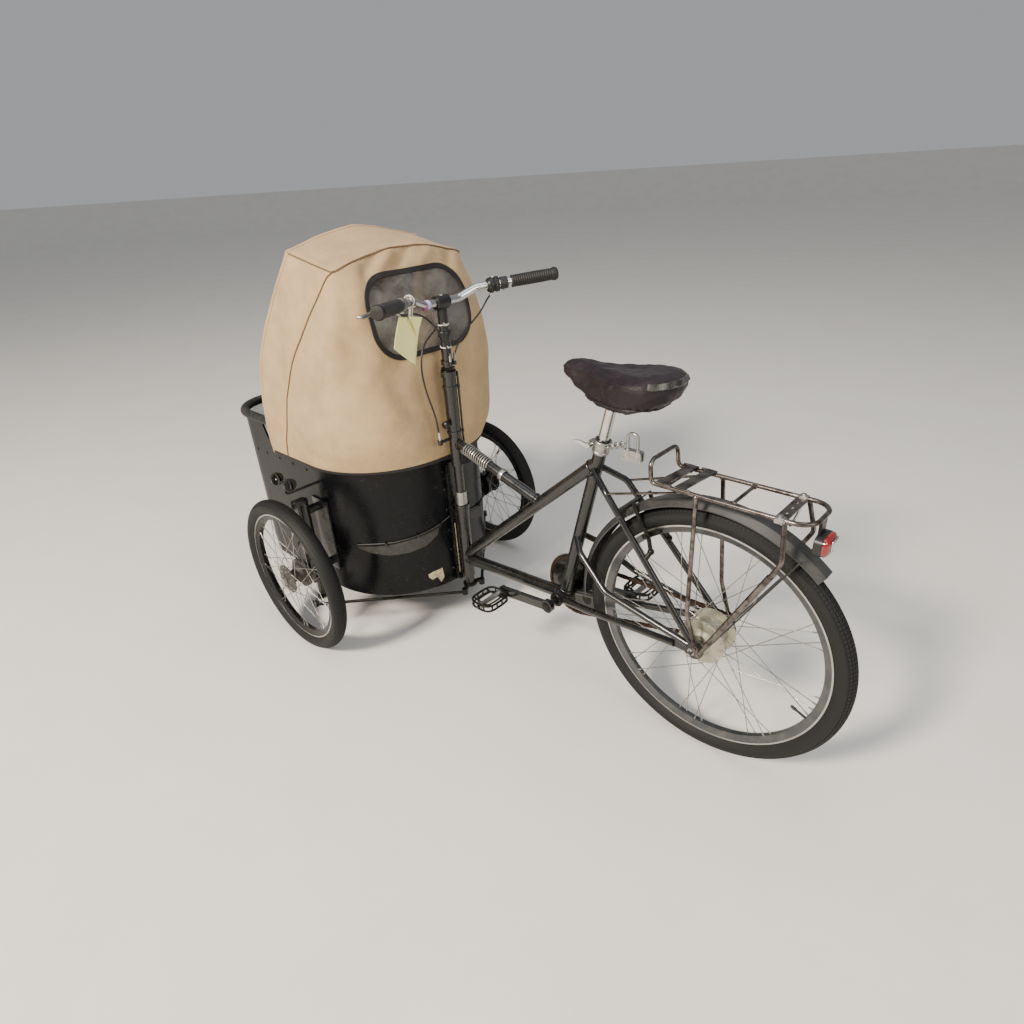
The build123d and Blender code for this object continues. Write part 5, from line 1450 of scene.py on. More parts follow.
    def sheet_mesh(self) -> tuple[Piece, list[list[int]], list[int]]:
        """Lay out the canvas as one mesh of walls and roof, with its UV map.

        Returns:
            The object, the rows of corners from the hem up, and the corners of its front edge.
        """
        top = self.levels[-1]
        around = int(self.half_girth / self.cell)
        corner_at = self.corner_at(around)
        rise_count = int(self.wall_height / self.cell)
        spots: list[Vector] = []
        flat_uv: list[tuple[float, float]] = []
        rows: list[list[int]] = []
        for j in range(rise_count + 1):
            share = j / rise_count
            row = self.level(share)
            line = []
            for i in range(-around, around + 1):
                x, y, length = self.on_level(row, abs(i) / around)
                tx, ty, _ = self.on_level(top, abs(i) / around)
                lift = self.crest(tx, ty, abs(i) >= corner_at) * share ** 2.2
                side = -1 if i > 0 else 1
                line.append(len(spots))
                spots.append(at(x, side * y, row.z + lift))
                flat_uv.append((side * length, row.z + lift))
            rows.append(line)
        faces = []
        for low, high in zip(rows, rows[1:]):
            for i in range(2 * around):
                faces.append((low[i], low[i + 1], high[i + 1], high[i]))
        edge = rows[-1]
        left, right = around - corner_at, around + corner_at
        back = edge[left:right + 1]
        left_side = edge[left::-1]
        right_side = edge[right:]
        deep = len(left_side) - 1
        wide = len(back) - 1
        grid = [back]
        a0, a1 = spots[left_side[-1]], spots[right_side[-1]]
        for u in range(1, deep + 1):
            share = u / deep
            line = [left_side[u]]
            for v in range(1, wide):
                across = v / wide
                y_share = 1 - 2 * across
                front = a0.lerp(a1, across) + Vector((0.004, 0, self.ridge_rise)) * (1 - abs(y_share) ** 1.5)
                rear, l_spot, r_spot = spots[back[v]], spots[left_side[u]], spots[right_side[u]]
                b0, b1 = spots[back[0]], spots[back[-1]]
                spot = (rear.lerp(front, share) + l_spot.lerp(r_spot, across)
                        - (b0.lerp(b1, across) * (1 - share) + a0.lerp(a1, across) * share))
                spot.z -= 0.007 * math.sin(math.pi * share) * math.sin(math.pi * across)
                line.append(len(spots))
                spots.append(spot)
                flat_uv.append((y_share * top.half, top.z + self.arch_rise + share * 0.21))
            line.append(right_side[u])
            grid.append(line)
        for near, far in zip(grid, grid[1:]):
            for v in range(wide):
                faces.append((near[v], near[v + 1], far[v + 1], far[v]))
        canvas = sewn("hood_canvas", spots, faces, flat_uv)
        mesh = canvas.data
        self.rounded(mesh, spots)
        out = [v.normal.copy() for v in mesh.vertices]
        for corner, way, (length, z) in zip(mesh.vertices, out, flat_uv):
            spot = corner.co
            rough = 0.0035 * noise.noise(spot * 5.5 + Vector((3.1, 0, 0))) + 0.0016 * noise.noise(spot * 17.0)
            free = self.calm(length, z)
            corner.co = spot + way * free * (self.swell(length, z) + rough)
        take(canvas)
        bpy.ops.object.shade_smooth()
        return canvas, rows, [r[0] for r in rows] + grid[-1][1:-1] + [r[-1] for r in reversed(rows)]

    def window_outline(self, grow: float = 0.0, steps: int = 14) -> list[tuple[float, float]]:
        """Draw the window's rounded outline as (y, z) points.

        Args:
            grow: how far outside the window it runs.
            steps: points in each corner.

        Returns:
            The points in order.
        """
        half = self.window_half + grow
        low, high = self.window_z[0] - grow, self.window_z[1] + grow
        radius = self.window_corner + grow
        middles = ((half - radius, high - radius, 0), (radius - half, high - radius, 90),
                   (radius - half, low + radius, 180), (half - radius, low + radius, 270))
        points = []
        for y, z, first in middles:
            for k in range(steps + 1):
                angle = math.radians(first + 90 * k / steps)
                points.append((y + radius * math.cos(angle), z + radius * math.sin(angle)))
        dense = []
        for (ya, za), (yb, zb) in zip(points, points[1:] + points[:1]):
            count = max(1, int(math.hypot(yb - ya, zb - za) / 0.012))
            dense += [(ya + (yb - ya) * k / count, za + (zb - za) * k / count) for k in range(count)]
        return dense

    def on_back(self, skin: BVHTree, y: float, z: float) -> tuple[Vector, Vector]:
        """Find the cloth behind a point of the back, and the way out of it."""
        spot, way, _, _ = skin.ray_cast(at(0.6, y, z), Vector((1, 0, 0)))
        return spot, way if way.x < 0 else -way

    def in_window(self, y: float, z: float, shrink: float) -> bool:
        """Tell whether a point of the back is inside the window, drawn in by a margin.

        Args:
            y: place across the back.
            z: height.
            shrink: how far the window is drawn in.

        Returns:
            Whether it is inside.
        """
        half = self.window_half - shrink
        low, high = self.window_z[0] + shrink, self.window_z[1] - shrink
        radius = self.window_corner - shrink
        dy = max(abs(y) - (half - radius), 0)
        dz = max(abs(z - (low + high) / 2) - ((high - low) / 2 - radius), 0)
        return math.hypot(dy, dz) < radius

    def cut_window(self, canvas: Piece) -> None:
        """Cut the window out of the back, under the middle of its binding.

        Args:
            canvas: the canvas.
        """
        inside = [face.index for face in canvas.data.polygons
                  if face.center.x < at(1.02, 0, 0).x and self.in_window(face.center.y, face.center.z, 0.002)]
        choose_faces(canvas, inside)
        bpy.ops.mesh.delete(type="FACE")
        bpy.ops.mesh.select_mode(type="VERT")
        bpy.ops.object.mode_set(mode="OBJECT")

    def film(self, skin: BVHTree) -> Piece:
        """Lay the clear film over the window's opening, buckled as old vinyl is.

        Args:
            skin: surface of the canvas.

        Returns:
            The film.
        """
        outline = self.window_outline(grow=0.004)
        rings = 22
        centre_z = sum(self.window_z) / 2
        spots, flat_uv, faces = [], [], []
        for ring in range(rings + 1):
            share = ring / rings
            for y, z in outline if ring else outline[:1]:
                py, pz = y * share, centre_z + (z - centre_z) * share
                spot, way = self.on_back(skin, py, pz)
                free = 1 - share ** 4
                buckle = (0.0045 * noise.noise(Vector((py * 9, pz * 30 + py * 12, 2.0)))
                          + 0.0022 * noise.noise(Vector((py * 44, pz * 22, 5.0))))
                spots.append(spot + way * (buckle * free - 0.0012))
                flat_uv.append((py, pz))
        count = len(outline)
        for k in range(count):
            faces.append((0, 1 + k, 1 + (k + 1) % count))
        for ring in range(1, rings):
            first, second = 1 + (ring - 1) * count, 1 + ring * count
            for k in range(count):
                n = (k + 1) % count
                faces.append((first + k, second + k, second + n, first + n))
        made = sewn("hood_film", spots, faces, flat_uv)
        apply_modifier(made, "SOLIDIFY", thickness=0.0005, offset=0.0)
        bpy.ops.object.shade_smooth()
        return made

    def build(self) -> None:
        canvas, rows, front = self.sheet_mesh()
        corners = [v.co.copy() for v in canvas.data.vertices]
        ways = [v.normal.copy() for v in canvas.data.vertices]
        skin = skin_of(canvas)
        self.seams(skin, corners, ways, rows)
        film = self.film(skin)
        # the film's grey tint and dark brown patches are painted reflection and painted shade
        mount(film, "frame", VINYL_PAINTED_REFLECTION, "hood_window")
        ring = [self.on_back(skin, y, z) for y, z in self.window_outline()]
        binding = strip("hood_window_binding", [s + w * 0.0005 for s, w in ring], [w for _, w in ring],
                        self.binding_width, 0.0036, closed=True)
        mount(binding, "frame", TAPE)
        hem = rows[0]
        hem_tape = strip("hood_hem_binding", [corners[i] + Vector((0, 0, 0.003)) + ways[i] * 0.0006 for i in hem],
                         [ways[i] for i in hem], self.hem_width, 0.0032)
        mount(hem_tape, "frame", TAPE)
        front_tape = strip("hood_front_binding", [corners[i] for i in front], [ways[i] for i in front], 0.012, 0.003)
        mount(front_tape, "frame", LINING)
        self.cut_window(canvas)
        apply_modifier(canvas, "SOLIDIFY", thickness=self.cloth, offset=-1.0, material_offset=1)
        canvas.data.materials.append(CANVAS.material())
        canvas.data.materials.append(LINING.material())
        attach(canvas, "frame")
        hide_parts("hood")

    def seams(self, skin: BVHTree, corners: list[Vector], ways: list[Vector], rows: list[list[int]]) -> None:
        """Sew the felled seam from the hem up each side and over the rear arch, and along the roof's edges.

        Args:
            skin: surface of the canvas.
            corners: corners of the canvas.
            ways: outward way at each corner.
            rows: corners of each level, by number.
        """
        high = rows[-1]
        middle = len(high) // 2
        corner_at = self.corner_at(middle)
        climb = ((0.577, 1.262), (0.65, 1.245), (0.77, 1.205), (0.88, 1.14), (1.0, 1.06), (1.07, 1.01), (1.108, 0.984))
        line = []
        for z, x in climb:
            spot, way, _, _ = skin.ray_cast(at(x, 0.45, z + 0.004), Vector((0, -1, 0)))
            line.append((spot, way if way.y > 0 else -way))
        dense = []
        for (sa, wa), (sb, _) in zip(line, line[1:]):
            for k in range(8):
                spot = sa.lerp(sb, k / 8)
                near, way, _, _ = skin.find_nearest(spot)
                dense.append((near, way if way.dot(wa) > 0 else -way))
        arch = [(corners[high[middle + k]], ways[high[middle + k]]) for k in range(-corner_at, corner_at + 1)]
        right = [(Vector((s.x, -s.y, s.z)), Vector((w.x, -w.y, w.z))) for s, w in dense]
        right = [(skin.find_nearest(s)[0], w) for s, w in right]
        whole_line = dense + arch + right[::-1]
        seam = strip(
            "hood_rear_seam", [s + w * 0.0008 for s, w in whole_line], [w for _, w in whole_line], 0.0046, 0.0022)
        # the seam's dark brown is painted shade along its fold
        mount(seam, "frame", SEAM_PAINTED_SHADE)
        for side, name in SIDES:
            edge = [high[middle - side * k] for k in range(corner_at, middle + 1)]
            piece = strip(f"hood_roof_seam_{name}", [corners[i] + ways[i] * 0.0006 for i in edge],
                          [ways[i] for i in edge], 0.0036, 0.0018)
            mount(piece, "frame", SEAM_PAINTED_SHADE)


# Wheels


@dataclass
class SpokedWheel:
    """One wire wheel: tyre with moulded knobs, rim with bright edges, nipples, valve and hub trim.

    Attributes:
        name: ending of the pieces' names.
        body: body that it turns with.
        centre: middle of the wheel, measured from the rear axle.
        radius: outside radius of the tyre.
        rim: finish of the rim.
        lip: finish of the rim's edges.
        flanges: (place along the axle, radius) of both hub flanges.
        knob_rows: rows of knobs on the tread.
        knobs: knobs in one row.
        half_width: half the width over the tyre.
        casing: radius of the tyre's section.
        rim_half: half the width of the rim.
        rim_depth: depth of the rim.
        knob_rise: height of the moulded knobs.
        spokes: number of spokes.
    """

    name: str
    body: str
    centre: Vector
    radius: float
    rim: Finish
    lip: Finish
    flanges: tuple[tuple[float, float], tuple[float, float]]
    knob_rows: int = 7
    knobs: int = 176
    half_width: float = 0.0235
    casing: float = 0.043
    rim_half: float = 0.0125
    rim_depth: float = 0.018
    knob_rise: float = 0.0014
    spokes: int = 36

    def tyre(self) -> None:
        """Turn the casing and raise the knobs of its tread."""
        bead, half = self.radius - self.casing, self.half_width
        tread = self.half_width * 0.78
        crown = self.radius - self.knob_rise
        wall = [
            (bead, 0.42 * half), (bead + 0.004, 0.62 * half), (bead + 0.006, 0.66 * half),
            (bead + 0.012, 0.88 * half), (bead + 0.02, half), (bead + 0.0225, 0.985 * half),
            (crown - 0.0125, 0.93 * half)]
        rows = self.knob_rows
        top = [(crown - 0.0095 * abs(1 - 2 * k / rows) ** 2.3, tread * (1 - 2 * k / rows)) for k in range(rows + 1)]
        section = wall + top + [(r, -y) for r, y in reversed(wall)]
        section.append(section[0])
        tyre = turned(f"tyre_{self.name}", section, self.centre, steps=self.knobs)
        on_tread = []
        for face in tyre.data.polygons:
            spot = face.center - self.centre
            if abs(spot.y) < tread and math.hypot(spot.x, spot.z) > crown - 0.01:
                on_tread.append(face.index)
        choose_faces(tyre, on_tread)
        bpy.ops.mesh.inset(thickness=0.00075, use_individual=True)
        bpy.ops.mesh.extrude_region_shrink_fatten(TRANSFORM_OT_shrink_fatten={"value": self.knob_rise})
        bpy.ops.object.mode_set(mode="OBJECT")
        take(tyre)
        bpy.ops.object.shade_smooth_by_angle(angle=math.radians(28))
        wrap_round(tyre, self.centre, self.radius)
        mount(tyre, self.body, TYRE, "rear_tyre" if self.name == "rear" else f"front_tyre_{self.name}")

    def edges(self) -> None:
        """Run the bright edges round the rim, and the dark channel between them."""
        top = self.radius - self.casing
        hoops = []
        for way in (1, -1):
            out = way * (self.rim_half + 0.0004)
            hoops.append(
                turned("lip", [(top + 0.0012, out), (top + 0.0012, out - way * 0.0022),
                (top - 0.0008, out - way * 0.0024), (top - 0.0026, out - way * 0.001), (top - 0.0026, out),
                (top + 0.0012, out)], self.centre, steps=120))
        mount(joined(f"rim_edge_{self.name}", hoops), self.body, self.lip)
        foot = top - self.rim_depth
        well = turned(
            f"rim_well_{self.name}", [(foot - 0.0006, -0.0066), (foot - 0.0014, -0.004), (foot - 0.0016, 0.0),
            (foot - 0.0014, 0.004), (foot - 0.0006, 0.0066), (foot + 0.002, 0.006), (foot + 0.002, -0.006),
            (foot - 0.0006, -0.0066)], self.centre, steps=120)
        mount(well, self.body, self.rim)

    def spoke_ends(self, index: int, side: int) -> tuple[Vector, Vector]:
        """Give where one spoke leaves its flange and where it meets the rim.

        Args:
            index: number of the spoke.
            side: which flange, nought or one.

        Returns:
            Its inner and its outer end.
        """
        step = TURN / (self.spokes // 2)
        along, flange = self.flanges[side]
        lead = 1 if index % 2 else -1
        hub_angle = index * step + side * step / 2
        rim_angle = hub_angle + lead * 2.6 * step
        start_r = flange + 0.0014
        end_r = self.radius - self.casing - self.rim_depth - 0.0006
        start = self.centre + Vector(
            (start_r * math.cos(hub_angle), along + lead * 0.0024, start_r * math.sin(hub_angle)))
        end = self.centre + Vector(
            (end_r * math.cos(rim_angle), math.copysign(0.0035, along) + lead * 0.0016, end_r * math.sin(rim_angle)))
        return start, end

    def nipples(self) -> None:
        """Set a nipple on each spoke at the rim, and a bent head on each at its flange."""
        tips, heads = [], []
        for side in (0, 1):
            for index in range(self.spokes // 2):
                start, end = self.spoke_ends(index, side)
                run = (start - end).normalized()
                clear_selection()
                bpy.ops.mesh.primitive_cone_add(
                    vertices=8, radius1=0.0022, radius2=0.0015, depth=0.011, location=end + run * 0.0052,
                    rotation=run.to_track_quat("Z", "Y").to_euler())
                tips.append(settle("nipple"))
                along, flange = self.flanges[side]
                lead = 1 if index % 2 else -1
                angle = math.atan2(start.z - self.centre.z, start.x - self.centre.x)
                hole = self.centre + Vector(
                    ((flange - 0.005) * math.cos(angle), along, (flange - 0.005) * math.sin(angle)))
                clear_selection()
                bpy.ops.mesh.primitive_cone_add(
                    vertices=10, radius1=0.0024, radius2=0.0015, depth=0.0016,
                    location=hole + Vector((0, -lead * 0.0022, 0)), rotation=Vector((0, -lead, 0)).to_track_quat("Z",
                    "Y").to_euler())
                heads.append(settle("head"))
                heads.append(bar("elbow", hole + Vector((0, lead * 0.0022, 0)), start, 0.001, sides=8, edge=0.0002))
        mount(joined(f"nipples_{self.name}", tips), self.body, BRIGHT_LIP)
        mount(joined(f"spoke_heads_{self.name}", heads), self.body, SPOKE)

    def valve(self, angle_deg: float) -> None:
        """Screw the valve stem into the rim, with its knurled cap.

        Args:
            angle_deg: where it stands on the rim.
        """
        angle = math.radians(angle_deg)
        out = Vector((math.cos(angle), 0, math.sin(angle)))
        foot = self.centre + out * (self.radius - self.casing - self.rim_depth)
        stem = bar("stem", foot, foot - out * 0.03, 0.0028, sides=14)
        cap = bar("cap", foot - out * 0.026, foot - out * 0.038, 0.0042, 0.0034, sides=12)
        mount(joined(f"valve_{self.name}", [stem, cap]), self.body, PLASTIC)

    def build(self) -> None:
        """Make everything that the wheel's CAD solids don't show."""
        self.tyre()
        self.edges()
        self.nipples()
        self.valve(204.0 if self.name == "rear" else 118.0)


@dataclass
class Wheels:
    """The rear wheel and the two front wheels, with their hub trim and drums.

    Attributes:
        rear_r: radius of the rear wheel.
        front_r: radius of the front wheels.
        front_x: where the front axles are, measured from the rear axle.
        track: distance between the front wheels' middles.
    """

    rear_r: float = 0.327
    front_r: float = 0.25
    front_x: float = 1.155
    track: float = 0.842

    def rear_trim(self) -> None:
        """Dress the rear hub: stepped cover, row of holes in the flange, lock rings and toothed sprocket."""
        centre = at(0, 0, self.rear_r)
        cover = turned(
            "hub_cover", [(0.0056, 0.0424), (0.0235, 0.0424), (0.0245, 0.0418), (0.0262, 0.036), (0.033, 0.0338),
            (0.0345, 0.033), (0.035, 0.0308), (0.0545, 0.0307), (0.0566, 0.0298), (0.0566, 0.0282), (0.0056, 0.0282),
            (0.0056, 0.0424)], centre, steps=72)
        mount(cover, "rear_wheel", HUB_ALLOY)
        hole = turned("hole", [(0.0, 0.0), (0.0023, 0.0), (0.0023, 0.0007), (0.0, 0.0007)],
                      centre + Vector((0.0445, 0.0304, 0)), steps=12)
        mount(repeated("hub_flange_holes", hole, ring_moves(centre, (0, 1, 0), 18)), "rear_wheel", DARK_STEEL)
        rings = [turned("ring", [(a, y), (b, y), (b, y - 0.0016), (a, y - 0.0016), (a, y)], centre, steps=48)
                 for a, b, y in ((0.012, 0.015, 0.0436), (0.0185, 0.02, 0.0432))]
        mount(joined("hub_lock_rings", rings), "rear_wheel", ZINC)
        teeth = 18
        outline = []
        for k in range(teeth):
            for share, reach in (
                    (0.0, 0.034), (0.18, 0.0345), (0.34, 0.0392), (0.5, 0.04), (0.66, 0.0392), (0.82, 0.0345)):
                angle = TURN * (k + share) / teeth
                outline.append(centre + Vector((reach * math.cos(angle), -0.0492, reach * math.sin(angle))))
        mount(plate("rear_sprocket_teeth", outline, Vector((0, -0.0016, 0)), 0.0002), "rear_wheel", CHAIN)

    def drum(self, side: int, word: str) -> None:
        """Dress one front drum: ribbed shell, bolt circle, lever and axle nut.

        Args:
            side: side of the tricycle, as a sign.
            word: name of that side.
        """
        centre = at(self.front_x, side * self.track / 2, self.front_r)
        y = side
        shell = turned(
            f"drum_shell_{word}", [(0.0078, 0.0345 * y), (0.0125, 0.0345 * y), (0.0135, 0.0335 * y),
            (0.016, 0.0325 * y), (0.021, 0.0285 * y), (0.044, 0.0262 * y), (0.0462, 0.025 * y), (0.0462, 0.0228 * y),
            (0.021, 0.0205 * y), (0.0195, 0.019 * y), (0.019, 0.004 * y), (0.03, -0.0132 * y), (0.034, -0.015 * y),
            (0.034, -0.0165 * y), (0.046, -0.0185 * y), (0.0466, -0.0195 * y), (0.0466, -0.0262 * y),
            (0.0455, -0.0272 * y), (0.0078, -0.0272 * y), (0.0078, 0.0345 * y)], centre, steps=64)
        mount(shell, f"front_wheel_{word}", DRUM_GREY, f"front_hub_{word}")
        bolt = turned(
            "bolt", [(0.0, 0.0), (0.0036, 0.0), (0.0036, 0.0026 * y), (0.0024, 0.0034 * y), (0.0, 0.0034 * y)],
            centre + Vector((0.03, 0.0272 * y, 0)), steps=6)
        mount(repeated(f"drum_bolts_{word}", bolt, ring_moves(centre, (0, 1, 0), 6, 15)), f"front_wheel_{word}", ZINC)
        nut = turned(
            "nut", [(0.0075, 0.036 * y), (0.0125, 0.036 * y), (0.0125, 0.0405 * y), (0.011, 0.0418 * y),
            (0.0075, 0.0418 * y), (0.0075, 0.036 * y)], centre, steps=6)
        washer = turned(
            "washer", [(0.0075, 0.035 * y), (0.015, 0.035 * y), (0.015, 0.036 * y), (0.0075, 0.036 * y),
            (0.0075, 0.035 * y)], centre, steps=32)
        cap = turned(
            "cap", [(0.0, 0.043 * y), (0.0045, 0.043 * y), (0.0064, 0.042 * y), (0.0068, 0.0405 * y),
            (0.0, 0.04 * y), (0.0, 0.043 * y)], centre, steps=20)
        mount(joined(f"stub_axle_nut_{word}", [nut, washer, cap]), f"knuckle_{word}", ZINC)
        plate_y = (self.track / 2 - 0.0325) * y
        lever = [at(self.front_x + dx, plate_y, self.front_r + dz) for dx, dz in
                 ((-0.03, 0.03), (-0.02, 0.038), (-0.052, 0.072), (-0.06, 0.076), (-0.066, 0.07), (-0.06, 0.064))]
        mount(plate(f"brake_arm_{word}", lever, Vector((0, -0.003 * y, 0)), 0.0006), f"knuckle_{word}", DARK_STEEL)

    def build(self) -> None:
        """Make all three wheels."""
        rear = SpokedWheel(
            "rear", "rear_wheel", at(0, 0, self.rear_r), self.rear_r, RIM_ALLOY, BRIGHT_LIP,
            ((0.029, 0.056), (-0.029, 0.056)), knobs=208)
        rear.build()
        self.rear_trim()
        for side, word in SIDES:
            centre = at(self.front_x, side * self.track / 2, self.front_r)
            front = SpokedWheel(word, f"front_wheel_{word}", centre, self.front_r, RIM_BLACK, BRIGHT_LIP,
                                ((side * 0.024, 0.045), (side * -0.0235, 0.045)))
            front.build()
            self.drum(side, word)


# Cables


@dataclass
class Cables:
    """Three free cables: one from each brake lever to the column's clip, and the shifter's long loop.

    Attributes:
        radius: half a cable's diameter.
        left: route of the left brake cable.
        right: route of the right brake cable.
        loop: route of the shifter's cable.
    """

    radius: float = 0.0025
    left: tuple[Spot, ...] = (
        (0.7979, 0.176, 1.0278), (0.8025, 0.1539, 1.013), (0.806, 0.12, 1.014), (0.805, 0.09, 1.006),
        (0.803, 0.062, 0.984), (0.801, 0.04, 0.955), (0.801, 0.022, 0.918), (0.803, 0.009, 0.889),
        (0.803, 0.008, 0.8684))
    right: tuple[Spot, ...] = (
        (0.7979, -0.176, 1.0278), (0.8025, -0.1539, 1.013), (0.806, -0.126, 0.979), (0.805, -0.088, 0.956),
        (0.804, -0.054, 0.939), (0.803, -0.026, 0.91), (0.803, -0.009, 0.886), (0.803, -0.008, 0.8684))
    loop: tuple[Spot, ...] = (
        (0.8034, -0.1469, 1.0448), (0.8175, -0.125, 1.0425), (0.833, -0.099, 1.037), (0.848, -0.072, 1.023),
        (0.858, -0.046, 0.999), (0.861, -0.022, 0.966), (0.86, 0.004, 0.945), (0.851, 0.034, 0.934),
        (0.845, 0.06, 0.918), (0.84, 0.077, 0.888), (0.837, 0.084, 0.852), (0.834, 0.082, 0.815),
        (0.831, 0.076, 0.778), (0.829, 0.066, 0.742), (0.827, 0.06, 0.706), (0.8255, 0.0585, 0.676),
        (0.825, 0.058, 0.6513))

    def ferrule(self, name: str, tip: Vector, inward: Vector) -> Piece:
        """Slip a tapered sleeve over a cable's end, as its strain relief."""
        piece = bar(name, tip - inward * 0.001, tip + inward * 0.022, self.radius * 1.7, self.radius * 1.15, sides=16)
        return mount(piece, "steering", BAR_ALLOY)

    def build(self) -> None:
        for word, spots, length in (
                ("left", self.left, 0.256), ("right", self.right, 0.2396), ("loop", self.loop, 0.539)):
            points = [at(*spot) for spot in spots]
            cable = route(f"steering_cable_{word}", points, self.radius)
            first = self.ferrule(f"cable_ferrule_{word}_upper", points[0], (points[1] - points[0]).normalized())
            last = self.ferrule(f"cable_ferrule_{word}_lower", points[-1], (points[-2] - points[-1]).normalized())
            mount(cable, "steering", CABLE, f"cable_{word}")


# Handlebar


@dataclass
class Cockpit:
    """Everything that the rider's hands reach: grips, levers, shifter, stem, tag, tapes and column fittings.

    Attributes:
        column_x: where the column stands, measured from the rear axle.
        bar_z: height of the bar's middle.
        bar_half: half the width over the bar.
        sweep: how far its ends reach back.
        rise: how far they rise.
        bend_share: where the bar bends, as a share of its half width.
        grip_length: length of a grip.
    """

    column_x: float = 0.825
    bar_z: float = 1.022
    bar_half: float = 0.306
    sweep: float = 0.14
    rise: float = 0.037
    bend_share: float = 0.36
    grip_length: float = 0.128

    def along(self, back: float, side: int) -> Vector:
        """Give a point on a grip's axis, measured inwards from the bar's end.

        Args:
            back: distance from the bar's end.
            side: side of the tricycle, as a sign.

        Returns:
            The point.
        """
        tip = Vector((self.column_x - self.sweep, self.bar_half, self.bar_z + self.rise))
        knee = Vector(
            (self.column_x - 0.12 * self.sweep, self.bend_share * self.bar_half, self.bar_z + 0.55 * self.rise))
        spot = tip - (tip - knee).normalized() * back
        return at(spot.x, side * spot.y, spot.z)

    def axis(self, side: int) -> Vector:
        """Give the direction outwards along a grip."""
        return (self.along(0, side) - self.along(0.1, side)).normalized()

    def ahead(self, side: int) -> Vector:
        """Give the level direction forward of a grip, square to it."""
        run = self.axis(side)
        return Vector((abs(run.y), side * -run.x, 0)).normalized()

    def grips(self) -> None:
        """Turn the ribbed rubber grips with their round end caps."""
        for side, word in SIDES:
            out = self.axis(side)
            profile = [(0.0113, 0.0), (0.0158, 0.0), (0.0166, 0.0012), (0.0166, 0.004), (0.015, 0.0052)]
            ribs, reach = 17, self.grip_length - 0.022
            for k in range(ribs):
                start = 0.0065 + reach * k / ribs
                pitch = reach / ribs
                swell = 0.0006 * math.sin(math.pi * (k + 0.5) / ribs)
                profile += [(0.0148 + swell, start), (0.0162 + swell, start + 0.25 * pitch),
                            (0.0162 + swell, start + 0.62 * pitch), (0.0148 + swell, start + 0.85 * pitch)]
            end = self.grip_length
            profile += [(0.016, end - 0.012), (0.017, end - 0.01), (0.0172, end - 0.0015), (0.0168, end + 0.001),
                        (0.015, end + 0.004), (0.009, end + 0.0049), (0.0, end + 0.005)]
            grip = turned(f"grip_{word}", profile, self.along(self.grip_length, side), out[:], steps=40)
            notch = block(
                "notch", self.along(0, side) + self.ahead(side) * 0.0172 - out * 0.004, (0.0016, 0.0026, 0.0065),
                (0, 0, math.degrees(math.atan2(self.ahead(side).y, self.ahead(side).x))), 0.0003)
            knurls = repeated("knurls", notch, ring_moves(self.along(0, side), out[:], 20))
            mount(joined(f"grip_{word}", [grip, knurls]), "steering", GRIP, *(("grips",) if side > 0 else ()))

    def levers(self) -> None:
        """Make each brake lever: hinged clamp, forked body, curved broad blade, pin and adjuster."""
        for side, word in SIDES:
            out, ahead = self.axis(side), self.ahead(side)
            root = self.along(self.grip_length + 0.022, side)
            pivot = root + ahead * 0.034 + Vector((0, 0, -0.006))
            ring = turned(
                "clamp", [(0.0113, -0.01), (0.0155, -0.01), (0.0163, -0.009), (0.0163, 0.009), (0.0155, 0.01),
                (0.0113, 0.01), (0.0113, -0.01)], root, out[:], steps=32)
            shape = [(0.01, -0.011), (0.022, -0.013), (0.034, -0.01), (0.042, -0.002), (0.041, 0.006), (0.03, 0.011),
                     (0.018, 0.012), (0.01, 0.01)]
            low = Vector((0, 0, -0.014))
            body = plate("body", [root + ahead * a + out * b + low for a, b in shape], Vector((0, 0, 0.016)), 0.0028)
            barrel_run = Vector((0.17, side * -0.82, -0.55)).normalized()
            barrel = bar("barrel", pivot + barrel_run * 0.004, pivot + barrel_run * 0.018, 0.0056, 0.0052, sides=16)
            mount(joined(f"lever_body_{word}", [ring, body]), "steering", PLASTIC if side < 0 else LEVER_ALLOY)
            knurl = block("knurl", pivot + barrel_run * 0.0205, (0.0104, 0.0013, 0.006),
                          [math.degrees(a) for a in barrel_run.to_track_quat("Z", "Y").to_euler()], 0.0003)
            turns = ring_moves(pivot, barrel_run[:], 8)
            adjuster = repeated("adjuster", knurl, turns)
            mount(joined(f"cable_adjuster_{word}", [barrel, adjuster]), "steering", BAR_ALLOY)
            tip = self.along(0.028, side) + ahead * 0.052 + Vector((0, 0, -0.012))
            spine = [
                (0.0, 0.0, 0.0), (0.16, 0.004, 0.0005), (0.34, 0.0045, 0.001), (0.55, 0.002, 0.001),
                (0.75, -0.001, 0.0), (0.92, 0.0012, -0.001), (1.0, 0.005, -0.0015)]
            run = tip - pivot
            middle = [pivot + run * t + ahead * bow + Vector((0, 0, lift)) for t, bow, lift in spine]
            widths = (0.007, 0.0088, 0.0086, 0.008, 0.0076, 0.0078, 0.0074)
            near = [m - ahead * w for m, w in zip(middle, widths)]
            far = [m + ahead * w * 0.9 for m, w in zip(middle, widths)]
            blade = plate(f"lever_blade_{word}", [p + Vector((0, 0, -0.0036)) for p in near + far[::-1]],
                          Vector((0, 0, 0.0072)), 0.0024)
            mount(blade, "steering", LEVER_ALLOY, *(("brake_levers",) if side > 0 else ()))
            pin = turned("pin", [(0.0, 0.0125), (0.0032, 0.012), (0.004, 0.0106), (0.004, -0.015), (0.0, -0.0158)],
                         pivot + Vector((0, 0, 0.0005)), (0, 0, 1), steps=18)
            bolt_at = root + Vector((0, 0, -0.0165))
            bolt = turned("bolt", [(0.0, -0.006), (0.003, -0.006), (0.0038, -0.004), (0.0038, 0.004), (0.0, 0.004)],
                          bolt_at, ahead[:], steps=6)
            mount(joined(f"lever_pins_{word}", [pin, bolt]), "steering", ZINC)

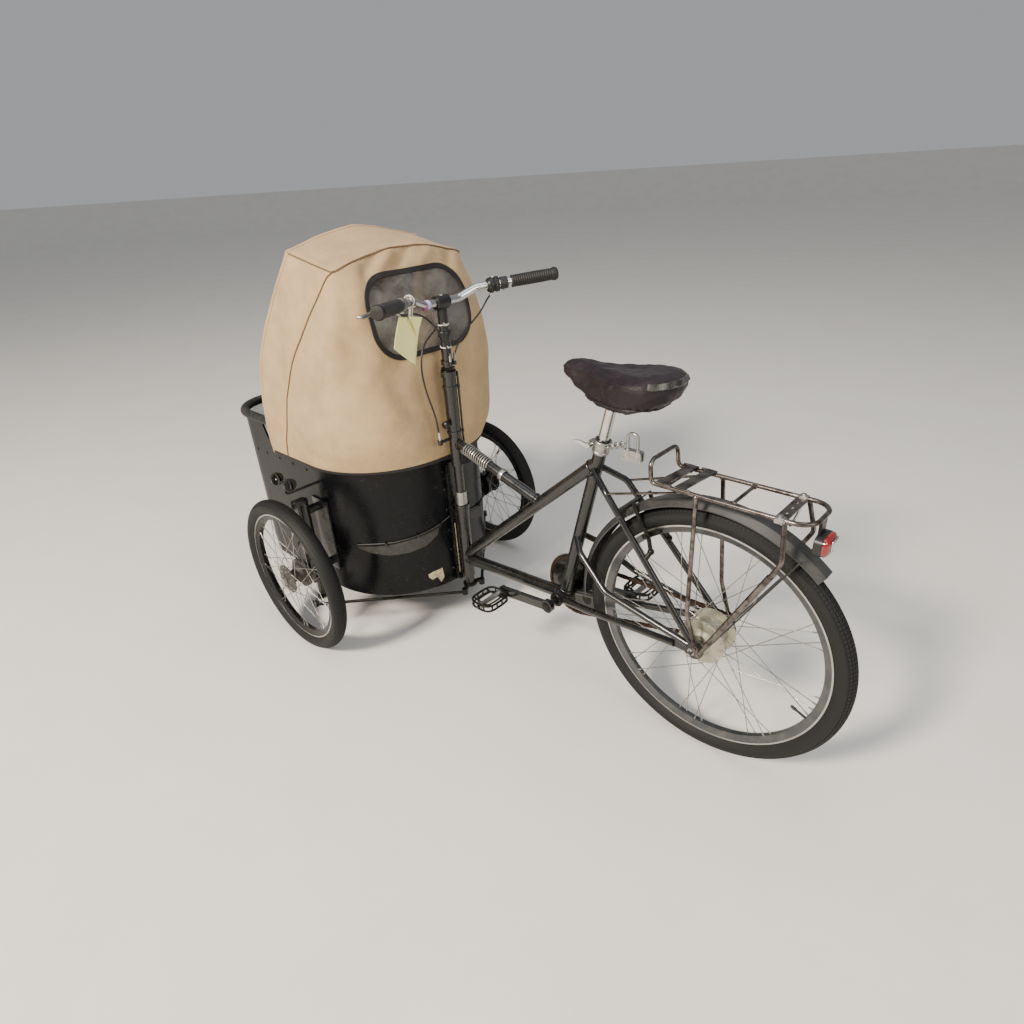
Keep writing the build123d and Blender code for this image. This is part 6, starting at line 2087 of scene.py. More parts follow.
    def shifter(self) -> None:
        """Turn the bulbous twist shifter with its grip flutes and its cable mouth."""
        side = -1
        out = self.axis(side)
        start = self.grip_length + 0.036
        foot = self.along(start + 0.034, side)
        profile = [
            (0.0113, 0.0), (0.015, 0.0), (0.0172, 0.0014), (0.0196, 0.006), (0.0205, 0.011), (0.0205, 0.0165),
            (0.019, 0.0176), (0.0178, 0.0186), (0.0178, 0.02), (0.0192, 0.0212), (0.0196, 0.025), (0.019, 0.031),
            (0.0168, 0.0336), (0.0113, 0.034), (0.0113, 0.0)]
        drum = turned("drum", profile, foot, out[:], steps=48)
        flute = bar("flute", foot + out * 0.0225 + Vector((0, 0, 0.0192)), foot + out * 0.0315 + Vector((0, 0, 0.0186)),
                    0.0016, sides=8, edge=0.0004)
        flutes = repeated("flutes", flute, ring_moves(foot, out[:], 22))
        ahead = self.ahead(side)
        mouth = bar("mouth", foot + ahead * 0.015 + out * 0.01, foot + ahead * 0.016 - out * 0.008, 0.0046, 0.0036)
        mount(joined("twist_shifter", [drum, flutes, mouth]), "steering", PLASTIC, "gear_shifter")
        ring = turned(
            "shifter_ring", [(0.0206, 0.0118), (0.0211, 0.0122), (0.0211, 0.0146), (0.0206, 0.015), (0.02, 0.0146),
            (0.02, 0.0122), (0.0206, 0.0118)], foot, out[:], steps=48)
        mount(ring, "steering", PLASTIC)
        mark = block(
            "shifter_mark", foot + out * 0.0134 + Vector((-0.004, 0, 0.0205)), (0.006, 0.004, 0.0016), (0, 0, 20),
            0.0005)
        mount(mark, "steering", STRING)

    def stem(self) -> None:
        """Make the stem: forged clamp with its slot and bolt, waist, expander bolt and the column's top nut."""
        centre = at(self.column_x, 0, self.bar_z)
        clamp = turned(
            "clamp", [(0.0113, -0.022), (0.0165, -0.022), (0.0178, -0.0205), (0.0182, -0.016), (0.0176, 0.0),
            (0.0182, 0.016), (0.0178, 0.0205), (0.0165, 0.022), (0.0113, 0.022), (0.0113, -0.022)], centre, steps=48)
        waist = turned(
            "waist", [(0.0, -0.0186), (0.0118, -0.0186), (0.0124, -0.017), (0.012, -0.012), (0.0128, -0.006),
            (0.014, -0.002), (0.0, -0.002)], centre, (0, 0, 1), steps=36)
        ears = block("ears", centre + Vector((0.0175, 0, -0.004)), (0.012, 0.02, 0.022), (0, 12, 0), 0.002)
        mount(joined("stem_forging", [clamp, waist, ears]), "steering", PLASTIC, "stem")
        bolt = turned(
            "bolt", [(0.0, 0.0), (0.005, 0.0), (0.0056, 0.001), (0.0056, 0.0048), (0.0048, 0.0056), (0.0, 0.0056)],
            centre + Vector((0.019, 0.0105, -0.004)), (0, 1, 0), steps=6)
        top = turned("top", [(0.0, 0.0004), (0.006, 0.0002), (0.0066, -0.001), (0.0066, -0.005), (0.0, -0.005)],
                     centre + Vector((0, 0, 0.0195)), (0, 0, 1), steps=6)
        mount(joined("stem_bolts", [bolt, top]), "steering", ZINC)

    def column_fittings(self) -> None:
        """Put on the column what it carries: top nut, cable ties, collar and bearing rings."""
        x = self.column_x
        nut = turned(
            "nut", [(0.0142, 0.0), (0.019, 0.0), (0.0196, 0.001), (0.0196, 0.008), (0.0186, 0.009), (0.0142, 0.009),
            (0.0142, 0.0)], at(x, 0, 0.84), (0, 0, 1), steps=6)
        ring = turned(
            "ring", [(0.0142, 0.0), (0.0205, 0.0), (0.0212, 0.0012), (0.0205, 0.0024), (0.0142, 0.0024),
            (0.0142, 0.0)], at(x, 0, 0.8384), (0, 0, 1), steps=40)
        mount(joined("head_bearing_nut", [nut, ring]), "steering", DARK_STEEL)
        ties = []
        for z, tilt in ((0.964, 0.002), (0.905, -0.003)):
            loop = turned(
                "tie", [(0.0142, -0.0014), (0.0153, -0.0014), (0.0153, 0.0014), (0.0142, 0.0014), (0.0142, -0.0014)],
                at(x, 0, z), (tilt * 40, 0.03, 1), steps=32)
            lock = block("lock", at(x - 0.015, 0.006, z), (0.0045, 0.005, 0.004), (0, 0, 20), 0.0006)
            tail = block("tail", at(x - 0.02, 0.0105, z + 0.004), (0.015, 0.0022, 0.0009), (0, -28, 24), 0.0002)
            ties += [loop, lock, tail]
        mount(joined("column_cable_ties", ties), "steering", STRING)
        collar = turned(
            "collar", [(0.0142, 0.0), (0.0176, 0.0), (0.0184, 0.0012), (0.0184, 0.0138), (0.0176, 0.015),
            (0.0142, 0.015), (0.0142, 0.0)], at(x, 0, 0.932), (0, 0, 1), steps=40)
        mount(collar, "steering", PLASTIC)
        sleeve = turned(
            "sleeve_rings", [(0.0171, 0.0), (0.018, 0.0006), (0.018, 0.004), (0.0171, 0.0046), (0.0168, 0.0023),
            (0.0171, 0.0)], at(x, 0, 0.43), (0, 0, 1), steps=40)
        twin = copied(sleeve, "sleeve_ring_upper", Matrix.Translation((0, 0, 0.034)))
        mount(joined("sleeve_rings", [sleeve, twin]), "steering", ZINC)

    def tapes(self) -> None:
        """Wrap the two coloured tapes round the bar, left of the stem."""
        for name, place, finish, width in (
                ("pink_tape", 0.061, PINK_TAPE, 0.0085), ("blue_tape", 0.049, BLUE_TAPE, 0.01)):
            half = width / 2
            band = turned(
                name, [(0.0111, -half), (0.0118, -half), (0.0121, -half * 0.6), (0.0119, 0.0), (0.0122, half * 0.7),
                (0.0118, half), (0.0111, half), (0.0111, -half)], at(self.column_x, place, self.bar_z), steps=40)
            mount(band, "steering", finish)

    def tag(self) -> None:
        """Fold the blank card tag and hang it from the bar on three turns of string."""
        loops = []
        for k, (y, drop, lean) in enumerate(((0.118, 0.012, 0.004), (0.128, 0.014, -0.003), (0.123, 0.01, 0.0))):
            ring = []
            for step in range(13):
                angle = math.radians(-130 + 300 * step / 12)
                ring.append(at(self.column_x - 0.024 + 0.0155 * math.cos(angle), y + lean * math.sin(angle) + 0.002 * k,
                               self.bar_z + 0.0225 + 0.0155 * math.sin(angle)))
            ring += [at(0.7985, y + 0.004, self.bar_z - drop + 0.012), at(0.797, y + 0.006, self.bar_z - drop - 0.01)]
            loops.append(tube("string", ring, 0.0011))
        mount(joined("tag_string", loops), "steering", STRING)
        corners = ((0.798, 0.164, 1.015), (0.806, 0.09, 0.999), (0.797, 0.13, 0.888), (0.79, 0.196, 0.945))
        front = [at(*c) for c in corners]
        across = front[1] - front[0]
        down = front[3] - front[0]
        way = across.cross(down).normalized()
        wide, tall = 8, 14
        rows = []
        for i in range(tall + 1):
            t = i / tall
            left, right = front[0].lerp(front[3], t), front[1].lerp(front[2], t)
            curl = 0.0035 * math.sin(2.4 * t)
            rows.append([left.lerp(right, j / wide) + way * (0.0045 * math.sin(math.pi * j / wide) + curl)
                         for j in range(wide + 1)])
        clear_selection()
        bpy.ops.mesh.primitive_grid_add(x_subdivisions=wide, y_subdivisions=tall, size=0.1)
        card = bpy.context.object
        for index, corner in enumerate(card.data.vertices):
            row, column = divmod(index, wide + 1)
            corner.co = rows[tall - row][column]
        card = settle("blank_card_tag")
        face_outwards(card)
        apply_modifier(card, "SOLIDIFY", thickness=0.0007, offset=0.0)
        flap = [at(0.7965, 0.1345, 1.011), at(0.803, 0.088, 1.0), at(0.7975, 0.115, 0.96)]
        fold = plate("card_fold", flap, way * -0.0007, 0.0001)
        mount(joined("blank_card_tag", [card, fold]), "steering", CARD)

    def build(self) -> None:
        """Make the controls and what hangs on the bar."""
        self.stem()
        self.grips()
        self.levers()
        self.shifter()
        self.column_fittings()
        self.tapes()
        self.tag()


# Saddle


@dataclass
class Saddle:
    """The loose padded cover over the saddle, gathered under by its cord, and the vinyl that shows behind it.

    Attributes:
        rows: levels as (z, rear x, nose x, half width at the hips, half width at the nose).
        tail_x: where the saddle's tail is.
        nose_x: where its nose is.
        inflate_cap: how far the cushion may swell.
        voxel: size of the cushion's cells.
        around: corners in one level.
    """

    rows: tuple[tuple[float, ...], ...] = (
        (0.837, 0.208, 0.312, 0.04, 0.02), (0.848, 0.175, 0.336, 0.058, 0.024), (0.862, 0.142, 0.36, 0.074, 0.028),
        (0.88, 0.118, 0.386, 0.088, 0.03), (0.9, 0.106, 0.409, 0.096, 0.029), (0.915, 0.106, 0.411, 0.094, 0.026),
        (0.925, 0.118, 0.402, 0.082, 0.02))
    tail_x: float = 0.104
    nose_x: float = 0.416
    inflate_cap: float = 0.005
    voxel: float = 0.005
    around: int = 56

    def outline(self, row: tuple[float, ...]) -> list[Vector]:
        """Draw one level of the cover: round tail, waist and narrow nose.

        Args:
            row: the level section.

        Returns:
            Its corners in order.
        """
        z, rear, nose, half, tip = row
        span = nose - rear
        spots = []
        for k in range(self.around):
            angle = TURN * k / self.around
            lead = 0.5 - 0.5 * math.cos(angle)
            x = rear + span * lead
            taper = min(1.0, max(0.0, (lead - 0.14) / 0.72))
            blend = taper * taper * (3 - 2 * taper)
            width = half * (1 - blend) + (tip + 0.008) * blend
            side = signed(math.sin(angle), 0.7)
            spots.append(at(x, side * width, z))
        return spots

    def cushion(self) -> Piece:
        """Loft the levels into a closed form, let cloth pressure fill it and cap how far it swells.

        Returns:
            The padded cover.
        """
        levels = [self.outline(row) for row in self.rows]
        count = self.around
        spots = [p for level in levels for p in level]
        faces = []
        for j in range(len(levels) - 1):
            for k in range(count):
                n = (k + 1) % count
                faces.append((j * count + k, j * count + n, (j + 1) * count + n, (j + 1) * count + k))
        faces.append(tuple(reversed(range(count))))
        faces.append(tuple((len(levels) - 1) * count + k for k in range(count)))
        cover = sewn("saddle_cover", spots, faces)
        apply_modifier(cover, "REMESH", mode="VOXEL", voxel_size=self.voxel)
        start = [v.co.copy() for v in cover.data.vertices]
        take(cover)
        cloth = cover.modifiers.new("filling", "CLOTH")
        cloth.settings.use_pressure = True
        cloth.settings.uniform_pressure_force = 4.0
        cloth.settings.effector_weights.gravity = 0.0
        cloth.settings.quality = 5
        for step in range(1, 21):
            bpy.context.scene.frame_set(step)
        bpy.ops.object.modifier_apply(modifier=cloth.name)
        bpy.context.scene.frame_set(1)
        for corner, before in zip(cover.data.vertices, start):
            move = corner.co - before
            if move.length > self.inflate_cap:
                corner.co = before + move * (self.inflate_cap / move.length)
        return cover

    def wrinkle(self, cover: Piece) -> None:
        """Dish the top, draw gathers up from the hem and let folds run over the hips.

        Args:
            cover: the padded cover.
        """
        mesh = cover.data
        mesh.update()
        hem_z = self.rows[0][0]
        for corner in mesh.vertices:
            spot, way = corner.co.copy(), corner.normal.copy()
            x = spot.x - AXLE_X
            lead = (x - self.tail_x) / (self.nose_x - self.tail_x)
            low = max(0.0, 1 - (spot.z - hem_z) / 0.04)
            gather = 0.0034 * low * math.sin(math.atan2(spot.y, x - 0.22) * 30 + 3 * noise.noise(spot * 20))
            fold = 0.0034 * noise.noise(Vector((x * 16, spot.y * 22, spot.z * 40))) + 0.0018 * noise.noise(spot * 60)
            drape = 0.0036 * math.sin(
                (x * 34 + abs(spot.y) * 26) + 4 * noise.noise(spot * 9)) * max(0.0, 1 - abs(way.z) * 1.3)
            corner.co = spot + way * (gather + fold + drape * 0.6)
            if way.z > 0.4:
                dish = math.exp(-(((lead - 0.42) / 0.22) ** 2)) * math.exp(-((spot.y / 0.05) ** 2))
                corner.co.z -= 0.006 * dish - 0.0045 * math.exp(-(((lead - 0.1) / 0.12) ** 2))
        mesh.update()

    def hem(self, skin: BVHTree) -> None:
        """Sew the drawn hem with its cord casing, and the seam that runs round the top panel.

        Args:
            skin: surface of the cover.
        """
        for name, z, grow, width, thick in (
                ("saddle_hem", 0.85, 0.0008, 0.009, 0.004), ("saddle_top_seam", 0.912, 0.0004, 0.0045, 0.0022)):
            spots, outs = [], []
            for k in range(96):
                angle = TURN * k / 96
                lead = 0.5 - 0.5 * math.cos(angle)
                centre = at(
                    self.tail_x + (self.nose_x - self.tail_x) * (0.25 + 0.5 * lead), 0,
                    z + (0.01 * (1 - lead) if "hem" in name else 0))
                out = Vector((-math.cos(angle), math.sin(angle) * 0.75, 0)).normalized()
                found, way, _, _ = skin.ray_cast(centre + out * 0.3, -out)
                if found is None:
                    continue
                spots.append(found + way * grow)
                outs.append(way if way.dot(out) > 0 else -way)
            tape = strip(name, spots, outs, width, thick, closed=True)
            mount(tape, "frame", COVER)

    def lip(self, skin: BVHTree) -> None:
        """Show the smooth vinyl of the saddle's own tail where the cover has ridden up.

        Args:
            skin: surface of the cover.
        """
        spots, outs = [], []
        heart = at(0.2, 0.0, 0.917)
        for k in range(13):
            angle = math.radians(-26 + 78 * k / 12)
            out = Vector((-math.cos(angle), math.sin(angle), 0))
            found, _, _, _ = skin.ray_cast(heart + out * 0.3, -out)
            spots.append(found + out * 0.0006)
            outs.append((out + Vector((0, 0, 0.5))).normalized())
        band = strip("saddle_tail_vinyl", spots, outs, 0.014, 0.0036)
        mount(band, "frame", SADDLE_VINYL)

    def build(self) -> None:
        cover = self.cushion()
        self.wrinkle(cover)
        apply_modifier(cover, "SUBSURF", levels=1, render_levels=1)
        bpy.ops.object.shade_smooth()
        wrap_flat(cover)
        skin = skin_of(cover)
        mount(cover, "frame", COVER, "saddle")
        self.hem(skin)
        self.lip(skin)


def wrap_flat(piece: Piece) -> None:
    """Give a cushion a UV map in metres, seen along the way each face looks most.

    Args:
        piece: the cushion.
    """
    mesh = piece.data
    layer = mesh.uv_layers.new(name="cloth")
    for face in mesh.polygons:
        lie = [abs(v) for v in face.normal]
        drop = lie.index(max(lie))
        kept = [axis for axis in range(3) if axis != drop]
        for loop in face.loop_indices:
            spot = mesh.vertices[mesh.loops[loop].vertex_index].co
            layer.data[loop].uv = (spot[kept[0]], spot[kept[1]])


# Seat post, clamp and lock


@dataclass
class SeatPost:
    """Post head with its clamp under the saddle, the seat tube's clamp with its bolt, and the padlock's trim.

    Attributes:
        lean_deg: how far the seat tube leans back.
        bracket: where the bottom bracket is, as (x, z) from the rear axle.
    """

    lean_deg: float = 14.6
    bracket: tuple[float, float] = (0.428, 0.262)

    def up_tube(self, distance: float) -> Vector:
        """Give a point on the seat tube's axis, by distance from the bottom bracket."""
        lean = math.radians(self.lean_deg)
        return at(self.bracket[0] - distance * math.sin(lean), 0, self.bracket[1] + distance * math.cos(lean))

    def build(self) -> None:
        """Make the clamp's rings, bolt, quick lever and the lock's details."""
        run = (self.up_tube(1) - self.up_tube(0)).normalized()
        ring = [(0.0206, 0.0), (0.0214, 0.001), (0.0214, 0.004), (0.0206, 0.005), (0.02, 0.0025), (0.0206, 0.0)]
        low = turned("ring", ring, self.up_tube(0.4715), run[:], steps=40)
        high = turned("ring", ring, self.up_tube(0.4975), run[:], steps=40)
        mount(joined("seat_clamp_beads", [low, high]), "frame", ZINC)
        gap = turned(
            "wiper", [(0.0136, 0.0), (0.0165, 0.0), (0.0172, 0.0012), (0.016, 0.0034), (0.0136, 0.0034),
            (0.0136, 0.0)], self.up_tube(0.5042), run[:], steps=40)
        mount(gap, "frame", PLASTIC)
        hold = self.up_tube(0.487)
        ear = hold + Vector((0.0285, 0, 0))
        lever = [
            ear + Vector(spot) for spot in ((0.0, 0.0185, 0.004), (0.01, 0.02, 0.01), (0.024, 0.0215, 0.012),
            (0.04, 0.0215, 0.008), (0.041, 0.0215, 0.001), (0.024, 0.0215, 0.001), (0.008, 0.02, -0.004))]
        blade = plate("blade", lever, Vector((0, 0.0032, 0)), 0.0012)
        knob = turned(
            "knob", [(0.0, 0.0), (0.0068, 0.0), (0.0078, 0.0012), (0.0078, 0.0048), (0.0066, 0.0062), (0.0, 0.0062)],
            ear + Vector((0, 0.015, 0)), (0, 1, 0), steps=28)
        nut = turned(
            "nut", [(0.0, 0.0), (0.0074, 0.0), (0.0082, -0.0012), (0.0082, -0.0055), (0.007, -0.0068),
            (0.0, -0.0068)], ear + Vector((0, -0.0138, 0)), (0, 1, 0), steps=6)
        mount(joined("seat_clamp_lever", [blade, knob, nut]), "frame", BAR_ALLOY)
        band = block("lock_band", at(0.201, 0.03, 0.744), (0.051, 0.01, 0.02), edge=0.003)
        mount(band, "frame", PLASTIC)
        rivets = [
            turned("rivet", [(0.0, 0.0), (0.0022, 0.0), (0.0016, 0.001), (0.0, 0.0012)], at(0.201 + dx, 0.0378,
            0.744 + dz), (0, 1, 0), steps=12) for dx in (-0.019, 0.019) for dz in (-0.008, 0.008)]
        mount(joined("lock_rivets", rivets), "frame", ZINC)
        sockets = [
            turned("mouth", [(0.0036, 0.0), (0.0058, 0.0), (0.0052, 0.0018), (0.0036, 0.002), (0.0036, 0.0)],
            at(0.201 + dx, 0.03, 0.757), (0, 0, 1), steps=20) for dx in (-0.013, 0.013)]
        mount(joined("lock_mouths", sockets), "frame", ZINC)


# Rack and rear light


@dataclass
class RearRack:
    """What is bolted to the rack: strap rollers, tail bracket, clamp bands, and the lamp with its reflector.

    Attributes:
        rail_z: height of the rack's rails.
        rail_y: distance of a rail from the middle.
        rear_x: where the rack ends, measured from the rear axle.
    """

    rail_z: float = 0.706
    rail_y: float = 0.057
    rear_x: float = -0.205

    def fittings(self) -> None:
        """Set the cross rods' collars, strap rollers, leg eyes, tail plate clamps and the guard's fork."""
        collars, rollers = [], []
        for x in (0.1, -0.046):
            for side in (1, -1):
                collars.append(
                    turned("collar", [(0.0042, 0.0), (0.0062, 0.0004), (0.0066, 0.003), (0.0052, 0.0052),
                    (0.0042, 0.0054), (0.0042, 0.0)], at(x, side * (self.rail_y - 0.0105), self.rail_z),
                    (0, side, 0), steps=20))
        for x in (0.104, 0.06):
            for side in (1, -1):
                tilt = math.radians(6) * side
                rollers.append(bar("roller", at(x - 0.0125 - 0.062 * tilt, side * 0.06, self.rail_z + 0.0062),
                                   at(x + 0.0125 - 0.062 * tilt, side * 0.06, self.rail_z + 0.0062), 0.0026, sides=14))
        for top_x, foot_x, foot_rise in ((0.028, -0.01, 0.017), (-0.155, -0.019, 0.004)):
            for side in (1, -1):
                y = 0.08
                rollers.append(
                    turned("eye", [(0.0, 0.0), (0.0085, 0.0), (0.0095, 0.0012), (0.009, 0.0034), (0.005, 0.004),
                    (0.0048, 0.0075), (0.0, 0.0078)], at(foot_x, side * y, 0.327 + foot_rise), (0, side, 0),
                    steps=20))
                rollers.append(
                    turned("weld", [(0.005, -0.004), (0.0066, -0.002), (0.007, 0.0), (0.006, 0.003), (0.005, 0.004),
                    (0.005, -0.004)], at(top_x, side * (self.rail_y + 0.0015), self.rail_z - 0.003), (0.1, 0, 1),
                    steps=18))
        mount(joined("rack_collars", collars), "frame", RUSTY_CHROME)
        mount(joined("rack_rollers_and_eyes", rollers), "frame", RUSTY_CHROME)
        clamps = []
        for side in (1, -1):
            clamps.append(
                block("clamp", at(-0.145, side * 0.057, self.rail_z - 0.001), (0.02, 0.0155, 0.0135), edge=0.003))
            clamps.append(turned("bolt", [(0.0, 0.0), (0.0046, 0.0), (0.005, 0.0008), (0.005, 0.004), (0.0, 0.0044)],
                                 at(-0.145, side * 0.0565, self.rail_z + 0.0055), (0, 0, 1), steps=6))
        mount(joined("tail_plate_clamps", clamps), "frame", ZINC)
        fork = []
        for side in (1, -1):
            fork.append(
                tube("arm", [at(-0.145, side * 0.034, self.rail_z - 0.003), at(-0.15, side * 0.03, 0.69),
                at(-0.148, side * 0.01, 0.678), at(-0.147, side * 0.003, 0.67)], 0.0028))
        mount(joined("guard_bracket_fork", fork), "frame", ZINC)

    def lamp(self) -> None:
        """Mould the lamp: dark shell, domed red lens, and clear reflector in its bright frame."""
        z = self.rail_z - 0.054
        middle = at(self.rear_x - 0.027, 0, z)
        outline = []
        for k in range(40):
            angle = TURN * k / 40
            outline.append((signed(math.cos(angle), 0.62) * 0.031, signed(math.sin(angle), 0.62) * 0.022))
        shell = plate("lamp_shell", [middle + Vector((0.03, y, h)) for y, h in outline], Vector((-0.017, 0, 0)), 0.0016)
        mount(shell, "frame", PLASTIC, "rear_light")
        bracket = block("lamp_bracket", at(self.rear_x, 0, z + 0.0245), (0.0058, 0.028, 0.049), edge=0.0014)
        mount(bracket, "frame", DARK_STEEL)
        lens = plate("lamp_lens", [middle + Vector((0.0135, y * 0.97, h * 0.97)) for y, h in outline],
                     Vector((-0.0045, 0, 0)), 0.0002)
        cap = [face.index for face in lens.data.polygons if face.normal.x < -0.95]
        choose_faces(lens, cap)
        for draw, push in ((0.0018, 0.0028), (0.0028, 0.0022), (0.004, 0.0018), (0.0052, 0.001)):
            bpy.ops.mesh.extrude_region_move(TRANSFORM_OT_translate={"value": (-push, 0, 0)})
            share = 1 - draw / 0.026
            bpy.ops.transform.resize(value=(1, share, share), center_override=middle[:])
        bpy.ops.object.mode_set(mode="OBJECT")
        take(lens)
        bpy.ops.object.shade_smooth_by_angle(angle=math.radians(40))
        mount(lens, "frame", LENS)
        pane = block("lamp_reflector", middle + Vector((-0.0008, 0, 0.0035)), (0.004, 0.026, 0.02), edge=0.0012)
        mount(pane, "frame", CLEAR_LENS)
        frame_ring = [
            middle + Vector((0.0002, y, h)) for y, h in ((-0.0145, -0.008), (0.0145, -0.008), (0.0145, 0.015),
            (-0.0145, 0.015))]
        rims = [
            bar("rim", a, b, 0.0014, sides=8, edge=0.0003) for a,
            b in zip(frame_ring, frame_ring[1:] + frame_ring[:1])]
        mount(joined("lamp_reflector_frame", rims), "frame", BAR_ALLOY)

    def build(self) -> None:
        """Make the rack's fittings and the lamp."""
        self.fittings()
        self.lamp()


# Drive


@dataclass
class Drive:
    """Chain, toothed ring, cranks' ends and both pedals.

    Attributes:
        bracket: where the crank axle is, as (x, z) from the rear axle.
        wheel_z: height of the rear axle.
        ring_r: pitch radius of the chainring.
        sprocket_r: pitch radius of the rear sprocket.
        line_y: where the chain runs.
        pitch: length of one chain link.
        crank: length of a crank.
        crank_deg: angle of the left crank over level.
    """

    bracket: tuple[float, float] = (0.428, 0.262)
    wheel_z: float = 0.327
    ring_r: float = 0.088
    sprocket_r: float = 0.04
    line_y: float = -0.05
    pitch: float = 0.0127
    crank: float = 0.17
    crank_deg: float = -6.7

    def chain_line(self) -> list[tuple[Vector, float]]:
        """Walk once round the chain and give each link's middle and heading.

        Returns:
            Middle and heading of each link.
        """
        ring = Vector(self.bracket)
        small = Vector((0.0, self.wheel_z))
        span = ring - small
        heading = math.atan2(span.y, span.x)
        spread = math.acos((self.sprocket_r - self.ring_r) / span.length)
        upper, lower = heading + spread, heading - spread

        def reach(angle: float, radius: float) -> Vector:
            """Give the point at an angle and radius from a wheel's middle."""
            return Vector((math.cos(angle), math.sin(angle))) * radius

        a, d = (small + reach(angle, self.sprocket_r) for angle in (upper, lower))
        b, c = (ring + reach(angle, self.ring_r) for angle in (upper, lower))
        front = 2 * spread
        runs = [(b - a).length, self.ring_r * front, (d - c).length, self.sprocket_r * (TURN - front)]
        total = sum(runs)
        count = 2 * round(total / self.pitch / 2)
        places = []
        for k in range(count):
            way = total * k / count
            if way < runs[0]:
                spot, turn = a.lerp(b, way / runs[0]), math.atan2((b - a).y, (b - a).x)
            elif way < runs[0] + runs[1]:
                angle = upper - (way - runs[0]) / self.ring_r
                spot = ring + reach(angle, self.ring_r)
                turn = angle - math.pi / 2
            elif way < sum(runs[:3]):
                share = (way - runs[0] - runs[1]) / runs[2]
                spot, turn = c.lerp(d, share), math.atan2((d - c).y, (d - c).x)
            else:
                angle = lower - (way - sum(runs[:3])) / self.sprocket_r
                spot = small + reach(angle, self.sprocket_r)
                turn = angle - math.pi / 2
            places.append((at(spot.x, self.line_y, spot.y), turn))
        return places

    def chain(self) -> None:
        """Press one wide and one narrow link with their rollers, and lay them by turns along the chain."""
        half = self.pitch / 2
        outline = []
        for k in range(10):
            angle = math.radians(-75 + 150 * k / 9)
            outline.append((half + 0.0042 * math.cos(angle), 0.0042 * math.sin(angle)))
        outline += [(-x, -z) for x, z in outline]
        links = []
        for wide in (False, True):
            y = 0.0032 if wide else 0.0021
            sides = [plate("link", [Vector((x, way * y, z)) for x, z in outline], Vector((0, way * 0.0009, 0)), 0.0001)
                     for way in (1, -1)]
            pins = [bar("pin", Vector((x, -0.0042, 0)), Vector((x, 0.0042, 0)), 0.003 if wide else 0.0018, sides=10,
                        edge=0.0002) for x in (half, -half)]
            links.append(joined("link", sides + pins))
        twins = []
        for index, (spot, turn) in enumerate(self.chain_line()):
            move = Matrix.Translation(spot) @ Matrix.Rotation(-turn, 4, (0, 1, 0))
            twins.append(copied(links[index % 2], "chain_link", move))
        for link in links:
            bpy.data.objects.remove(link, do_unlink=True)
        mount(joined("roller_chain", twins), "frame", CHAIN, "chain")

    def teeth(self) -> None:
        """Cut the chainring's teeth, and bead the edge of its guard disc."""
        centre = at(self.bracket[0], 0, self.bracket[1])
        count = 44
        outline = []
        for k in range(count):
            for share, reach in (
                    (0.0, 0.0832), (0.25, 0.0838), (0.4, 0.0878), (0.5, 0.0886), (0.6, 0.0878), (0.75, 0.0838)):
                angle = TURN * (k + share) / count
                outline.append(centre + Vector((reach * math.cos(angle), self.line_y + 0.001, reach * math.sin(angle))))
        ring = plate("chainring_teeth", outline, Vector((0, -0.002, 0)), 0.0001)
        mount(ring, "cranks", DARK_STEEL)
        bead = turned(
            "guard_disc_bead", [(0.095, -0.057), (0.0965, -0.0582), (0.0985, -0.0578), (0.099, -0.0565),
            (0.0985, -0.0552), (0.0965, -0.055), (0.095, -0.057)], centre, steps=96)
        mount(bead, "cranks", ZINC)

    def ends(self) -> None:
        """Set the axle's caps, the bearing cups and each pedal's axle nut."""
        for side, word, turn in ((1, "left", self.crank_deg), (-1, "right", self.crank_deg + 180)):
            centre = at(self.bracket[0], 0, self.bracket[1])
            cap = turned(
                f"crank_axle_cap_{word}", [(0.0, 0.0832), (0.007, 0.0832), (0.0095, 0.0826), (0.01, 0.0812),
                (0.015, 0.0812), (0.017, 0.0806), (0.017, 0.079), (0.0, 0.079)], centre, (0, side, 0), steps=32)
            mount(cap, "cranks", DARK_STEEL)
            cup = turned(
                f"bracket_cup_{word}", [(0.011, 0.0352), (0.019, 0.0352), (0.0208, 0.036), (0.0208, 0.04),
                (0.0195, 0.0415), (0.011, 0.0415), (0.011, 0.0352)], centre, (0, side, 0), steps=8)
            mount(cup, "frame", DARK_STEEL)
            angle = math.radians(turn)
            tip = centre + Vector((self.crank * math.cos(angle), 0, self.crank * math.sin(angle)))
            nut = turned(
                f"pedal_axle_nut_{word}", [(0.0046, 0.0812), (0.0085, 0.0812), (0.009, 0.082), (0.009, 0.085),
                (0.0082, 0.086), (0.0046, 0.086), (0.0046, 0.0812)], tip, (0, side, 0), steps=6)
            mount(nut, "cranks", ZINC)

    def pedal(self, side: int, word: str, turn: float) -> None:
        """Bend one cage pedal: two outer hoops and an inner one, posts, ribs and the barrel on its axle.

        Args:
            side: side of the tricycle, as a sign.
            word: name of that side.
            turn: angle of its crank over level, in degrees.
        """
        angle = math.radians(turn)
        centre = at(
            self.bracket[0] + self.crank * math.cos(angle), side * 0.13,
            self.bracket[1] + self.crank * math.sin(angle))

        def hoop(half_x: float, half_y: float, radius: float, lift: float) -> Piece:
            """Bend one closed hoop of the cage.

            Args:
                half_x: half its length.
                half_y: half its width.
                radius: radius of its wire.
                lift: height over the axle.

            Returns:
                The hoop.
            """
            ring = []
            for k in range(29):
                t = TURN * k / 28
                ring.append(
                    centre + Vector((signed(math.cos(t), 0.55) * half_x, signed(math.sin(t), 0.55) * half_y, lift)))
            return tube("hoop", ring, radius)

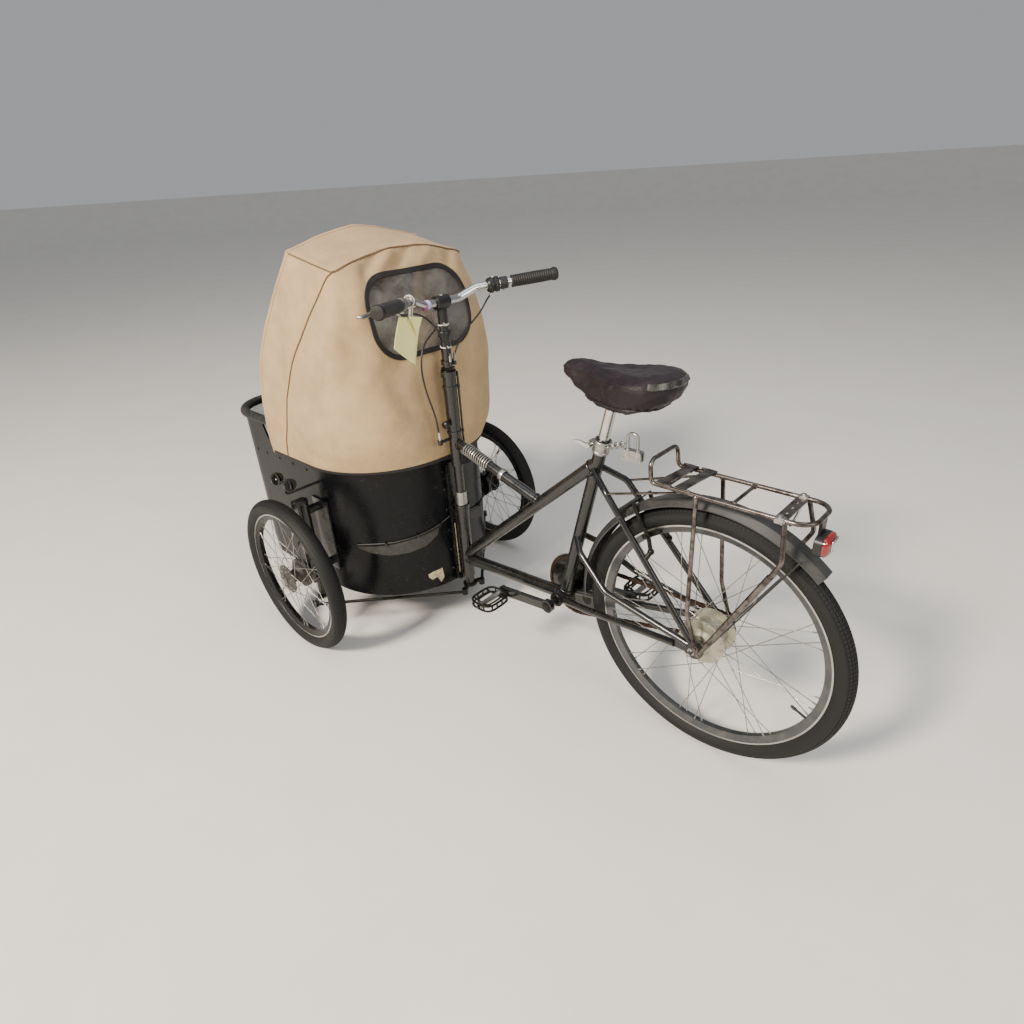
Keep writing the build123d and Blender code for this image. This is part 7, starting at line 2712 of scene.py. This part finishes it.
        pieces = [hoop(0.0385, 0.0445, 0.0032, 0.008), hoop(0.0385, 0.0445, 0.0032, -0.008),
                  hoop(0.0225, 0.033, 0.0026, 0.003)]
        posts = [(x, y) for x in (-0.0385, 0.0385) for y in (-0.03, -0.01, 0.01, 0.03)]
        posts += [(x, y) for y in (-0.0445, 0.0445) for x in (-0.02, 0.02)]
        for x, y in posts:
            foot = centre + Vector((x, y, -0.008))
            pieces.append(bar("post", foot, foot + Vector((0, 0, 0.016)), 0.0026, sides=10))
        for x in (-1, 1):
            for y in (-0.026, 0.026):
                pieces.append(
                    bar("rib", centre + Vector((x * 0.0095, y, 0)), centre + Vector((x * 0.0375, y, 0.0045)), 0.0028,
                    sides=10))
        mount(joined(f"pedal_cage_{word}", pieces), f"pedal_{word}", DARK_STEEL, f"pedal_{word}")
        barrel = turned(
            f"pedal_barrel_{word}", [(0.0046, -0.044), (0.0086, -0.044), (0.0096, -0.0425), (0.0096, -0.034),
            (0.0078, -0.031), (0.0078, 0.031), (0.0096, 0.034), (0.011, 0.038), (0.011, 0.043), (0.009, 0.0445),
            (0.0046, 0.0445), (0.0046, -0.044)], centre, (0, side, 0), steps=32)
        mount(barrel, f"pedal_{word}", LEVER_ALLOY)

    def build(self) -> None:
        """Make the drive's pieces."""
        self.chain()
        self.teeth()
        self.ends()
        self.pedal(1, "left", self.crank_deg)
        self.pedal(-1, "right", self.crank_deg + 180)


# Cabin


@dataclass
class Cabin:
    """The cabin's fittings: clipped lines, grey bands of painted reflection, screws, spine edge and lamps; and the
    frame's weld beads.

    Attributes:
        arc_x: centre of the round back.
        arc_r: radius of its outer face.
        lamp_x: where the lamps' stalk stands.
    """

    arc_x: float = 1.151
    arc_r: float = 0.285
    lamp_x: float = 1.155

    def on_panel(self, y: float, z: float, off: float = 0.0) -> Vector:
        """Give a point of the round back at a height, a little off the sheet."""
        reach = self.arc_r + off
        return at(self.arc_x - math.sqrt(max(0.0, reach * reach - y * y)), y, z)

    def lines(self) -> None:
        """Clip a thin line across the back panel on each side, and lay a grey band of painted reflection and the torn
        patch below it.
        """
        spots = ((0.022, 0.379), (0.06, 0.364), (0.0974, 0.3542), (0.13, 0.348), (0.1654, 0.3416), (0.21, 0.3335),
                 (0.262, 0.329))
        for side, word in SIDES:
            run = [self.on_panel(side * y, z, 0.0035) for y, z in spots]
            mount(tube(f"panel_line_{word}", run, 0.0024), "frame", CABLE)
            clips = [block("clip", self.on_panel(side * y, z, 0.0045), (0.009, 0.007, 0.01),
                           (0, 0, -side * math.degrees(math.asin(y / self.arc_r))), 0.0008) for y, z in spots[1:-1:2]]
            mount(joined(f"line_clips_{word}", clips), "frame", PLASTIC)
            # painted reflection: the grey band that the glossy panel shows below each line
            upper = [(y, z - 0.007) for y, z in spots[1:]]
            lower = (
                (0.255, 0.312), (0.2418, 0.302), (0.2054, 0.2914), (0.1578, 0.2936), (0.1092, 0.3048), (0.07, 0.33))
            self.skin_patch(f"worn_band_{word}", [(side * y, z) for y, z in (*upper, *lower)], 0.0004, PAINTED_REFLECTION)
        torn = ((0.1148, 0.2), (0.0986, 0.2054), (0.0682, 0.2086), (0.0652, 0.1732), (0.0774, 0.159), (0.0882, 0.1826),
                (0.105, 0.1774), (0.1132, 0.188))
        self.skin_patch("torn_patch", torn, 0.0006, PALE_EDGE)

    def skin_patch(self, name: str, outline: Sequence[tuple[float, float]], off: float, finish: Finish) -> None:
        """Lay a thin flat shape on the round back.

        Args:
            name: name of the piece.
            outline: (y, z) of its corners in order.
            off: how far it stands off the sheet.
            finish: what it is made of.
        """
        patch = plate(name, [at(0.6, y, z) for y, z in outline], Vector((0.0008, 0, 0)), 0.0001)
        take(patch)
        bpy.ops.object.mode_set(mode="EDIT")
        bpy.ops.mesh.select_all(action="SELECT")
        bpy.ops.mesh.quads_convert_to_tris()
        bpy.ops.mesh.subdivide(number_cuts=3)
        bpy.ops.object.mode_set(mode="OBJECT")
        for corner in patch.data.vertices:
            depth = corner.co.x - at(0.6, 0, 0).x
            corner.co = self.on_panel(corner.co.y, corner.co.z, off + 0.0008 - depth)
        mount(settle(name), "frame", finish)

    def screws(self) -> None:
        """Drive the screws that hold the panels to the pan, the spine and the rims."""
        head = turned(
            "screw", [(0.0, 0.0022), (0.0026, 0.002), (0.0044, 0.001), (0.0048, 0.0), (0.0, 0.0)], Vector(), steps=16)
        moves = []
        for side in (1, -1):
            for z in (0.19, 0.26, 0.33, 0.4, 0.47, 0.53):
                spot = self.on_panel(side * 0.026, z)
                moves.append((spot, math.pi / 2 - side * 0.09))
            for y in (0.07, 0.12, 0.17, 0.215, 0.25):
                spot = self.on_panel(side * y, 0.16)
                moves.append((spot, math.pi / 2 - side * math.asin(y / self.arc_r)))
            for x in (1.2, 1.28, 1.36, 1.44, 1.5):
                for z in (0.16, 0.545):
                    moves.append((at(x, side * self.arc_r, z), 0 if side > 0 else math.pi))
        turns = [Matrix.Translation(spot) @ Matrix.Rotation(turn, 4, "Z") for spot, turn in moves]
        mount(repeated("panel_screws", head, turns), "frame", DARK_STEEL)

    def spine_edge(self) -> None:
        """Show the spine's bare edge, worn to a pale line, and the angle strips that hold the sheets to it."""
        for side, word in SIDES:
            angle = block(f"spine_strip_{word}", at(0.8625, side * 0.0155, 0.35), (0.008, 0.005, 0.4), edge=0.0008)
            mount(angle, "frame", ENAMEL)
        pale = block("spine_worn_edge", at(0.8552, 0.0112, 0.262), (0.0012, 0.0034, 0.18), edge=0.0004)
        mount(pale, "frame", PALE_EDGE)

    def rim_seams(self) -> None:
        """Wrap the rear rim's sleeve where its pieces meet."""
        rings = []
        for deg in (-68, -34, 34, 68):
            angle = math.radians(deg)
            spot = at(self.arc_x - 0.282 * math.cos(angle), 0.282 * math.sin(angle), 0.5752)
            along = Vector((math.sin(angle), math.cos(angle), 0))
            rings.append(
                turned("wrap", [(0.0091, -0.009), (0.01, -0.0085), (0.0102, 0.0), (0.01, 0.0085), (0.0091, 0.009)],
                spot, along, steps=28))
        mount(joined("rim_sleeve_wraps", rings), "frame", PLASTIC)

    def lamps(self) -> None:
        """Close each wheel lamp with a low domed cover on both faces, and its fixing screw."""
        for side, word in SIDES:
            covers, screws = [], []
            for x in (-0.032, 0.032):
                spot = at(self.lamp_x + x, side * 0.387, 0.556)
                for way in (1, -1):
                    covers.append(
                        turned("cover", [(0.0, 0.0046), (0.012, 0.006), (0.0165, 0.0056), (0.0188, 0.004),
                        (0.0188, 0.0028), (0.0, 0.0028)], spot, (0, way, 0), steps=40))
                    screws.append(
                        turned("screw", [(0.0, 0.0072), (0.0022, 0.007), (0.0032, 0.0058), (0.0, 0.005)], spot,
                        (0, way, 0), steps=12))
            mount(joined(f"lamp_covers_{word}", covers), "frame", PLASTIC)
            mount(joined(f"lamp_screws_{word}", screws), "frame", ZINC)

    def welds(self) -> None:
        """Run a rippled weld bead round each joint of the frame's tubes."""
        joints = (
            ((0.807, 0, 0.245), (-0.508, 0, 0.443), 0.018), ((0.333, 0, 0.674), (-0.508, 0, 0.443), 0.0175),
            ((0.805, 0, 0.622), (-0.321, 0, -0.102), 0.0155), ((0.522, 0, 0.531), (-0.321, 0, -0.102), 0.0155),
            ((0.806, 0, 0.233), (-0.397, 0, 0.03), 0.0186), ((0.449, 0, 0.2605), (-0.397, 0, 0.03), 0.0186),
            ((0.4225, 0, 0.283), (-0.2521, 0, 0.9677), 0.0171), ((0.318, 0.0205, 0.666), (-0.1, 0.044, -0.08),
            0.0086), ((0.318, -0.0205, 0.666), (-0.1, -0.044, -0.08), 0.0086))
        beads = []
        for spot, way, radius in joints:
            axis = Vector(way).normalized()
            side = axis.orthogonal().normalized()
            other = axis.cross(side)
            ring = []
            for k in range(73):
                angle = TURN * k / 72
                ripple = 0.0005 * math.sin(angle * 18)
                ring.append(
                    at(*spot) + (side * math.cos(angle) + other * math.sin(angle)) * (radius + 0.0002) + axis
                    * ripple)
            beads.append(tube("bead", ring, 0.0017))
        mount(joined("weld_beads", beads), "frame", ENAMEL)

    def head_fittings(self) -> None:
        """Wind the silver spiral guard on the strut, clip it, and set the round knob on the head tube."""
        start, end = at(0.785, 0, 0.616), at(0.69, 0, 0.586)
        axis = (end - start).normalized()
        side, other = Vector((0, 1, 0)), axis.cross(Vector((0, 1, 0)))
        turns, steps = 12, 14
        coil = []
        for k in range(turns * steps + 1):
            angle = TURN * k / steps
            spot = start.lerp(end, k / (turns * steps))
            coil.append(spot + (side * math.cos(angle) + other * math.sin(angle)) * 0.0166)
        mount(tube("strut_spiral_guard", coil, 0.0025), "frame", ZINC)
        clip = turned(
            "strut_clip", [(0.0152, -0.007), (0.0175, -0.007), (0.018, -0.006), (0.018, 0.006), (0.0175, 0.007),
            (0.0152, 0.007), (0.0152, -0.007)], at(0.64, 0, 0.57), axis, steps=36)
        mount(clip, "frame", ZINC)
        knob = turned(
            "parking_knob", [(0.0, 0.02), (0.007, 0.0195), (0.0105, 0.016), (0.0115, 0.01), (0.0105, 0.004),
            (0.0075, 0.0), (0.005, -0.004), (0.0, -0.004)], at(0.82, 0.023, 0.69), (0, 1, 0), steps=32)
        mount(knob, "frame", PLASTIC)

    def build(self) -> None:
        """Make the cabin's and the frame's fittings."""
        self.lines()
        self.screws()
        self.spine_edge()
        self.rim_seams()
        self.lamps()
        self.welds()
        self.head_fittings()


# The carried-over solids and their finishes
NODE_FINISHES = {
    "cabin_pan": PANEL, "cabin_panel_left": PANEL, "cabin_panel_right": PANEL, "cabin_window": POLYCARBONATE,
    "cabin_rim": SLEEVE, "cabin_spine": ENAMEL, "cabin_bench": PLYWOOD, "hood_bows": ENAMEL, "front_tyre_left": TYRE,
    "front_tyre_right": TYRE, "rear_tyre": TYRE, "front_rim_left": RIM_BLACK, "front_rim_right": RIM_BLACK,
    "rear_rim": RIM_ALLOY, "front_spokes_left": SPOKE, "front_spokes_right": SPOKE, "rear_spokes": SPOKE,
    "front_hub_left": HUB_ALLOY, "front_hub_right": HUB_ALLOY, "rear_hub": HUB_ALLOY, "rear_axle": ZINC,
    "knuckle_left": ENAMEL, "knuckle_right": ENAMEL, "wheel_posts": ENAMEL, "wheel_lamps": PLASTIC,
    "tie_rod_left": DARK_STEEL, "tie_rod_right": DARK_STEEL, "steering_column": ENAMEL, "steering_foot": DARK_STEEL,
    "bearing_sleeve": ZINC, "stem": PLASTIC, "handlebar": BAR_ALLOY, "grips": GRIP, "brake_levers": LEVER_ALLOY,
    "gear_shifter": PLASTIC, "head_tubes": ENAMEL, "top_tube": ENAMEL, "strut_tube": ENAMEL, "down_tube": ENAMEL,
    "seat_tube": ENAMEL, "chainstays": ENAMEL, "mid_stays": ENAMEL, "seat_stays": ENAMEL, "seat_clamp": ZINC,
    "seat_post": BAR_ALLOY, "saddle": COVER, "cranks": ENAMEL, "pedal_left": LEVER_ALLOY, "pedal_right": LEVER_ALLOY,
    "chain": CHAIN, "mudguard": GUARD, "rack": RUSTY_CHROME, "rack_plates": RUSTY_CHROME, "rim_brake": DARK_STEEL,
    "rear_light": LENS, "cable_left": CABLE, "cable_right": CABLE, "cable_loop": CABLE}


def main() -> None:
    """Build every sub-assembly in order and report each piece."""
    logging.basicConfig(level=logging.INFO, format="%(name)s: %(message)s")
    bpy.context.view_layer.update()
    before = set(bpy.data.objects)
    dress_nodes(NODE_FINISHES)
    for maker in (Studio(), Cables(), Cockpit(), Wheels(), Saddle(), SeatPost(), RearRack(), Drive(), Cabin(), Hood()):
        maker.build()
        made = sorted(o.name for o in set(bpy.data.objects) - before)
        before = set(bpy.data.objects)
        LOG.info("%s: %s", type(maker).__name__, ", ".join(made))


if __name__ == "__main__":
    main()
